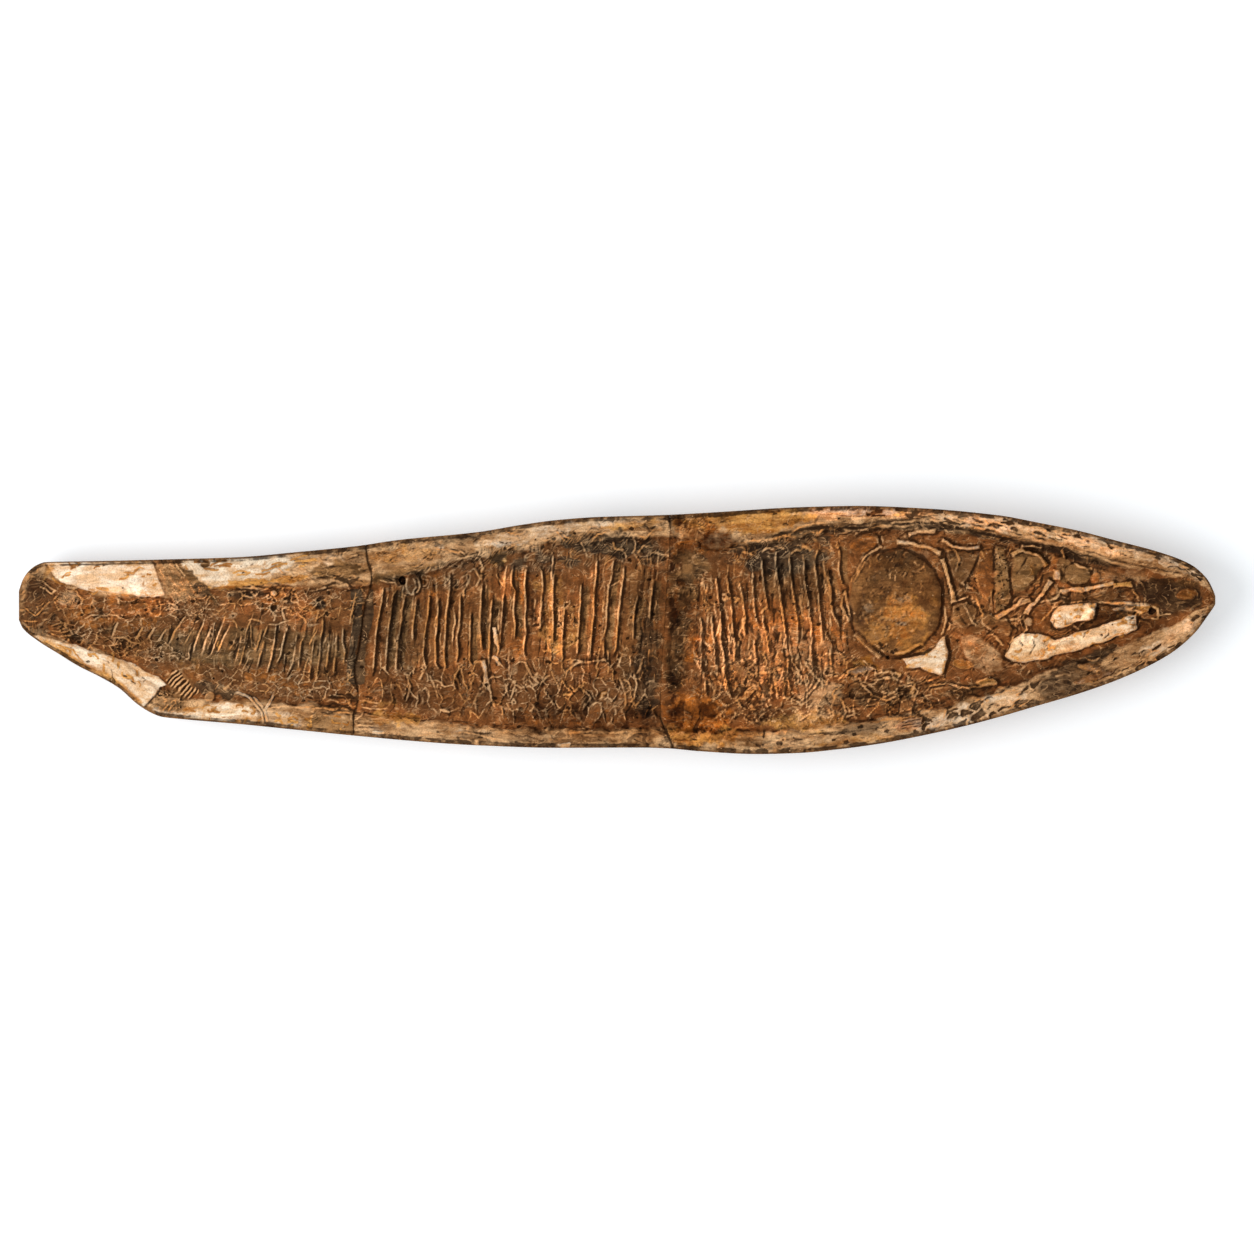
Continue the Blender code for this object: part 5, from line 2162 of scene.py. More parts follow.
    def small_marks(self) -> list[Feature]:
        """Pits, pinholes and scratches.

        Returns:
            The features, in the order they are carved.
        """
        return [
            Pits(self.upper_rim, 5.5, 0.45, 0.4, 0.3, salt=211),
            Pits(self.lower_rim, 5.0, 0.5, 0.4, 0.35, salt=212),
            Pits(self.upper_band, 5.0, 0.5, 0.5, 0.4, salt=213),
            Pits(self.flank, 5.0, 0.5, 0.7, 0.35, 1.2, salt=214),
            Plate(oval(-151.8, 24.4, 2, 1.6, 20), -0.5, 1.2, Coat.OLIVE, 0.7, line=0.4),
            *lines((
                ((-184.4, -12.6), (-183, -14.6)), ((-188.4, -11.6), (-187.6, -12.6)),
                ((-179.6, -18.6), (-177.6, -20)), ((-187, -13), (-186.4, -17.4), (-184.6, -19.4)),
                ((-176, -17.4), (-174, -18.4), (-175, -19.6)), ((-139.2, 23.2), (-138.6, 23.4)),
                ((-136.8, 23.4), (-136.2, 23.5)), ((-135.4, 23.8), (-133.6, 24.4)),
                ((-148.6, 25.2), (-148, 25.4)), ((-113.6, 26.2), (-113, 26.4)), ((-105.4, 20.8), (-105, 21)),
                ((-174.6, -28.4), (-170.6, -25), (-168.6, -21.8)), ((-182.6, 15.2), (-181.6, 15.2)),
            ), 0.5, -0.28, 0.9),
        ]


@dataclass
class MiddleBlock(StoneBlock):
    """The middle block: upright flank scales between a tan back rim and a net of small belly scales."""

    name: str = "middle_stone"
    node: str = "middle_block"
    columns: int = 310
    rows: int = 250
    left: Path | None = SlabPlan.tail_break
    right: Path | None = SlabPlan.neck_break
    right_gape: Path = SlabPlan.neck_gape

    belly_net: Path = (
        (-92, -13), (-70, -13), (-30, -10), (4, -9), (15, -10), (16, -32), (0, -34), (-50, -33), (-70, -31),
        (-92, -26),
    )
    back_net: Path = (
        (-88, 20), (-72, 22), (-60, 27), (-44, 31), (-24, 33), (0, 35), (17, 34), (17, 24), (0, 24),
        (-20, 21), (-40, 21), (-60, 14), (-80, 13),
    )
    flank: Path = ((-90, 16), (-60, 20), (-30, 25), (16, 27), (16, -11), (-90, -14))
    crests: tuple[Path, ...] = (
        ((-86.4, 16), (-87, 10), (-88, 5), (-88.8, 0), (-89.5, -8), (-90, -15)),
        ((-81.4, 15.4), (-83, 11.4), (-83.6, 5), (-84.5, 0), (-85, -8), (-85.6, -15)),
        ((-78.4, 13), (-79, 9), (-79.8, 3), (-80.6, -2), (-81.3, -8), (-81.6, -15)),
        ((-74.4, 12), (-74.6, 7), (-75.4, 0), (-75.4, -4)),
        ((-69.4, 12.6), (-69.6, 8), (-70.6, 2), (-71, -3), (-71.5, -9), (-70.6, -14)),
        ((-66, 12), (-66.3, 3), (-67, -4), (-67, -12), (-65.6, -14.6)),
        ((-61.6, 20.6), (-62, 13), (-63, 7), (-63.3, 0), (-63.8, -8), (-63.4, -14)),
        ((-58, 13), (-58.2, 3), (-59, -3), (-58.8, -9), (-59.6, -12)),
        ((-54, 6.4), (-54.3, 0), (-54.5, -6), (-54.5, -11), (-53, -14)),
        ((-50, 17), (-50.3, 10), (-50.6, 3), (-50.2, -3), (-50, -8)),
        ((-46, 12.6), (-46.5, 6), (-47, 0), (-47, -6), (-47.5, -9.4)),
        ((-42, 13), (-42.5, 5), (-43, 0), (-43.4, -7)),
        ((-38.4, 24), (-39, 18), (-37.8, 14), (-38.3, 8), (-37.8, 2), (-38, -4)),
        ((-33.5, 22.6), (-34, 17), (-33.7, 10), (-34, 3), (-33.5, -1), (-34.5, -6), (-34, -10.4)),
        ((-28, 23), (-27.5, 16), (-28, 10), (-28.4, 5), (-28.4, 0)),
        ((-23.4, 21), (-23.7, 14), (-23.8, 8), (-23.5, 2), (-23.8, -5)),
        ((-19.4, 8), (-20, 0), (-20.3, -5), (-20, -11)),
        ((-13.4, 17), (-13.5, 10), (-14, 4), (-14.5, -2), (-14.5, -9)),
        ((-7.4, 26), (-8, 18), (-8.5, 12), (-8.7, 6), (-9.3, 0), (-9.8, -6), (-9.8, -12)),
        ((-1.4, 26), (-2, 20), (-3.2, 15), (-3.8, 8), (-4, 2), (-5, -3), (-5, -9.6)),
        ((2.4, 24), (2.2, 20), (1.5, 15), (1, 10), (0.5, 5), (0, 0), (-0.5, -6), (-2, -10)),
        ((7.5, 12.6), (6.5, 8), (6, 3), (5.8, -4)), ((13.5, 19), (12.8, 14), (12.2, 9), (12, 3)),
    )

    def features(self) -> list[Feature]:
        """What is carved into the middle block's face.

        Returns:
            The features, in the order they are carved.
        """
        return [
            *self.ground(), *self.stains(),
            ScaleRow(self.crests, 0.55, 0.85, 0.22, 0.95, olive=0.7), *self.bones(),
            *self.small_marks(),
        ]

    def ground(self) -> list[Feature]:
        """The flank's streaks and the nets of small scales on the back and the belly.

        Returns:
            The features, in the order they are carved.
        """
        back_band, belly_band = self.rim(-93, 19, (11, 7), True), self.rim(-97, 20, (11, 8), False)
        return [
            Combed(self.flank, 88, 1.2, 8, 0.2, 0.42, salt=307),
            CellNet(self.belly_net, (4.4, 9.0), 3, 0.6, 0.07, 0.7, 0.65, kept=0.6, salt=301),
            Layers(self.belly_net, 5.6, 2.0, 1.8, 75, 0.15, 0.25, 0.4, 0.3, salt=321),
            CellNet(oval(-27, -25, 20, 7, 0), (4.6, 4.4), 45, 0.4, 0.05, 0.5, 0.35, kept=0.8, salt=304),
            Layers(self.back_net, 6.0, 2.2, 2.2, 50, 0.26, 0.45, 0.6, 0.5, salt=322),
            Layers(back_band, 5.0, 2.6, 2.8, 7, 0.14, 0.4, 0.45, 0.4, 1.5, salt=323),
            Layers(belly_band, 5.0, 2.4, 3.0, -4, 0.14, 0.35, 0.45, 0.4, 1.5, salt=324),
            CellNet(oval(-21, 2, 9, 10, 0), (1.6, 2.2), 0, 0.3, crest=0.5, tones=0.5, open_share=0.12,
                    salt=305),
            Shards(self.belly_net, 80, 84, 26, (2.0, 7.5), 0.3, crest=(0.3, 0.9), dark_share=0.5, salt=361),
            Shards(self.back_net, 50, 60, 80, (1.5, 5.0), 0.6, crest=(0.2, 0.7), dark_share=0.5, salt=362),
            Shards(self.flank, 110, 86, 14, (1.5, 6.0), 0.12, (0.4, 0.6), 0.3, (0.2, 0.8), 0.5, 363),
            Shards(self.flank, 56, 87, 4, (5, 15), 0.05, (0.4, 0.55), 0.4, (0.3, 0.85), 0.5, 366),
            Shards(belly_band, 60, -3, 16, (3, 9), 0.15, crest=(0.2, 0.7), dark_share=0.6, salt=364),
            Shards(back_band, 70, 8, 26, (3, 9), 0.4, crest=(0.2, 0.6), dark_share=0.6, salt=365),
        ]

    def stains(self) -> list[Feature]:
        """Where the stone is olive, gold, rusty, sooty, pale or dark.

        Returns:
            The features, in the order they are carved.
        """
        return [
            Patch(self.belly_net, Coat.WARMTH, -0.4, 3.0),
            Patch(self.back_net, Coat.WARMTH, -0.6, 3.0),
            Stains(Coat.WARMTH,
                   ((-80, 1, 11, 15, 0, -0.5), (0, -38, 20, 4, 0, 0.5), (-40, -38, 12, 4, 0, 0.3)), 4.0),
            Stains(Coat.TONE, (
                (-70, 3, 22, 15, 0, -0.25), (-21, 2, 10, 12, 0, 0.2), (-68, -22, 22, 8, 0, -0.25),
                (-14, -32, 28, 5, 0, -0.4), (3, -37.6, 17, 3, 0, -0.4), (-41, 17, 4, 6, 0, 0.3),
                (-32, -38.6, 8, 3, 0, -0.4), (-20, 36, 9, 3, 8, -0.15), (-56, -38.6, 12, 2.6, -4, -0.3),
                (-12, -40.6, 30, 3.4, 0, -0.2), (11.5, -3, 33, 6, 88, -0.5), (-44, 26.4, 3.4, 2.4, 20, -0.4),
                (-79, 20, 13, 3, 12, -0.3),
            ), 2.5),
            Stains(Coat.OLIVE, (
                (-78, 21.4, 15, 2.2, 12, 0.75), (-44, 26.4, 3.6, 2.4, 20, 1.0), (-76, -2, 13, 13, 0, 0.4),
                (8, 0, 26, 9, 88, 0.45), (-52, 2, 6, 12, 0, 0.36),
            )),
            Stains(Coat.OCHRE, (
                (-88, -27, 8, 1.6, -4, 0.5), (-82, -32.6, 10, 2.4, -6, 0.7), (-21, 2, 9, 11, 0, 0.4),
                (-38, 30, 12, 1.8, 8, 0.3), (-79, 27.6, 13, 3.4, 4, 0.45), (3, 38.4, 13, 1.8, 6, 0.55),
                (-25, 17, 7, 5, 0, 0.34),
            )),
            Stains(Coat.TAN, ((-18, 5, 4, 5.4, 0, 0.4), (-37, 29.4, 12, 1.6, 8, 0.6))),
            Stains(Coat.CREAM, (
                (-64.4, 30.4, 2, 1.2, 0, 0.6), (-24, 36, 28, 2.8, 9, 0.5), (4, 39.6, 14, 1.6, 4, 0.36),
                (-52, -38.4, 10, 2.4, -4, 0.36), (-84, -36.4, 10, 2, -6, 0.3),
            )),
            Stains(Coat.RUST, (
                (-18, -32.4, 24, 3.6, 0, 0.38), (-68, 18, 7, 3.4, 85, 0.4), (-35, 16, 8, 3, 90, 0.46),
                (-36.6, -3.6, 6, 3.4, 90, 0.36), (-16.4, 16, 5, 2, 90, 0.3), (13, 0, 5, 4, 60, 0.3),
            )),
            Stains(Coat.SOOT, (
                (-71, 22.2, 8, 1.2, 14, 0.85), (-44, 26.6, 3, 1.4, 20, 0.6), (19, 41.6, 3, 2, -30, 1.0),
            ), 0.8, 0.8),
            Stains(Coat.SOOT, (
                (-58, 33.4, 9, 2, 12, 0.6), (-56, 24.6, 5.4, 2.6, 10, 0.4), (-35.4, 25.6, 4.4, 2, 25, 0.7),
                (-22, 26, 9, 1.8, -4, 0.66), (-4, 31.6, 16, 4.4, -4, 0.85), (12, 28, 6, 5.4, 0, 0.5),
                (-34, 22.6, 15, 2.4, 0, 0.4), (12, 38, 4, 0.9, 0, 0.6), (11, -15, 20, 5.4, 88, 0.55),
                (16.4, 28, 8, 3, 88, 0.4),
            )),
            Stains(Coat.SHADE_AND_DIRT, (
                (-94.4, -5, 15, 2.2, 84, 0.35), (-0.6, 27.4, 2.8, 1.6, 0, 0.5), (19, 41.6, 3, 2, -30, 0.4),
                (-48.8, 5, 11, 1, 90, 0.5), (-43.4, 7, 6, 1.5, 80, 0.35), (-82.4, 4, 10, 1.2, 86, 0.35),
                (-77.8, -4, 8, 1.4, 90, 0.35), (-30.6, 12, 10, 1.6, 88, 0.4), (-66, 2, 10, 1.2, 88, 0.3),
                (-12, 8, 9, 1.2, 88, 0.25), (17, -37, 6.6, 2, -60, 0.5),
            ), 0.8, 0.8),
        ]

    def bones(self) -> list[Feature]:
        """Pieces that stand out between the scales, the back and the belly.

        Returns:
            The features, in the order they are carved.
        """
        return [
            Plate(((-94, 15.4), (-90, 15), (-89.6, 6), (-91, 0), (-92.6, -6), (-93, -20), (-97, -21),
                   (-97, -4)), 0.3, 0.7, Coat.SOOT, 1.0, line=0.4, clean=False),
            Plate(((-46, 1), (-44.4, 1), (-43.6, -4), (-43.8, -8), (-45.4, -4)), 0.8, 0.5, Coat.CREAM, 0.9,
                  line=0.3),
            bone(((-49.4, -11.4), (-48.8, -15.6), (-48, -19.8)), 2.2, 0.8, amount=0.5),
            # A sunk hole, painted dark as the shade in it
            Plate(oval(-79.2, 18.2, 1.4, 1.8, 0), -1.8, 0.7, line=0.6, tone=-1.0, clean=False),
            Plate(oval(-75.4, 17, 3, 4.2, 0), 0.6, 1.0, Coat.SOOT, 0.4, lip=0.8, line=0.5),
            *lines((((-46, -9.6), (-44.2, -10.6), (-43, -13.4)), ((-22.4, -42.4), (-17, -42)),
                    ((-90.6, -38.2), (-86, -38.2))), 0.9, 0.7, 1.3, coat=Coat.CREAM),
            *lines((
                ((-47, -19), (-46.4, -25), (-44.6, -29.6)),
                ((-48, -20), (-51, -22), (-52.6, -27), (-51.4, -31.6)),
                ((-57.6, 18.6), (-55.4, 20), (-54.6, 17.4), (-56.8, 14.4), (-57, 11.4)),
                ((-55, 21), (-52.4, 22.6), (-50.6, 19.4), (-52.4, 16)),
                ((-44.6, 21), (-43, 17.6), (-42, 16)),
                ((-60, 26), (-54, 27.6), (-50.6, 26.6), (-49.6, 23), (-50.2, 18)),
                ((-64, 28.4), (-58, 28.8), (-56, 27.8)), ((2.4, 34.6), (6.4, 35), (10, 34), (13.4, 36.4)),
                ((5.6, 35), (7, 31.6), (6, 28.4), (8, 25.6), (8.8, 21)), ((7.4, 28), (10, 31.4), (13.6, 30)),
                ((12, 28.6), (17, 27.8), (20.4, 27.4)), ((-17.2, 30), (-17, 26.6)),
                ((-1.6, 33), (-0.8, 30), (2, 29.4), (3.4, 26)), ((-13.4, 33), (-12, 29.6), (-11, 26.6)),
                ((-20, -19.6), (-18.4, -15), (-14, -12.2), (-6, -11), (-1, -10.6)),
                ((1, -17), (2, -22), (3.4, -28.6)), ((6.4, -15.6), (7, -20), (6.4, -26), (5.6, -29)),
                ((-66, -29), (-62, -30.4), (-57.6, -28.2)), ((-34, -12), (-32, -17), (-28, -20), (-24, -16)),
                ((-14, -20), (-10, -25), (-13, -30)), ((-78, -16), (-76, -21), (-78, -27)),
                ((-70, -16), (-67, -21), (-66, -26)), ((-60, -16), (-58, -22)),
            ), 0.75, 0.6, 0.85),
            *lines((
                ((-75.2, 19.6), (-74.4, 16), (-75.6, 13.2)), ((-73.4, 19), (-73, 16), (-74, 13.6)),
                ((-88, 18.4), (-84.6, 17.4), (-81.6, 17.6)), ((-21, 36.2), (-18.8, 34), (-17.6, 33.6)),
                ((-26.8, -2), (-25.6, -5), (-25.4, -7), (-27, -7.6), (-28.4, -6.6)),
                ((-22.4, 36.4), (-18.6, 31.8)), ((-3.6, 17.4), (-3, 15.6), (1, 18), (2, 15)),
                ((-96.6, -30), (-93.6, -30.4), (-94, -32), (-96.4, -33.4)),
                ((-95, -28.4), (-88, -29.2), (-84, -28.8)), ((-94, -25.8), (-88, -26.8)),
                ((-59, -40.2), (-50, -41.4)), ((-60, -38), (-52, -38.2), (-44, -40.6)),
                ((-17, -37.2), (-4, -37.6), (6, -37.4)), ((-13, -36), (-11.6, -36.8)),
            ), 0.65, 0.45, 0.95),
            *lines((((-6, -26), (-5.6, -23.6), (-3.6, -23)), ((-20.4, -23.6), (-16, -23.8)),
                    ((-42, 26), (-41.2, 25)), ((-45, 24.6), (-44.4, 23.8))), 0.9, 0.5, 1.1, coat=Coat.OCHRE),
        ]

    def small_marks(self) -> list[Feature]:
        """Pits, dark flecks between the scales, and the crack at the belly.

        Returns:
            The features, in the order they are carved.
        """
        whole = ((-98, 44), (22, 44), (22, -46), (-98, -46))
        flecks = (
            (-30.6, 7.6), (-29.2, 6.2), (-30.4, 4.8), (-29.4, 2.6), (-28.6, 0.4), (-31.6, 5.6), (-20.6, 3),
            (-19.6, -2),
        )
        return [
            Pits(whole, 7.0, 0.5, 0.7, 0.3, 1.3, salt=311),
            *lines(tuple(((u, v), (u + 0.3, v - 1.2)) for u, v in flecks), 1.0, -0.8, 1.2),
            *lines((((-94, -24.2), (-90, -25.2)), ((16, -32), (17.6, -36), (19.6, -40), (21, -43.4))), 0.6,
                   -0.5, 1.1),
        ]


@dataclass
class HeadBlock(StoneBlock):
    """The head block: the front of the flank, the round gill cover, the skull and the long jaws."""

    name: str = "head_stone"
    node: str = "head_block"
    columns: int = 440
    rows: int = 178
    left: Path | None = SlabPlan.neck_break
    left_gape: Path = SlabPlan.neck_gape

    crests: tuple[Path, ...] = (
        ((30.4, 5), (31.2, 1), (31, -6), (31, -12), (32.3, -18.5), (32.8, -25)),
        ((34.6, 6), (35, 1), (35.6, -3), (36, -9), (36.4, -14)),
        ((36.4, 20), (36.8, 14.8), (37.7, 9), (38.2, 1), (38.3, -4), (39.3, -10), (40.2, -18), (42, -25.4)),
        ((39.8, 21), (41.1, 15.7), (41.9, 10), (42.4, 5), (42.7, 0), (43.4, -6), (43.2, -12)),
        ((45, 17.4), (46.1, 13), (46.8, 7), (47.3, 3), (47.1, -2.4)),
        ((49.2, 20), (50, 16), (50.3, 10.5), (51, 6), (52.1, 1)), ((50.4, -3), (50.7, -8), (51.2, -12)),
        ((53.2, 26.6), (53.6, 21), (54.3, 15), (55.2, 10), (55.8, 6)),
        ((53.6, 6), (54, 2), (55.2, -2), (55.8, -9)),
        ((58.5, 29), (58.6, 24), (59, 20), (59.8, 15), (60.4, 10), (61.2, 5), (62, -2), (62.6, -9)),
        ((62.9, -11), (63, -17), (63.6, -23)), ((53.4, -17), (54, -21), (54.8, -25.6)),
        ((63.4, 28), (63.9, 22), (64.3, 17), (65.2, 11), (66, 6), (66.6, 1), (66.6, -5)),
        ((68.6, 27.4), (68.8, 22), (69.4, 16), (70.3, 11.5), (71, 5), (71.6, 0), (71.6, -8), (71.8, -15.6)),
        ((74, 30), (72.9, 25), (73.3, 20), (74, 15), (74.5, 9), (75.2, 2), (75.6, -5)),
        ((77.4, 23), (78, 18), (78.8, 13), (79.2, 7), (80.4, 4.4), (82, 1)),
        ((81.2, 32), (82.1, 28), (81.7, 23), (82.3, 19), (83.8, 15.6)),
        ((76.4, 0), (77.6, -3), (79, -6), (78.2, -11)),
    )
    neck: Path = ((18, 43), (34, 42), (30, 10), (31, -22), (44, -32), (40, -44), (18, -42))
    flank: Path = ((29, 20), (50, 24), (84, 26), (86, -10), (70, -24), (50, -25), (30, -24))
    belly_net: Path = (
        (30, -11), (70, -9), (84, -7), (96, -13), (120, -21), (112, -30), (96, -33), (76, -34), (56, -35),
        (36, -34),
    )
    throat: Path = (
        (84, -10), (96, -13), (122, -17), (150, -18), (130, -24), (112, -31), (90, -34), (78, -30),
    )
    back_net: Path = (
        (40, 33), (60, 36), (76, 38), (112, 38), (130, 36), (118, 32), (98, 31), (84, 28), (66, 27),
        (46, 24), (36, 24),
    )
    skull_bed: Path = ((120, 34), (160, 30), (200, 18), (196, 2), (150, -14), (122, -16))
    jaw_upper: Path = (
        (159.8, 3.4), (160.4, 6.4), (163.4, 9.2), (168, 9.6), (177.6, 10), (176.4, 7), (175.6, 4.4),
        (170, 3), (166.4, 1.4), (162, 0.4),
    )
    jaw_lower: Path = (
        (142.6, -10), (145, -6.6), (146, -3.4), (149, -1.2), (156.6, -1.6), (161.6, -3.6), (168, -1.4),
        (175, 0.6), (183, 3), (189, 5.8), (191.8, 6.4), (192.2, 0.4), (181, -4), (166, -8.6), (158, -10.6),
        (150, -12), (146, -11.8),
    )
    shoulder: Path = (
        (105, -10.4), (109, -10.2), (113.6, -9.2), (117, -6.6), (119.4, -3.6), (121.4, -2.4), (122, -8.4),
        (121, -15), (119.4, -16.6), (115.6, -15.6), (112, -13.6), (107.6, -13.8),
    )
    eye_plate: Path = (
        (146, 27.6), (149.4, 29.4), (155.6, 28.6), (158.6, 25.4), (155.6, 20.6), (150.6, 15), (146.6, 12.6),
        (145.4, 19),
    )
    brow: Path = ((139.6, 31), (143, 30.4), (144.4, 22), (145.8, 12), (142.6, 7), (139.6, 6.4), (139, 14))
    cheek: Path = (
        (126, -1.4), (131, -1), (137, -4), (141.6, -9), (143, -14.6), (137, -17), (130, -14), (127.4, -8),
    )
    snout: Path = ((192, 19), (206, 19), (215.6, 17.6), (217, 9), (206, 6), (196, 10), (191, 14))
    gill_centre: Point = (102.6, 10.2)
    gill_radius: float = 17.4

    def features(self) -> list[Feature]:
        """What is carved into the head block's face.

        Returns:
            The features, in the order they are carved.
        """
        return [
            *self.ground(), *self.stains(), *self.small_marks(),
            ScaleRow(self.crests, 0.5, 0.6, 0.22, 0.85, olive=0.5), *self.flank_marks(),
            Shards(oval(52, -11, 25, 14, 0), 110, 95, 24, (2, 6.5), 0.3, (0.45, 0.65), 0.5, (0.7, 1.2), 0.5,
                   489),
            *self.gill(), *self.skull(), *self.jaws(), *self.rims(),
        ]

    def flank_marks(self) -> list[Feature]:
        """Curls, torn edges and holes between the tall scales.

        Returns:
            The features, in the order they are carved.
        """
        holes = (
            (54.2, 0, 0.5, 0.4), (49.9, 8.6, 0.5, 0.9), (48, 8.2, 0.5, 0.4), (58.4, 7.1, 0.6, 1),
            (70.6, -0.1, 1, 0.5), (69.5, -2.7, 1, 0.9), (58.8, -1.6, 1.5, 1.7), (65, 4.1, 0.5, 1),
            (64.4, -4.8, 0.5, 0.7), (65.5, -8.9, 0.8, 0.6), (60.8, -7.2, 0.5, 0.5), (63.3, -10, 0.6, 0.4),
            (56.5, -18.5, 0.9, 1), (36.7, -17.8, 0.5, 0.8), (52, -17.8, 1.4, 0.7),
        )
        return [
            # The holes are only painted dark, as the shade in them
            Stains(Coat.SHADE_AND_DIRT, tuple((x, y, long, wide, 0, 0.9) for x, y, long, wide in holes), 0.4, 0.3),
            *lines((
                ((53.6, 28.6), (54.4, 29.8), (56.6, 30), (58, 29.8)),
                ((63, -10.6), (64, -14), (67.8, -17.2), (68, -21)),
                ((68.6, -11), (70.8, -15), (75, -19), (77.2, -21.4)),
                ((74.6, -19), (70.8, -22.8), (67.8, -26.2)), ((77.4, -11.4), (76.6, -16)),
                ((55.9, -21.6), (57.2, -25.4)), ((58.4, -21), (59.4, -25.8)), ((57.6, -15.4), (58, -20)),
                ((48, -14), (50.4, -16.4), (53, -15.6)), ((45.6, -3.4), (44.2, -5), (44.6, -8), (43.6, -11)),
                ((38.8, 12.4), (40.2, 13), (40.8, 11.4), (39.6, 10.6), (38.8, 12)),
                ((42.4, 12.2), (44.8, 11.6), (43, 9.8)), ((31.8, 11), (33.6, 9.6), (34, 8), (32.4, 6.4)),
                ((32, 20), (31.6, 17.4), (31.8, 15.6)), ((34.2, 10.8), (36, 9)),
                ((52.8, 6), (54.6, 7.8), (55, 8.6)), ((38, -4), (40.8, -4)),
                ((64, 28), (66, 29.6), (68, 29.4)), ((46, 29), (50, 27.6), (52.4, 26.6)),
                ((58, 31.4), (62, 29.6)), ((68, 31.6), (72, 29.4)),
            ), 0.75, 0.5, 1.1),
        ]

    def ground(self) -> list[Feature]:
        """The flank's streaks, the nets of small scales and the layers of the stone.

        Returns:
            The features, in the order they are carved.
        """
        back_band, belly_band = self.rim(21, 116, (8, 6), True), self.rim(21, 112, (8, 9), False)
        chin = ((104, -18), (140, -16), (160, -10), (190, 0), (186, -6), (150, -20), (112, -30))
        return [
            Combed(self.flank, 94, 1.5, 8, 0.2, 0.38, salt=471),
            Combed(chin, 22, 1.3, 7, 0.2, 0.45, salt=473),
            Layers(self.flank, 5.4, 1.8, 2.6, 94, 0.14, 0.2, 0.35, 0.3, salt=421),
            CellNet(self.belly_net, (6.4, 5.0), 20, 0.6, 0.05, 0.7, 0.6, kept=0.7, salt=402),
            Layers(self.belly_net, 6.4, 1.8, 1.8, 30, 0.2, 0.3, 0.4, 0.4, salt=422),
            Layers(self.throat, 8.0, 2.0, 1.9, 16, 0.3, 0.4, 0.6, 0.6, salt=423),
            Layers(self.back_net, 5.4, 2.4, 1.8, 0, 0.3, 0.5, 0.6, 0.5, salt=424),
            Layers(self.skull_bed, 7.5, 2.2, 1.5, 40, 0.4, 0.4, 0.5, 0.6, salt=425),
            Layers(back_band, 5.5, 2.0, 3.4, 3, 0.16, 0.35, 0.4, 0.35, 1.5, salt=426),
            Layers(belly_band, 5.5, 2.0, 3.4, 8, 0.18, 0.45, 0.45, 0.4, 1.5, salt=427),
            Layers(self.neck, 7.0, 2.2, 1.5, 80, 0.25, 0.25, 0.4, 0.6, salt=428),
            CellNet(self.neck, (2.6, 3.6), 20, 0.3, crest=0.35, tones=0.5, kept=0.4, salt=415),
            CellNet(oval(55, -20, 14, 6, 0), (4.4, 5.0), 0, 0.4, 0.06, 0.8, 0.4, kept=0.8, open_share=0.1,
                    salt=403),
            Shards(self.flank, 110, 95, 12, (2.0, 7.0), 0.12, (0.4, 0.6), 0.3, (0.25, 0.8), 0.45, 461),
            Shards(self.flank, 56, 94, 5, (5, 14), 0.06, (0.4, 0.55), 0.4, (0.4, 0.95), 0.45, 469),
            Shards(self.belly_net, 70, 60, 90, (2, 6), 0.5, (0.4, 0.7), 0.3, salt=462),
            Shards(self.throat, 60, 10, 50, (2, 8), 0.5, (0.4, 0.8), dark_share=0.4, salt=470),
            Shards(self.skull_bed, 70, 40, 90, (2, 6), 0.3, (0.4, 0.6), 0.3, (0.2, 0.8), 0.5, 463),
            Shards(chin, 80, 20, 30, (1.5, 6.0), 0.3, salt=464),
            Shards(self.rim(22, 214, (8, 4), True), 110, -6, 22, (2, 7), 0.3, crest=(0.2, 0.7),
                   dark_share=0.6, salt=465),
            Shards(self.rim(22, 214, (8, 7), False), 110, 14, 26, (2, 7), 0.3, crest=(0.2, 0.8),
                   dark_share=0.5, salt=466),
        ]

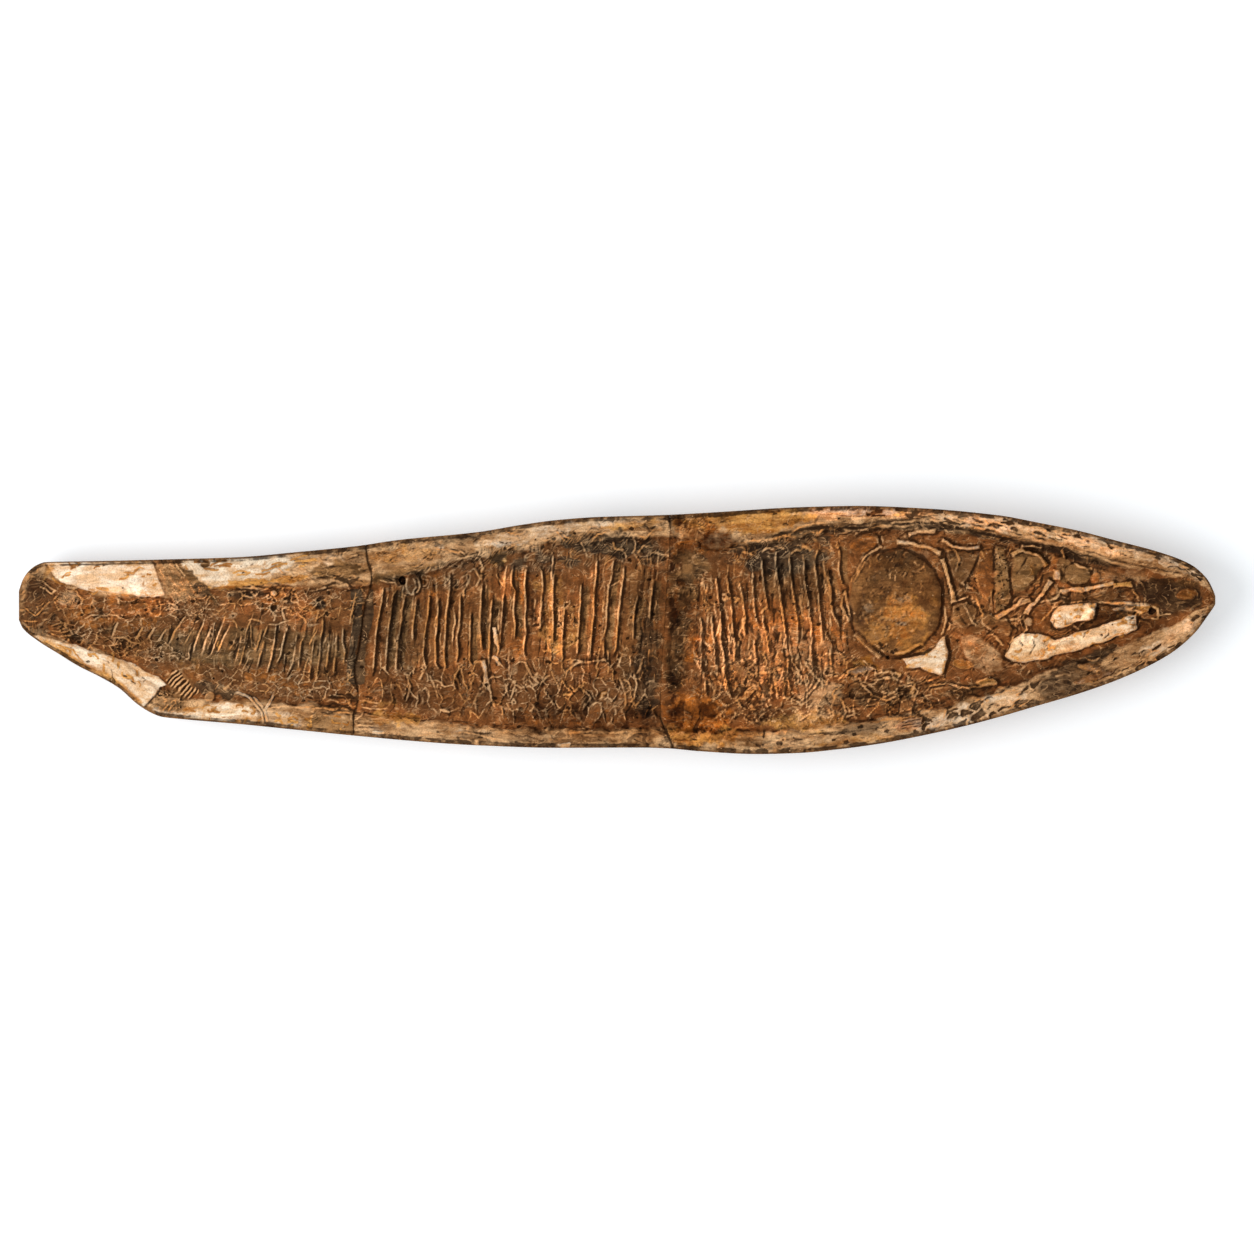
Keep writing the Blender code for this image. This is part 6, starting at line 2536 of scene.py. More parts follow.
    def stains(self) -> list[Feature]:
        """Where the stone is olive, rusty, sooty, gold, pale or dark.

        Returns:
            The features, in the order they are carved.
        """
        return [
            Stains(Coat.TONE, (
                (21, 3, 36, 4.4, 90, -0.4), (58, -8, 28, 20, 0, 0.32), (66, 17, 13, 10, 0, -0.4),
                (74, -32, 11, 4, 0, 0.15), (96, -24.6, 12, 6.4, 0, -0.35), (155, 9, 35, 16, -4, 0.15),
                (92, -6, 6, 8, 0, -0.12),
            ), 4.0),
            Stains(Coat.OLIVE, (
                (26, 20, 13, 6, 70, 0.7), (154, 12, 36, 15, -6, 0.45), (22, -6, 18, 5, 86, 0.6),
                (98, -24, 14, 6, -8, 0.5), (130, -22, 12, 3, 14, 0.6),
            ), 3.0, 3.5),
            Stains(Coat.RUST, (
                (31, 34, 12, 6.4, 0, 0.5), (22, 11, 8, 3, 85, 0.5), (28, -8, 7, 2.6, 85, 0.66),
                (29, -31, 13, 8, 0, 0.6), (57, -8, 28, 17, 0, 0.36), (155, 2, 34, 10, 8, 0.22),
            ), 2.5, 3.5),
            Stains(Coat.TAN, ((58, -10, 27, 13, 0, 0.4), (76, -24, 9, 6, 0, 0.6), (74, -32, 10, 3, 5, 0.7)),
                   3.0, 2.0),
            Stains(Coat.OCHRE, (
                (30, -38, 14, 5, 0, 0.75), (46, 40, 26, 4.6, 3, 0.7), (88, -41, 18, 2.4, 6, 0.5),
                (70, -34, 17, 4, 0, 0.5), (91, -13.6, 4.6, 3, -10, 0.7),
            ), 2.0, 2.5),
            Stains(Coat.SOOT, (
                (28, 20.6, 5, 3.6, 10, 0.5), (22.6, -4, 13, 3.4, 84, 0.4), (38, 26.6, 10, 3, 0, 0.45),
                (62, 25.6, 15, 6, 5, 0.66), (130, 26, 6, 6, 0, 0.42), (154, 3.6, 6, 4.4, 0, 0.4),
                (174, 22, 17, 2.6, -20, 0.5), (182, 12.6, 9, 1.4, 0, 0.3), (206, 8, 11, 3.4, 8, 0.5),
                (96, -26, 9, 3, -6, 0.45), (60, 31.4, 20, 3, 8, 0.75),
            ), 1.8, 2.2),
            Stains(Coat.SHADE_AND_DIRT,
                   ((26, -30, 5, 2, 0, 0.4), (60, -42.4, 34, 1.4, 1, 0.35), (50, -30, 10, 3, -6, 0.3))),
            CellNet(oval(50, -30, 12, 5, -6), (3.0, 6.0), 60, 0.35, 0.05, 0.7, 0.4, kept=0.8, salt=404),
            CellNet(oval(76, -31, 12, 4, 6), (4.0, 3.0), 20, 0.35, 0.06, 0.8, 0.4, kept=0.8, salt=405),
            Stroke(((30.4, 20), (30.2, 12), (29.6, 4), (29.8, -4), (31, -14), (31.4, -24)), 0.9, -0.5, 0.7),
            Stains(Coat.WARMTH,
                   ((62, 26, 18, 7, 5, -0.6), (130, 26, 14, 8, 0, -0.3), (154, 12, 34, 16, -6, -0.25)), 4.0),
            Stains(Coat.OLIVE, ((66, 18, 13, 9, 0, 0.5), (130, 12, 9, 16, 0, 0.45))),
        ]

    def gill(self) -> list[Feature]:
        """The round gill cover with its raised arc, its point and the plate beneath it.

        Returns:
            The features, in the order they are carved.
        """
        (cx, cy), radius = self.gill_centre, self.gill_radius
        disc = oval(cx, cy, radius, 1.12 * radius, 0, 30)
        return [
            Plate(((82, 34), (84, 20), (86, 8), (90, -9), (100, -12), (122, -10), (124, 12), (118, 33),
                   (98, 35)), 0.2, 2.0, line=0.2, tone=-0.15),
            Plate(disc, 0.5, 1.6, Coat.OLIVE, 0.6, dome=1.1, line=1.3, tone=-0.1),
            Patch(disc, Coat.POLISH, 1.0, 0.8, 0.2),
            Patch(disc, Coat.WARMTH, 0.4, 2.5, 1.2),
            Stains(Coat.OCHRE, ((105, 3, 11, 12, 0, 0.5), (96, -2, 7, 6, 0, 0.4), (112, 8, 5, 7, 0, 0.36)),
                   6.0, 6.0),
            Stains(Coat.RUST, ((104, 2, 10, 10, 0, 0.34),), 5.0, 5.0),
            Stains(Coat.SHADE_AND_DIRT,
                   ((107, 26, 9, 4, 0, 0.32), (100, -7, 4, 2, -20, 0.3), (92, 18, 3, 5, 0, 0.16)), 3.0, 3.0),
            Stains(Coat.SOOT, ((104, 28, 7, 2.4, -8, 0.4),)),
            Shards(oval(104, 24, 10, 6, 0), 30, 20, 80, (1.0, 3.4), 0.6, (0.4, 0.6), 0.1, (0.5, 1.1), 0.3,
                   490),
            Stains(Coat.TONE, ((103, 4, 12, 8, 0, 0.3), (92, 6, 4, 9, 0, -0.25)), 4.0, 4.0),
            Shards(oval(102, 6, 13, 8, 0), 90, 60, 60, (0.8, 3.4), 0.6, (0.4, 0.9), 0.1, (0.2, 0.7), 0.12,
                   487, Coat.TAN),
            CellNet(disc, (0.9, 0.8), 30, 0.05, crest=0.1, tones=0.3, kept=0.4, salt=416),
            CellNet(oval(101, 14, 13, 13, 0), (2.4, 2.0), 40, 0.05, 0.06, 0.3, 0.3, kept=0.5, salt=418),
            Stains(Coat.CREAM, (
                (94, 7.6, 2.6, 1.8, 0, 0.6), (105.8, 7.4, 2, 5.4, -14, 0.7), (101.6, 10.6, 4, 1.6, 20, 0.55),
                (96, -3, 5, 2, -40, 0.4),
            ), 1.2, 2.4),
            Stains(Coat.TAN, ((101, 19, 9, 6, 20, 0.4), (108, 27, 6, 3, 0, 0.4)), 3.0, 4.0),
            Shards(oval(102, 19, 13, 9, 0), 80, 40, 80, (0.8, 3.0), 0.4, (0.4, 0.5), 0.1, (0.3, 1.0), 0.3,
                   467),
            Shards(disc, 50, 90, 90, (0.4, 1.4), 0.2, (0.5, 0.7), 0.05, (0.4, 1.0), 0.2, 468),
            Pits(oval(100, -6, 4.4, 3, -40), 1.5, 0.5, 0.5, 0.6, 1.8, -40, salt=441),
            bone(((87.6, -1.4), (91, -5), (97, -10.4)), 2.0, 0.6, Coat.OLIVE, 0.5),
            *lines((
                ((85.4, 13), (86, 17), (88.4, 22), (91.6, 26.6), (95.6, 29.6), (98, 32)),
                ((82.8, 12.4), (84, 14), (85.2, 10), (86, 3)),
                ((82.8, 12.6), (83, 9), (84.4, 6), (85.6, 2.4)),
                ((120.6, 10), (121.2, 6), (121.6, 3.4), (120.8, 1), (119.6, -2.6)),
            ), 0.85, 0.9, 1.05),
            *lines((((87, 16.6), (89, 21.6), (92.4, 26), (95.4, 28.6)), ((94, -5), (97, -6.4), (99, -8.6))),
                   0.6, 0.5, 0.8),
            *lines((
                ((86.2, 10), (86.4, 4), (87.4, -0.6)), ((120.2, 20), (120, 14), (120.4, 9)),
                ((100.6, -10.6), (104.6, -10.2), (109, -9.6), (113.6, -8.4), (116.4, -6)),
                ((122.4, -3), (122.6, -10), (121, -18.6)),
            ), 0.9, -0.7, 1.2),
            Stroke(((102, -8.6), (106, -8), (110, -6.4), (113.4, -5.2)), 0.9, 0.5, 0.9, coat=Coat.OCHRE),
            # A sunk hole, painted dark as the shade in it
            Plate(oval(100, -10.3, 0.9, 0.7, 0), -1.2, 0.6, line=0.5, tone=-1.0),
            Plate(self.shoulder, 1.1, 0.8, Coat.CREAM, 0.9, line=0.7, lip=0.2),
            Shards(self.shoulder, 14, 60, 60, (0.8, 2.6), 0.9, (0.4, 0.7), 0.15, (0.0, 0.25), 0.2, 486,
                   Coat.OCHRE),
        ]

    def skull(self) -> list[Feature]:
        """The bones behind and round the eye, and the cheek.

        Returns:
            The features, in the order they are carved.
        """
        return [
            Plate(oval(91, 31.6, 6, 3.4, 30), 0.4, 1.0, Coat.RUST, 0.4, tone=-0.2),
            Plate(((121.4, 30), (126, 29), (133.4, 27.6), (131, 22), (126.6, 16.4), (124, 20)), 0.5, 1.0,
                  Coat.OLIVE, 0.5, line=0.7, lip=0.4, tone=-0.35),
            Plate(((134, 29), (138.6, 29.6), (139, 16), (137, 10), (134, 13), (132, 20)), 0.3, 1.0,
                  Coat.RUST, 0.35, line=0.7, lip=0.5, tone=-0.2),
            Plate(((124, 9), (129, 10.6), (133, 8), (131.6, 2), (127, 0.6), (123.6, 4)), 0.4, 1.0,
                  Coat.OLIVE, 0.5, line=0.8, lip=0.4, tone=-0.25),
            Plate(((134.6, 7), (139, 5), (143.6, 5), (146, 1), (144.6, -2), (139, -1), (134.6, 2)), 0.4, 1.0,
                  Coat.OLIVE, 0.3, line=0.7, lip=0.5, tone=-0.15),
            Plate(((149, 2), (157, -0.4), (158.8, 3.6), (160.4, 9.4), (154.6, 8), (152.6, 4.6)), -0.4, 0.8,
                  Coat.RUST, 0.3, line=0.7, tone=-0.3),
            Plate(((160.4, 27.4), (166, 26.6), (164, 20), (168, 15.6), (161.6, 16), (159.4, 22)), 0.2, 1.0,
                  Coat.RUST, 0.3, line=0.6, lip=0.3, tone=-0.1),
            Plate(((176, 22.6), (184, 21), (190, 18), (180, 17.6), (174, 17.4)), 0.3, 1.0, Coat.RUST, 0.35,
                  line=0.6, lip=0.4),
            Plate(self.brow, 0.8, 1.0, Coat.OLIVE, 0.85, line=0.8, tone=0.0),
            Pits(self.brow, 1.3, 0.34, 0.5, 0.6, 1.0, salt=421),
            Plate(self.eye_plate, 0.6, 1.4, Coat.OLIVE, 0.85, dome=0.5, line=0.8, tone=-0.12),
            Stains(Coat.OCHRE, ((153, 23, 4, 4, 0, 0.35),)),
            Plate(oval(165, 22.4, 3.2, 5, 0), 0.3, 1.0, Coat.OLIVE, 0.6, line=0.6, tone=-0.15),
            Plate(oval(170, 20.4, 4.8, 4, -14), 0.7, 0.9, Coat.OLIVE, 0.85, line=0.9, tone=-0.12),
            Plate(oval(176.4, 19.6, 2, 1.8, 0), 0.5, 0.7, Coat.RUST, 0.5, line=0.6),
            Plate(self.cheek, 0.7, 2.0, Coat.TAN, 0.55, dome=0.8, line=0.15, tone=0.12),
            Patch(self.cheek, Coat.RUST, 0.3, 2.0, 2.4),
            Plate(oval(127.6, -12.6, 4, 2, -8), 0.6, 0.9, Coat.OCHRE, 0.5, lip=0.4, line=0.5),
            Plate(oval(136.6, -19.2, 4.4, 1.6, 0), 0.6, 0.8, Coat.OCHRE, 0.6, lip=0.6, line=0.5),
            Plate(oval(90, -14.8, 5.4, 1.6, 6), 0.7, 0.8, Coat.CREAM, 0.4, lip=0.5, line=0.5),
            Plate(oval(152, 3, 1.6, 1.8, 20), 0.6, 0.6, Coat.CREAM, 0.5, line=0.6),
            bone(((103.4, 32.2), (109, 32), (115, 30.4), (119.6, 28.4)), 1.8, 0.8, amount=0.55),
            bone(((107.6, 35.2), (112, 36), (117.4, 36.6)), 1.8, 0.8),
            bone(((120, 26.6), (121.8, 21.6), (123.2, 16), (124.4, 10.4)), 2.0, 1.3, Coat.OCHRE, 0.75),
            bone(((123.4, 10), (126, 11), (129.6, 12.2)), 1.0, 0.9),
            bone(((120, 33), (124, 31), (129, 29.8), (134, 30.8)), 1.7, 0.9, amount=0.6),
            bone(((145.8, 27.8), (149.6, 29.6), (154, 28), (157.4, 25.2), (158.4, 23.6)), 1.8, 1.0,
                 Coat.OCHRE, 0.8),
            bone(((149, 30.8), (153, 31.2), (156.8, 30.2)), 1.2, 0.7),
            bone(((151, 5.8), (152.4, 9), (157, 13), (160.4, 18)), 2.2, 1.1),
            bone(((140, 4.4), (146, 8), (152.4, 11.4)), 2.0, 0.6, amount=0.35),
            bone(((162, 22.4), (162.2, 18.4)), 2.6, 0.7),
            *lines((
                ((96, 34), (96.6, 31.4), (97.6, 30.4)), ((97.6, 35), (98, 32)),
                ((140.6, 3.4), (146, 4.4), (150.4, 4.2)),
                ((150, 6.4), (150.4, 3), (151.4, 0), (149.6, -1.4)),
                ((127, 18), (128.6, 15.6), (131, 15.2), (132.6, 13.6)), ((128.4, 17), (130, 14.8)),
                ((132.4, 12), (133.6, 9.4), (135, 6), (134.6, 4.4)), ((137.8, 15), (138.2, 11), (137.4, 7)),
                ((127.6, 10), (129.4, 6.6), (130.6, 3.4), (133.4, 0.6)),
                ((122, 3.4), (123.4, 1.6), (122.4, -0.6)),
                ((137.4, -0.6), (139.6, -2.4), (142, -5.6), (143.4, -6)),
                ((143, -9.6), (144.6, -6), (146.2, -2.6), (149, -0.8)),
                ((112.6, -21.6), (116, -20.6), (122, -20), (130, -21.4), (140, -19.4)),
                ((163.6, 29.4), (165.4, 26.6)),
                ((66.6, -27.4), (70, -24), (72.6, -20.6), (75, -18), (77, -19.6), (79.4, -22.6)),
                ((80, -24), (83, -26.4), (84.4, -30), (82.6, -32.6)),
                ((90, -20), (94, -24), (100, -26), (104, -24)), ((124, 31), (126, 26), (125, 21)),
                ((134, 31), (136, 26)), ((147, 8), (150, 12)), ((176, 12), (182, 13.4)),
            ), 0.75, 0.6, 0.9),
            *lines((
                ((94.6, -16.6), (100, -15.6), (104.4, -16.4), (103, -17.8), (97, -18)),
                ((168.4, 25), (171, 23.4), (175.6, 22.4)),
                ((106, -19.6), (109.4, -20), (108.6, -23.6), (106.4, -24)),
            ), 0.9, 0.6, 0.95, coat=Coat.OCHRE),
            Stains(Coat.TONE,
                   ((152, 12, 30, 14, -4, 0.14), (126, -6, 10, 10, 0, 0.2), (150, 22, 9, 6, 0, -0.15)), 4.0),
            Stains(Coat.WARMTH, ((152, 8, 34, 18, -4, 0.3),), 4.0),
            *lines((
                ((151.4, 27.4), (149.6, 24), (147.4, 20)), ((125.4, 8.4), (127, 5), (129.4, 1.4)),
                ((138, -8), (141, -10), (144.4, -11.2), (147, -12.6)), ((126, 18), (128, 13), (131, 9)),
                ((141, 2), (138, 0), (136, -2)), ((158, 22), (156, 16), (152, 13)), ((168, 14), (163, 9)),
            ), 0.9, -0.55, 0.95),
        ]

    def jaws(self) -> list[Feature]:
        """The long jaws and the snout.

        Returns:
            The features, in the order they are carved.
        """
        return [
            Stains(Coat.SHADE_AND_DIRT, ((174, 4, 14, 4, 10, 0.7),), 1.0, 1.0),
            Plate(((162.6, 13.2), (170, 12.8), (180, 14.4), (189.6, 15), (188, 12), (180, 10.8),
                   (168, 10.6)), -0.4, 0.8, line=0.5, tone=-0.55),
            Plate(((175.6, 7.6), (177.4, 10), (184.6, 9.4), (190, 6.8), (184, 5.4), (179, 2.6), (172, 1),
                   (170.6, 2.6), (176, 4.6)), -0.5, 0.7, line=0.4, tone=-0.7),
            Plate(self.jaw_upper, 1.4, 0.7, Coat.CREAM, 1.0, line=0.65, lip=0.2),
            Plate(self.jaw_lower, 1.5, 0.7, Coat.CREAM, 1.0, line=0.65, lip=0.2),
            Pits(self.jaw_lower, 7.0, 0.4, 0.4, 0.3, salt=436),
            Stains(Coat.WARMTH, ((166, 0, 28, 11, 10, 0.25),)),
            Plate(((187, 9.4), (197, 8.8), (195.6, 6.2), (192.6, 5), (187.6, 5.8)), 0.5, 0.7, Coat.OCHRE,
                  0.6, line=0.4, tone=0.2),
            Stains(Coat.OCHRE, (
                (186.4, 2.6, 2.6, 1.2, 14, 0.9), (166, -5.4, 5, 2.2, 12, 0.42),
                (147, -10, 3.4, 1.6, -30, 0.4), (163, 7.6, 3, 1.2, 20, 0.4),
            ), 1.0, 1.6),
            Shards(self.jaw_lower, 44, 20, 70, (0.8, 3.4), 0.9, (0.4, 0.8), 0.15, (0.0, 0.25), 0.06, 484,
                   Coat.OCHRE),
            Shards(self.jaw_upper, 18, 0, 60, (0.8, 3.0), 0.9, (0.4, 0.7), 0.15, (0.0, 0.25), 0.06, 485,
                   Coat.OCHRE),
            bone(((164, 14), (167.6, 14.6), (172, 14.6)), 2.2, 0.9),
            bone(((171.8, 14.6), (176, 16), (183.4, 17.2)), 1.9, 1.0, amount=0.65),
            bone(((183, 16.2), (190, 17)), 2.2, 0.9, Coat.OCHRE, 0.7),
            *lines((
                ((180.6, 10.2), (189, 9.8), (197, 8.8)), ((183, 8), (187, 7.6), (191, 6.6)),
                ((184.4, 5.4), (187, 6.6), (191, 8.8)), ((186, 9), (190, 7.6), (194, 6)),
            ), 0.9, 0.7, 1.1, Coat.CREAM),
            # Sunk holes, painted dark as the shade in them
            *(Plate(oval(x, y, long, 0.7 * long, 20), -1.0, 0.6, line=0.5, tone=-0.9, clean=False)
              for x, y, long in ((197.4, 6.8, 1.7), (191, 6.1, 0.9), (190, 4.6, 0.6))),
            *lines((
                ((156.6, 2.6), (158.4, 5.4), (160.6, 8.4), (164, 9.4)),
                ((170.4, 0.4), (171.2, 2.4), (173, 3.6), (176, 4.4)), ((165, 1.6), (168, 1.8), (171, -0.4)),
                ((162.6, 10.4), (170, 10.2), (178, 10.4), (186, 10.2), (197, 9.6)),
                ((161, 11), (163.4, 13), (164.4, 15)), ((155, 10.4), (160, 11), (163, 12.4), (168, 11.4)),
                ((189.6, 15.6), (191, 13.4), (192.6, 11.6)),
                ((192, 1), (193.4, 3.6), (196.4, 2), (197.6, 0)), ((192, 19.4), (194, 16.4), (195.6, 13)),
                ((213, 16), (214.6, 13.6), (213.8, 10.4)),
            ), 0.75, 0.6, 0.95),
            *lines((
                ((184.6, 7.4), (187, 5.8), (190, 5.4)),
                ((196.6, 9.2), (199.4, 8), (200.2, 5.4), (199.6, 4), (196.6, 4)),
                ((199, 5.6), (202, 5.8), (204.8, 6)),
            ), 0.75, 0.7, 1.1, coat=Coat.OCHRE),
            *lines((
                ((160.4, 0.4), (161.6, 4)), ((172.4, -3.4), (172.6, -1.4), (174.4, 0)),
                ((179.4, -3), (181.6, -1.6), (181.4, 0.4)), ((153, -3), (154, -6), (152, -9)),
                ((148, -4), (150, -6)),
            ), 0.7, -0.35, 0.9),
            Stains(Coat.TONE, ((197, 2, 7, 3, 22, -0.5),)),
            Stains(Coat.TAN, ((186, 20, 12, 2.4, -8, 0.5),)),
            # The snout's hollow: sunk and sooty, with painted shade in it
            Plate(self.snout, -0.2, 1.0, line=0.2),
            Patch(self.snout, Coat.SOOT, 0.7, 1.2, 1.4),
            Patch(self.snout, Coat.SHADE_AND_DIRT, 0.6, 2.0, 1.6),
            Patch(self.snout, Coat.WARMTH, 0.4, 1.5, 1.2),
            Plate(oval(210.4, 13.2, 4, 2.2, 10), 0.4, 1.2, Coat.OCHRE, 0.45, dome=0.3, line=0.3, lip=0.25,
                  tone=-0.45),
            CellNet(oval(219, 12, 5.4, 1.8, 85), (0.9, 1.1), 0, 0.25, crest=0.5, tones=0.6, soft=0.6,
                    salt=417),
        ]

    def rims(self) -> list[Feature]:
        """The dark seam under the back rim, and the porous bone along both rims.

        Returns:
            The features, in the order they are carved.
        """
        snout_back, chin_rim = self.rim(116, 216, (7, 4), True), self.rim(174, 218, (9, 5), False)
        throat_rim = self.rim(112, 156, (8, 9), False)
        squiggles = {"bend": 0.3, "width": (0.4, 0.6), "crest": (0.4, 1.2), "dark_share": 0.5}
        return [
            Stroke(((44, 31.6), (60, 34.4), (76, 37), (100, 38.6), (118, 38.4), (134, 35.6), (160, 30),
                    (192, 20.6)), 2.2, -0.3, 0.35, 0, Coat.SOOT),
            *lines((
                ((56, 34.6), (72, 37.4), (86, 38), (96, 37.4)),
                ((80, 39.6), (90, 39), (102, 40.6), (112, 41)), ((122, 38), (136, 35.4), (148, 32.6)),
                ((150, 33.6), (166, 29.6), (180, 25.4), (190, 22)),
                ((170, 30), (180, 27), (190, 24.2), (200, 22.4), (212, 20)),
            ), 1.1, -0.6, 0.9),
            *lines((
                ((82, 42.4), (90, 43), (96, 41.8)), ((104, 43), (112, 41.6), (120, 42.6)),
                ((118, 40.4), (130, 39), (142, 38)), ((150, 40), (158, 37.6), (166, 33)),
                ((68, -38.8), (84, -37.8), (96, -36.2), (102, -35)), ((54, -40), (54.2, -36.6)),
            ), 0.75, -0.45, 0.9),
            *lines((
                ((84, 36.4), (92, 37), (100, 38.4), (112, 39)), ((100, 39.4), (104, 40.4), (110, 40)),
                ((66, -37.6), (80, -36.6), (92, -34.6), (104, -32.6), (112, -31.4)),
                ((43, -40), (42, -37.6), (44, -36), (50, -36.4)),
            ), 0.9, 0.55, 0.8),
            Stroke(((46, 33), (54, 33), (62, 35), (70, 38.6), (80, 40)), 0.9, 0.5, 0.6, coat=Coat.TAN),
            Plate(oval(90, 43.4, 20, 1.8, -1), 0.3, 1.0, Coat.CREAM, 0.42, line=0.3),
            Stains(Coat.CREAM, ((132, -30, 22, 4, 18, 0.5), (206, -2, 15, 3.4, 30, 0.45)), 1.2, 2.0),
            Patch(snout_back, Coat.CREAM, 0.45, 1.0, 2.2),
            Patch(chin_rim, Coat.CREAM, 0.22, 1.0, 2.0),
            Stains(Coat.SHADE_AND_DIRT, ((150, -17, 40, 3, 16, 0.35),)),
            Stains(Coat.SOOT, ((165, -19, 11, 7, 24, 0.55), (176, -10, 10, 2.4, 20, 0.7)), 1.4, 2.0),
            Stains(Coat.RUST, ((163, -19, 8, 6, 20, 0.3),)),
            Plate(oval(175, -14, 5, 1.4, -8), 0.4, 0.6, Coat.CREAM, 0.4, line=0.5),
            Plate(oval(176, -17.4, 8, 1.2, 16), 0.4, 0.6, Coat.CREAM, 0.35, line=0.5),
            Stroke(((161, -17), (165, -16.4), (168, -17.4)), 1.2, 0.3, 0.5, coat=Coat.TAN),
            Plate(oval(108, -34.8, 5.6, 3, 14), 0.5, 0.8, Coat.CREAM, 0.35, line=0.6, lip=0.3),
            *lines(tuple(
                ((104.4, -32.6 - 1.25 * n), (108.6, -32.2 - 1.25 * n), (112.6, -31.6 - 1.3 * n))
                for n in range(4)
            ), 0.45, -0.45, 1.0),
            CellNet(throat_rim, (5.0, 2.2), 22, 0.5, crest=0.5, tones=0.5, soft=0.8, open_share=0.34,
                    salt=407),
            CellNet(chin_rim, (4.6, 1.5), 28, 0.4, crest=0.6, tones=0.5, soft=0.8, open_share=0.16,
                    salt=409),
            CellNet(snout_back, (4.4, 1.2), -17, 0.35, crest=0.6, tones=0.6, soft=0.8, open_share=0.14,
                    salt=411),
            CellNet(self.rim(78, 114, (5, 5), True), (5.0, 1.4), 4, 0.3, crest=0.4, soft=1.0,
                    open_share=0.14, salt=413),
            Shards(snout_back, 150, -17, 14, (1, 6), salt=481, **squiggles),
            Shards(chin_rim, 110, 28, 18, (1, 6), salt=482, **squiggles),
            Shards(throat_rim, 60, 18, 24, (1, 5), salt=483, **squiggles),
            Stains(Coat.TONE, (
                (92, 43, 26, 2.6, 0, 0.45), (150, 36, 40, 3.6, -13, 0.3), (46, 41, 24, 3, 3, -0.2),
                (190, 27, 22, 3, -22, 0.1), (178, -13, 26, 6, 26, -0.22), (206, -1, 10, 2.4, 36, 0.25),
                (218, 10, 4, 9, 0, -0.2), (106, -35, 6, 3, 8, 0.18), (80, 43, 8, 2.4, 0, 0.2),
                (38, 32.4, 7, 4, 0, -0.7), (90, -36, 9, 3, 4, -0.45), (44, -39.6, 9, 3, 0, -0.3),
                (60, -39, 7, 3, 0, 0.2), (29, -31, 9, 5, 0, -0.35), (60, -32, 7, 3, 0, -0.2),
                (76, -32, 8, 4, 0, 0.2), (29, -7, 3, 6, 0, 0.4), (163, -20, 11, 4, 15, -0.15),
                (168, 5, 8, 3, 6, 0.12),
            )),
            Stains(Coat.RUST, ((218, 11, 4, 8, 0, 0.3), (38, 32, 6, 4, 0, 0.5)), 1.0, 1.0),
            Stains(Coat.WARMTH, (
                (150, 36, 70, 6, -16, 0.3), (196, -8, 30, 8, 30, 0.3), (28, 39, 8, 6, 0, 0.5),
                (36, -38, 17, 5, 0, 0.5),
            )),
        ]

    def small_marks(self) -> list[Feature]:
        """Pits of all sizes.

        Returns:
            The features, in the order they are carved.
        """
        return [
            Pits(self.rim(118, 214, (7, 4), True), 2.4, 0.45, 0.6, 0.4, 3.0, -17, salt=433),
            Pits(self.flank, 4.6, 0.5, 0.7, 0.4, 1.1, salt=434),
            Pits(self.skull_bed, 5.6, 0.5, 0.7, 0.3, 1.2, salt=435),
            Pits(self.rim(22, 112, (8, 5), True), 5.0, 0.5, 0.5, 0.4, salt=437),
            Pits(self.rim(22, 112, (8, 8), False), 4.2, 0.55, 0.6, 0.4, salt=438),
        ]


# ---------------------------------------------------------------------------------------------------
# Stage
# ---------------------------------------------------------------------------------------------------

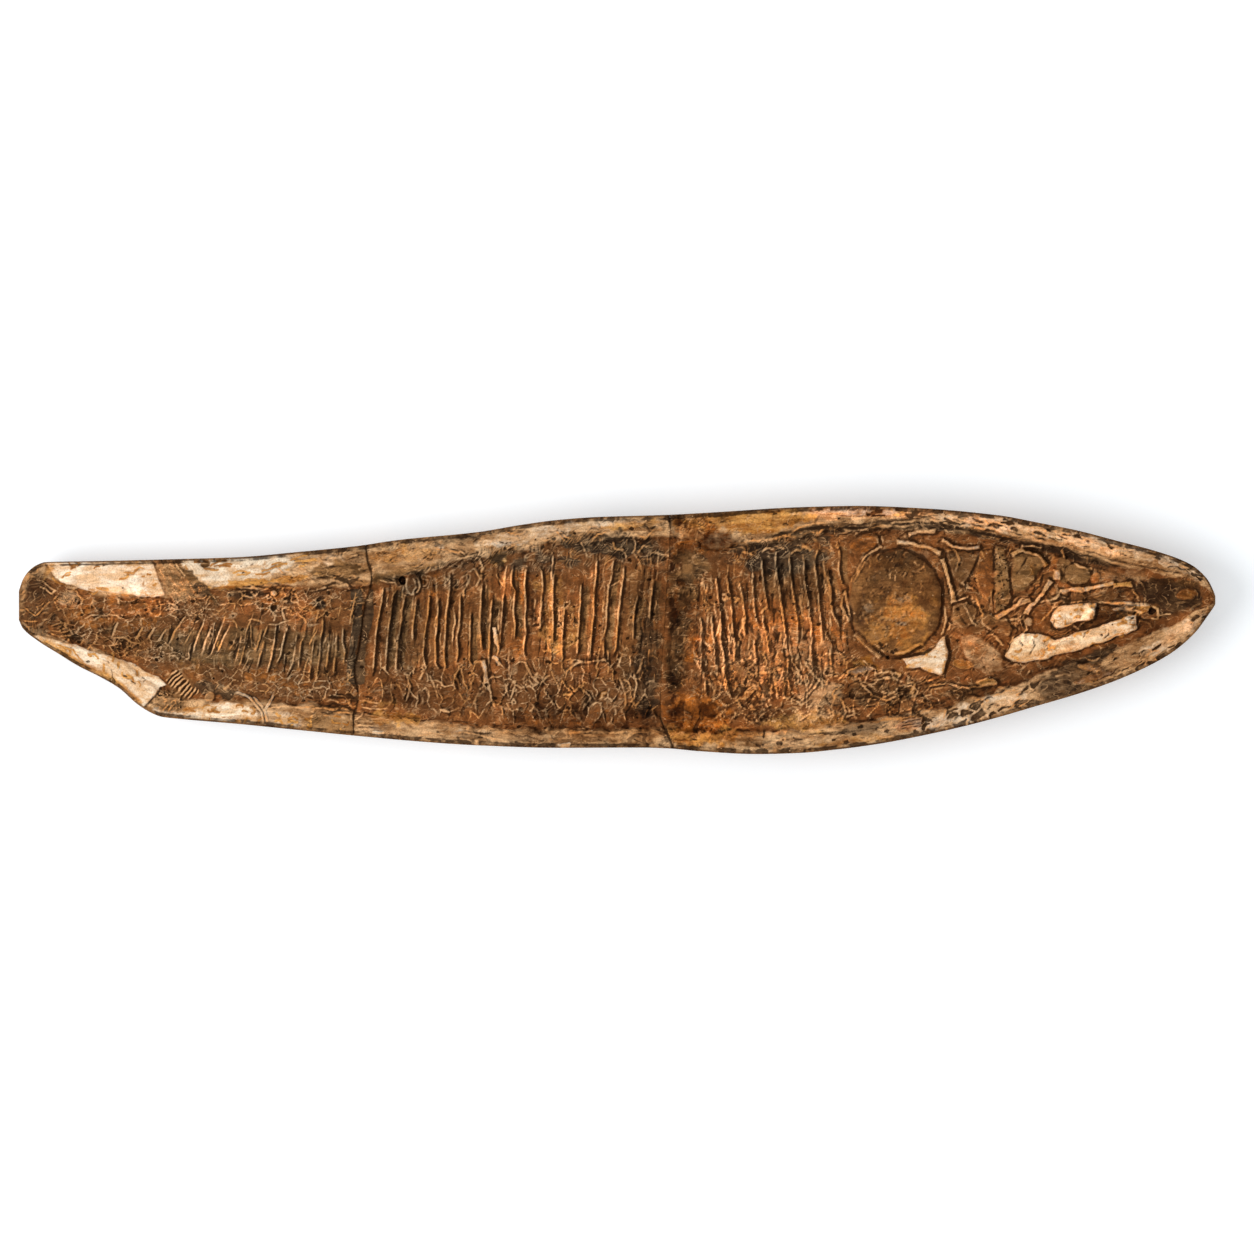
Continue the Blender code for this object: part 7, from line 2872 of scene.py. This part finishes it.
@dataclass(frozen=True)
class Studio:
    """The pale floor, soft light from the lower left, and the camera straight above."""

    floor_size: float = 6.0
    floor_colour: Colour = (0.888, 0.913, 0.935, 1.0)
    floor_roughness: float = 0.9
    floor_glow: float = 0.22
    sky: float = 0.74
    sky_colour: Colour = (0.96, 0.985, 1.0, 1.0)
    key_energy: float = 11.0
    key_size: float = 0.9
    key_place: tuple[float, float, float] = (-0.8, -0.15, 1.3)
    aim: tuple[float, float] = (0.0037, 0.0011)
    camera_height: float = 4.0
    top_level: float = 0.027
    view_width: float = 0.4627
    sensor: float = 36.0

    def build(self) -> None:
        """Makes the floor, the light and the camera."""
        scene = bpy.context.scene
        bpy.ops.object.select_all(action="DESELECT")
        bpy.ops.mesh.primitive_plane_add(size=self.floor_size, location=(0, 0, 0))
        floor = bpy.context.object
        floor.name = "floor"
        paint = bpy.data.materials.new("pale_floor")
        paint.use_nodes = True
        shader = paint.node_tree.nodes["Principled BSDF"]
        shader.inputs["Base Color"].default_value = self.floor_colour
        shader.inputs["Roughness"].default_value = self.floor_roughness
        shader.inputs["Specular IOR Level"].default_value = 0.0
        shader.inputs["Emission Color"].default_value = (1.0, 1.0, 1.0, 1.0)
        shader.inputs["Emission Strength"].default_value = self.floor_glow
        floor.data.materials.append(paint)

        world = bpy.data.worlds.new("studio_sky")
        world.use_nodes = True
        sky = world.node_tree.nodes["Background"]
        sky.inputs["Color"].default_value = self.sky_colour
        sky.inputs["Strength"].default_value = self.sky
        scene.world = world

        bpy.ops.object.light_add(type="AREA", location=self.key_place)
        key = bpy.context.object
        key.name = "key_light"
        key.data.energy = self.key_energy
        key.data.shape = "DISK"
        key.data.size = self.key_size
        key.rotation_euler = (Vector((*self.aim, 0)) - key.location).to_track_quat("-Z", "Y").to_euler()

        bpy.ops.object.camera_add(location=(*self.aim, self.camera_height), rotation=(0, 0, 0))
        camera = bpy.context.object
        camera.name = "camera"
        camera.data.sensor_width = self.sensor
        camera.data.lens = self.sensor * (self.camera_height - self.top_level) / self.view_width
        scene.camera = camera
        scene.view_settings.view_transform = "Standard"


def main() -> None:
    """Builds the three blocks and their stage."""
    logging.basicConfig(level=logging.INFO, format="%(name)s %(message)s")
    Studio().build()
    finish = StoneFinish().make()
    for block in (TailBlock(), MiddleBlock(), HeadBlock()):
        block.build(finish)


if __name__ == "__main__":
    main()
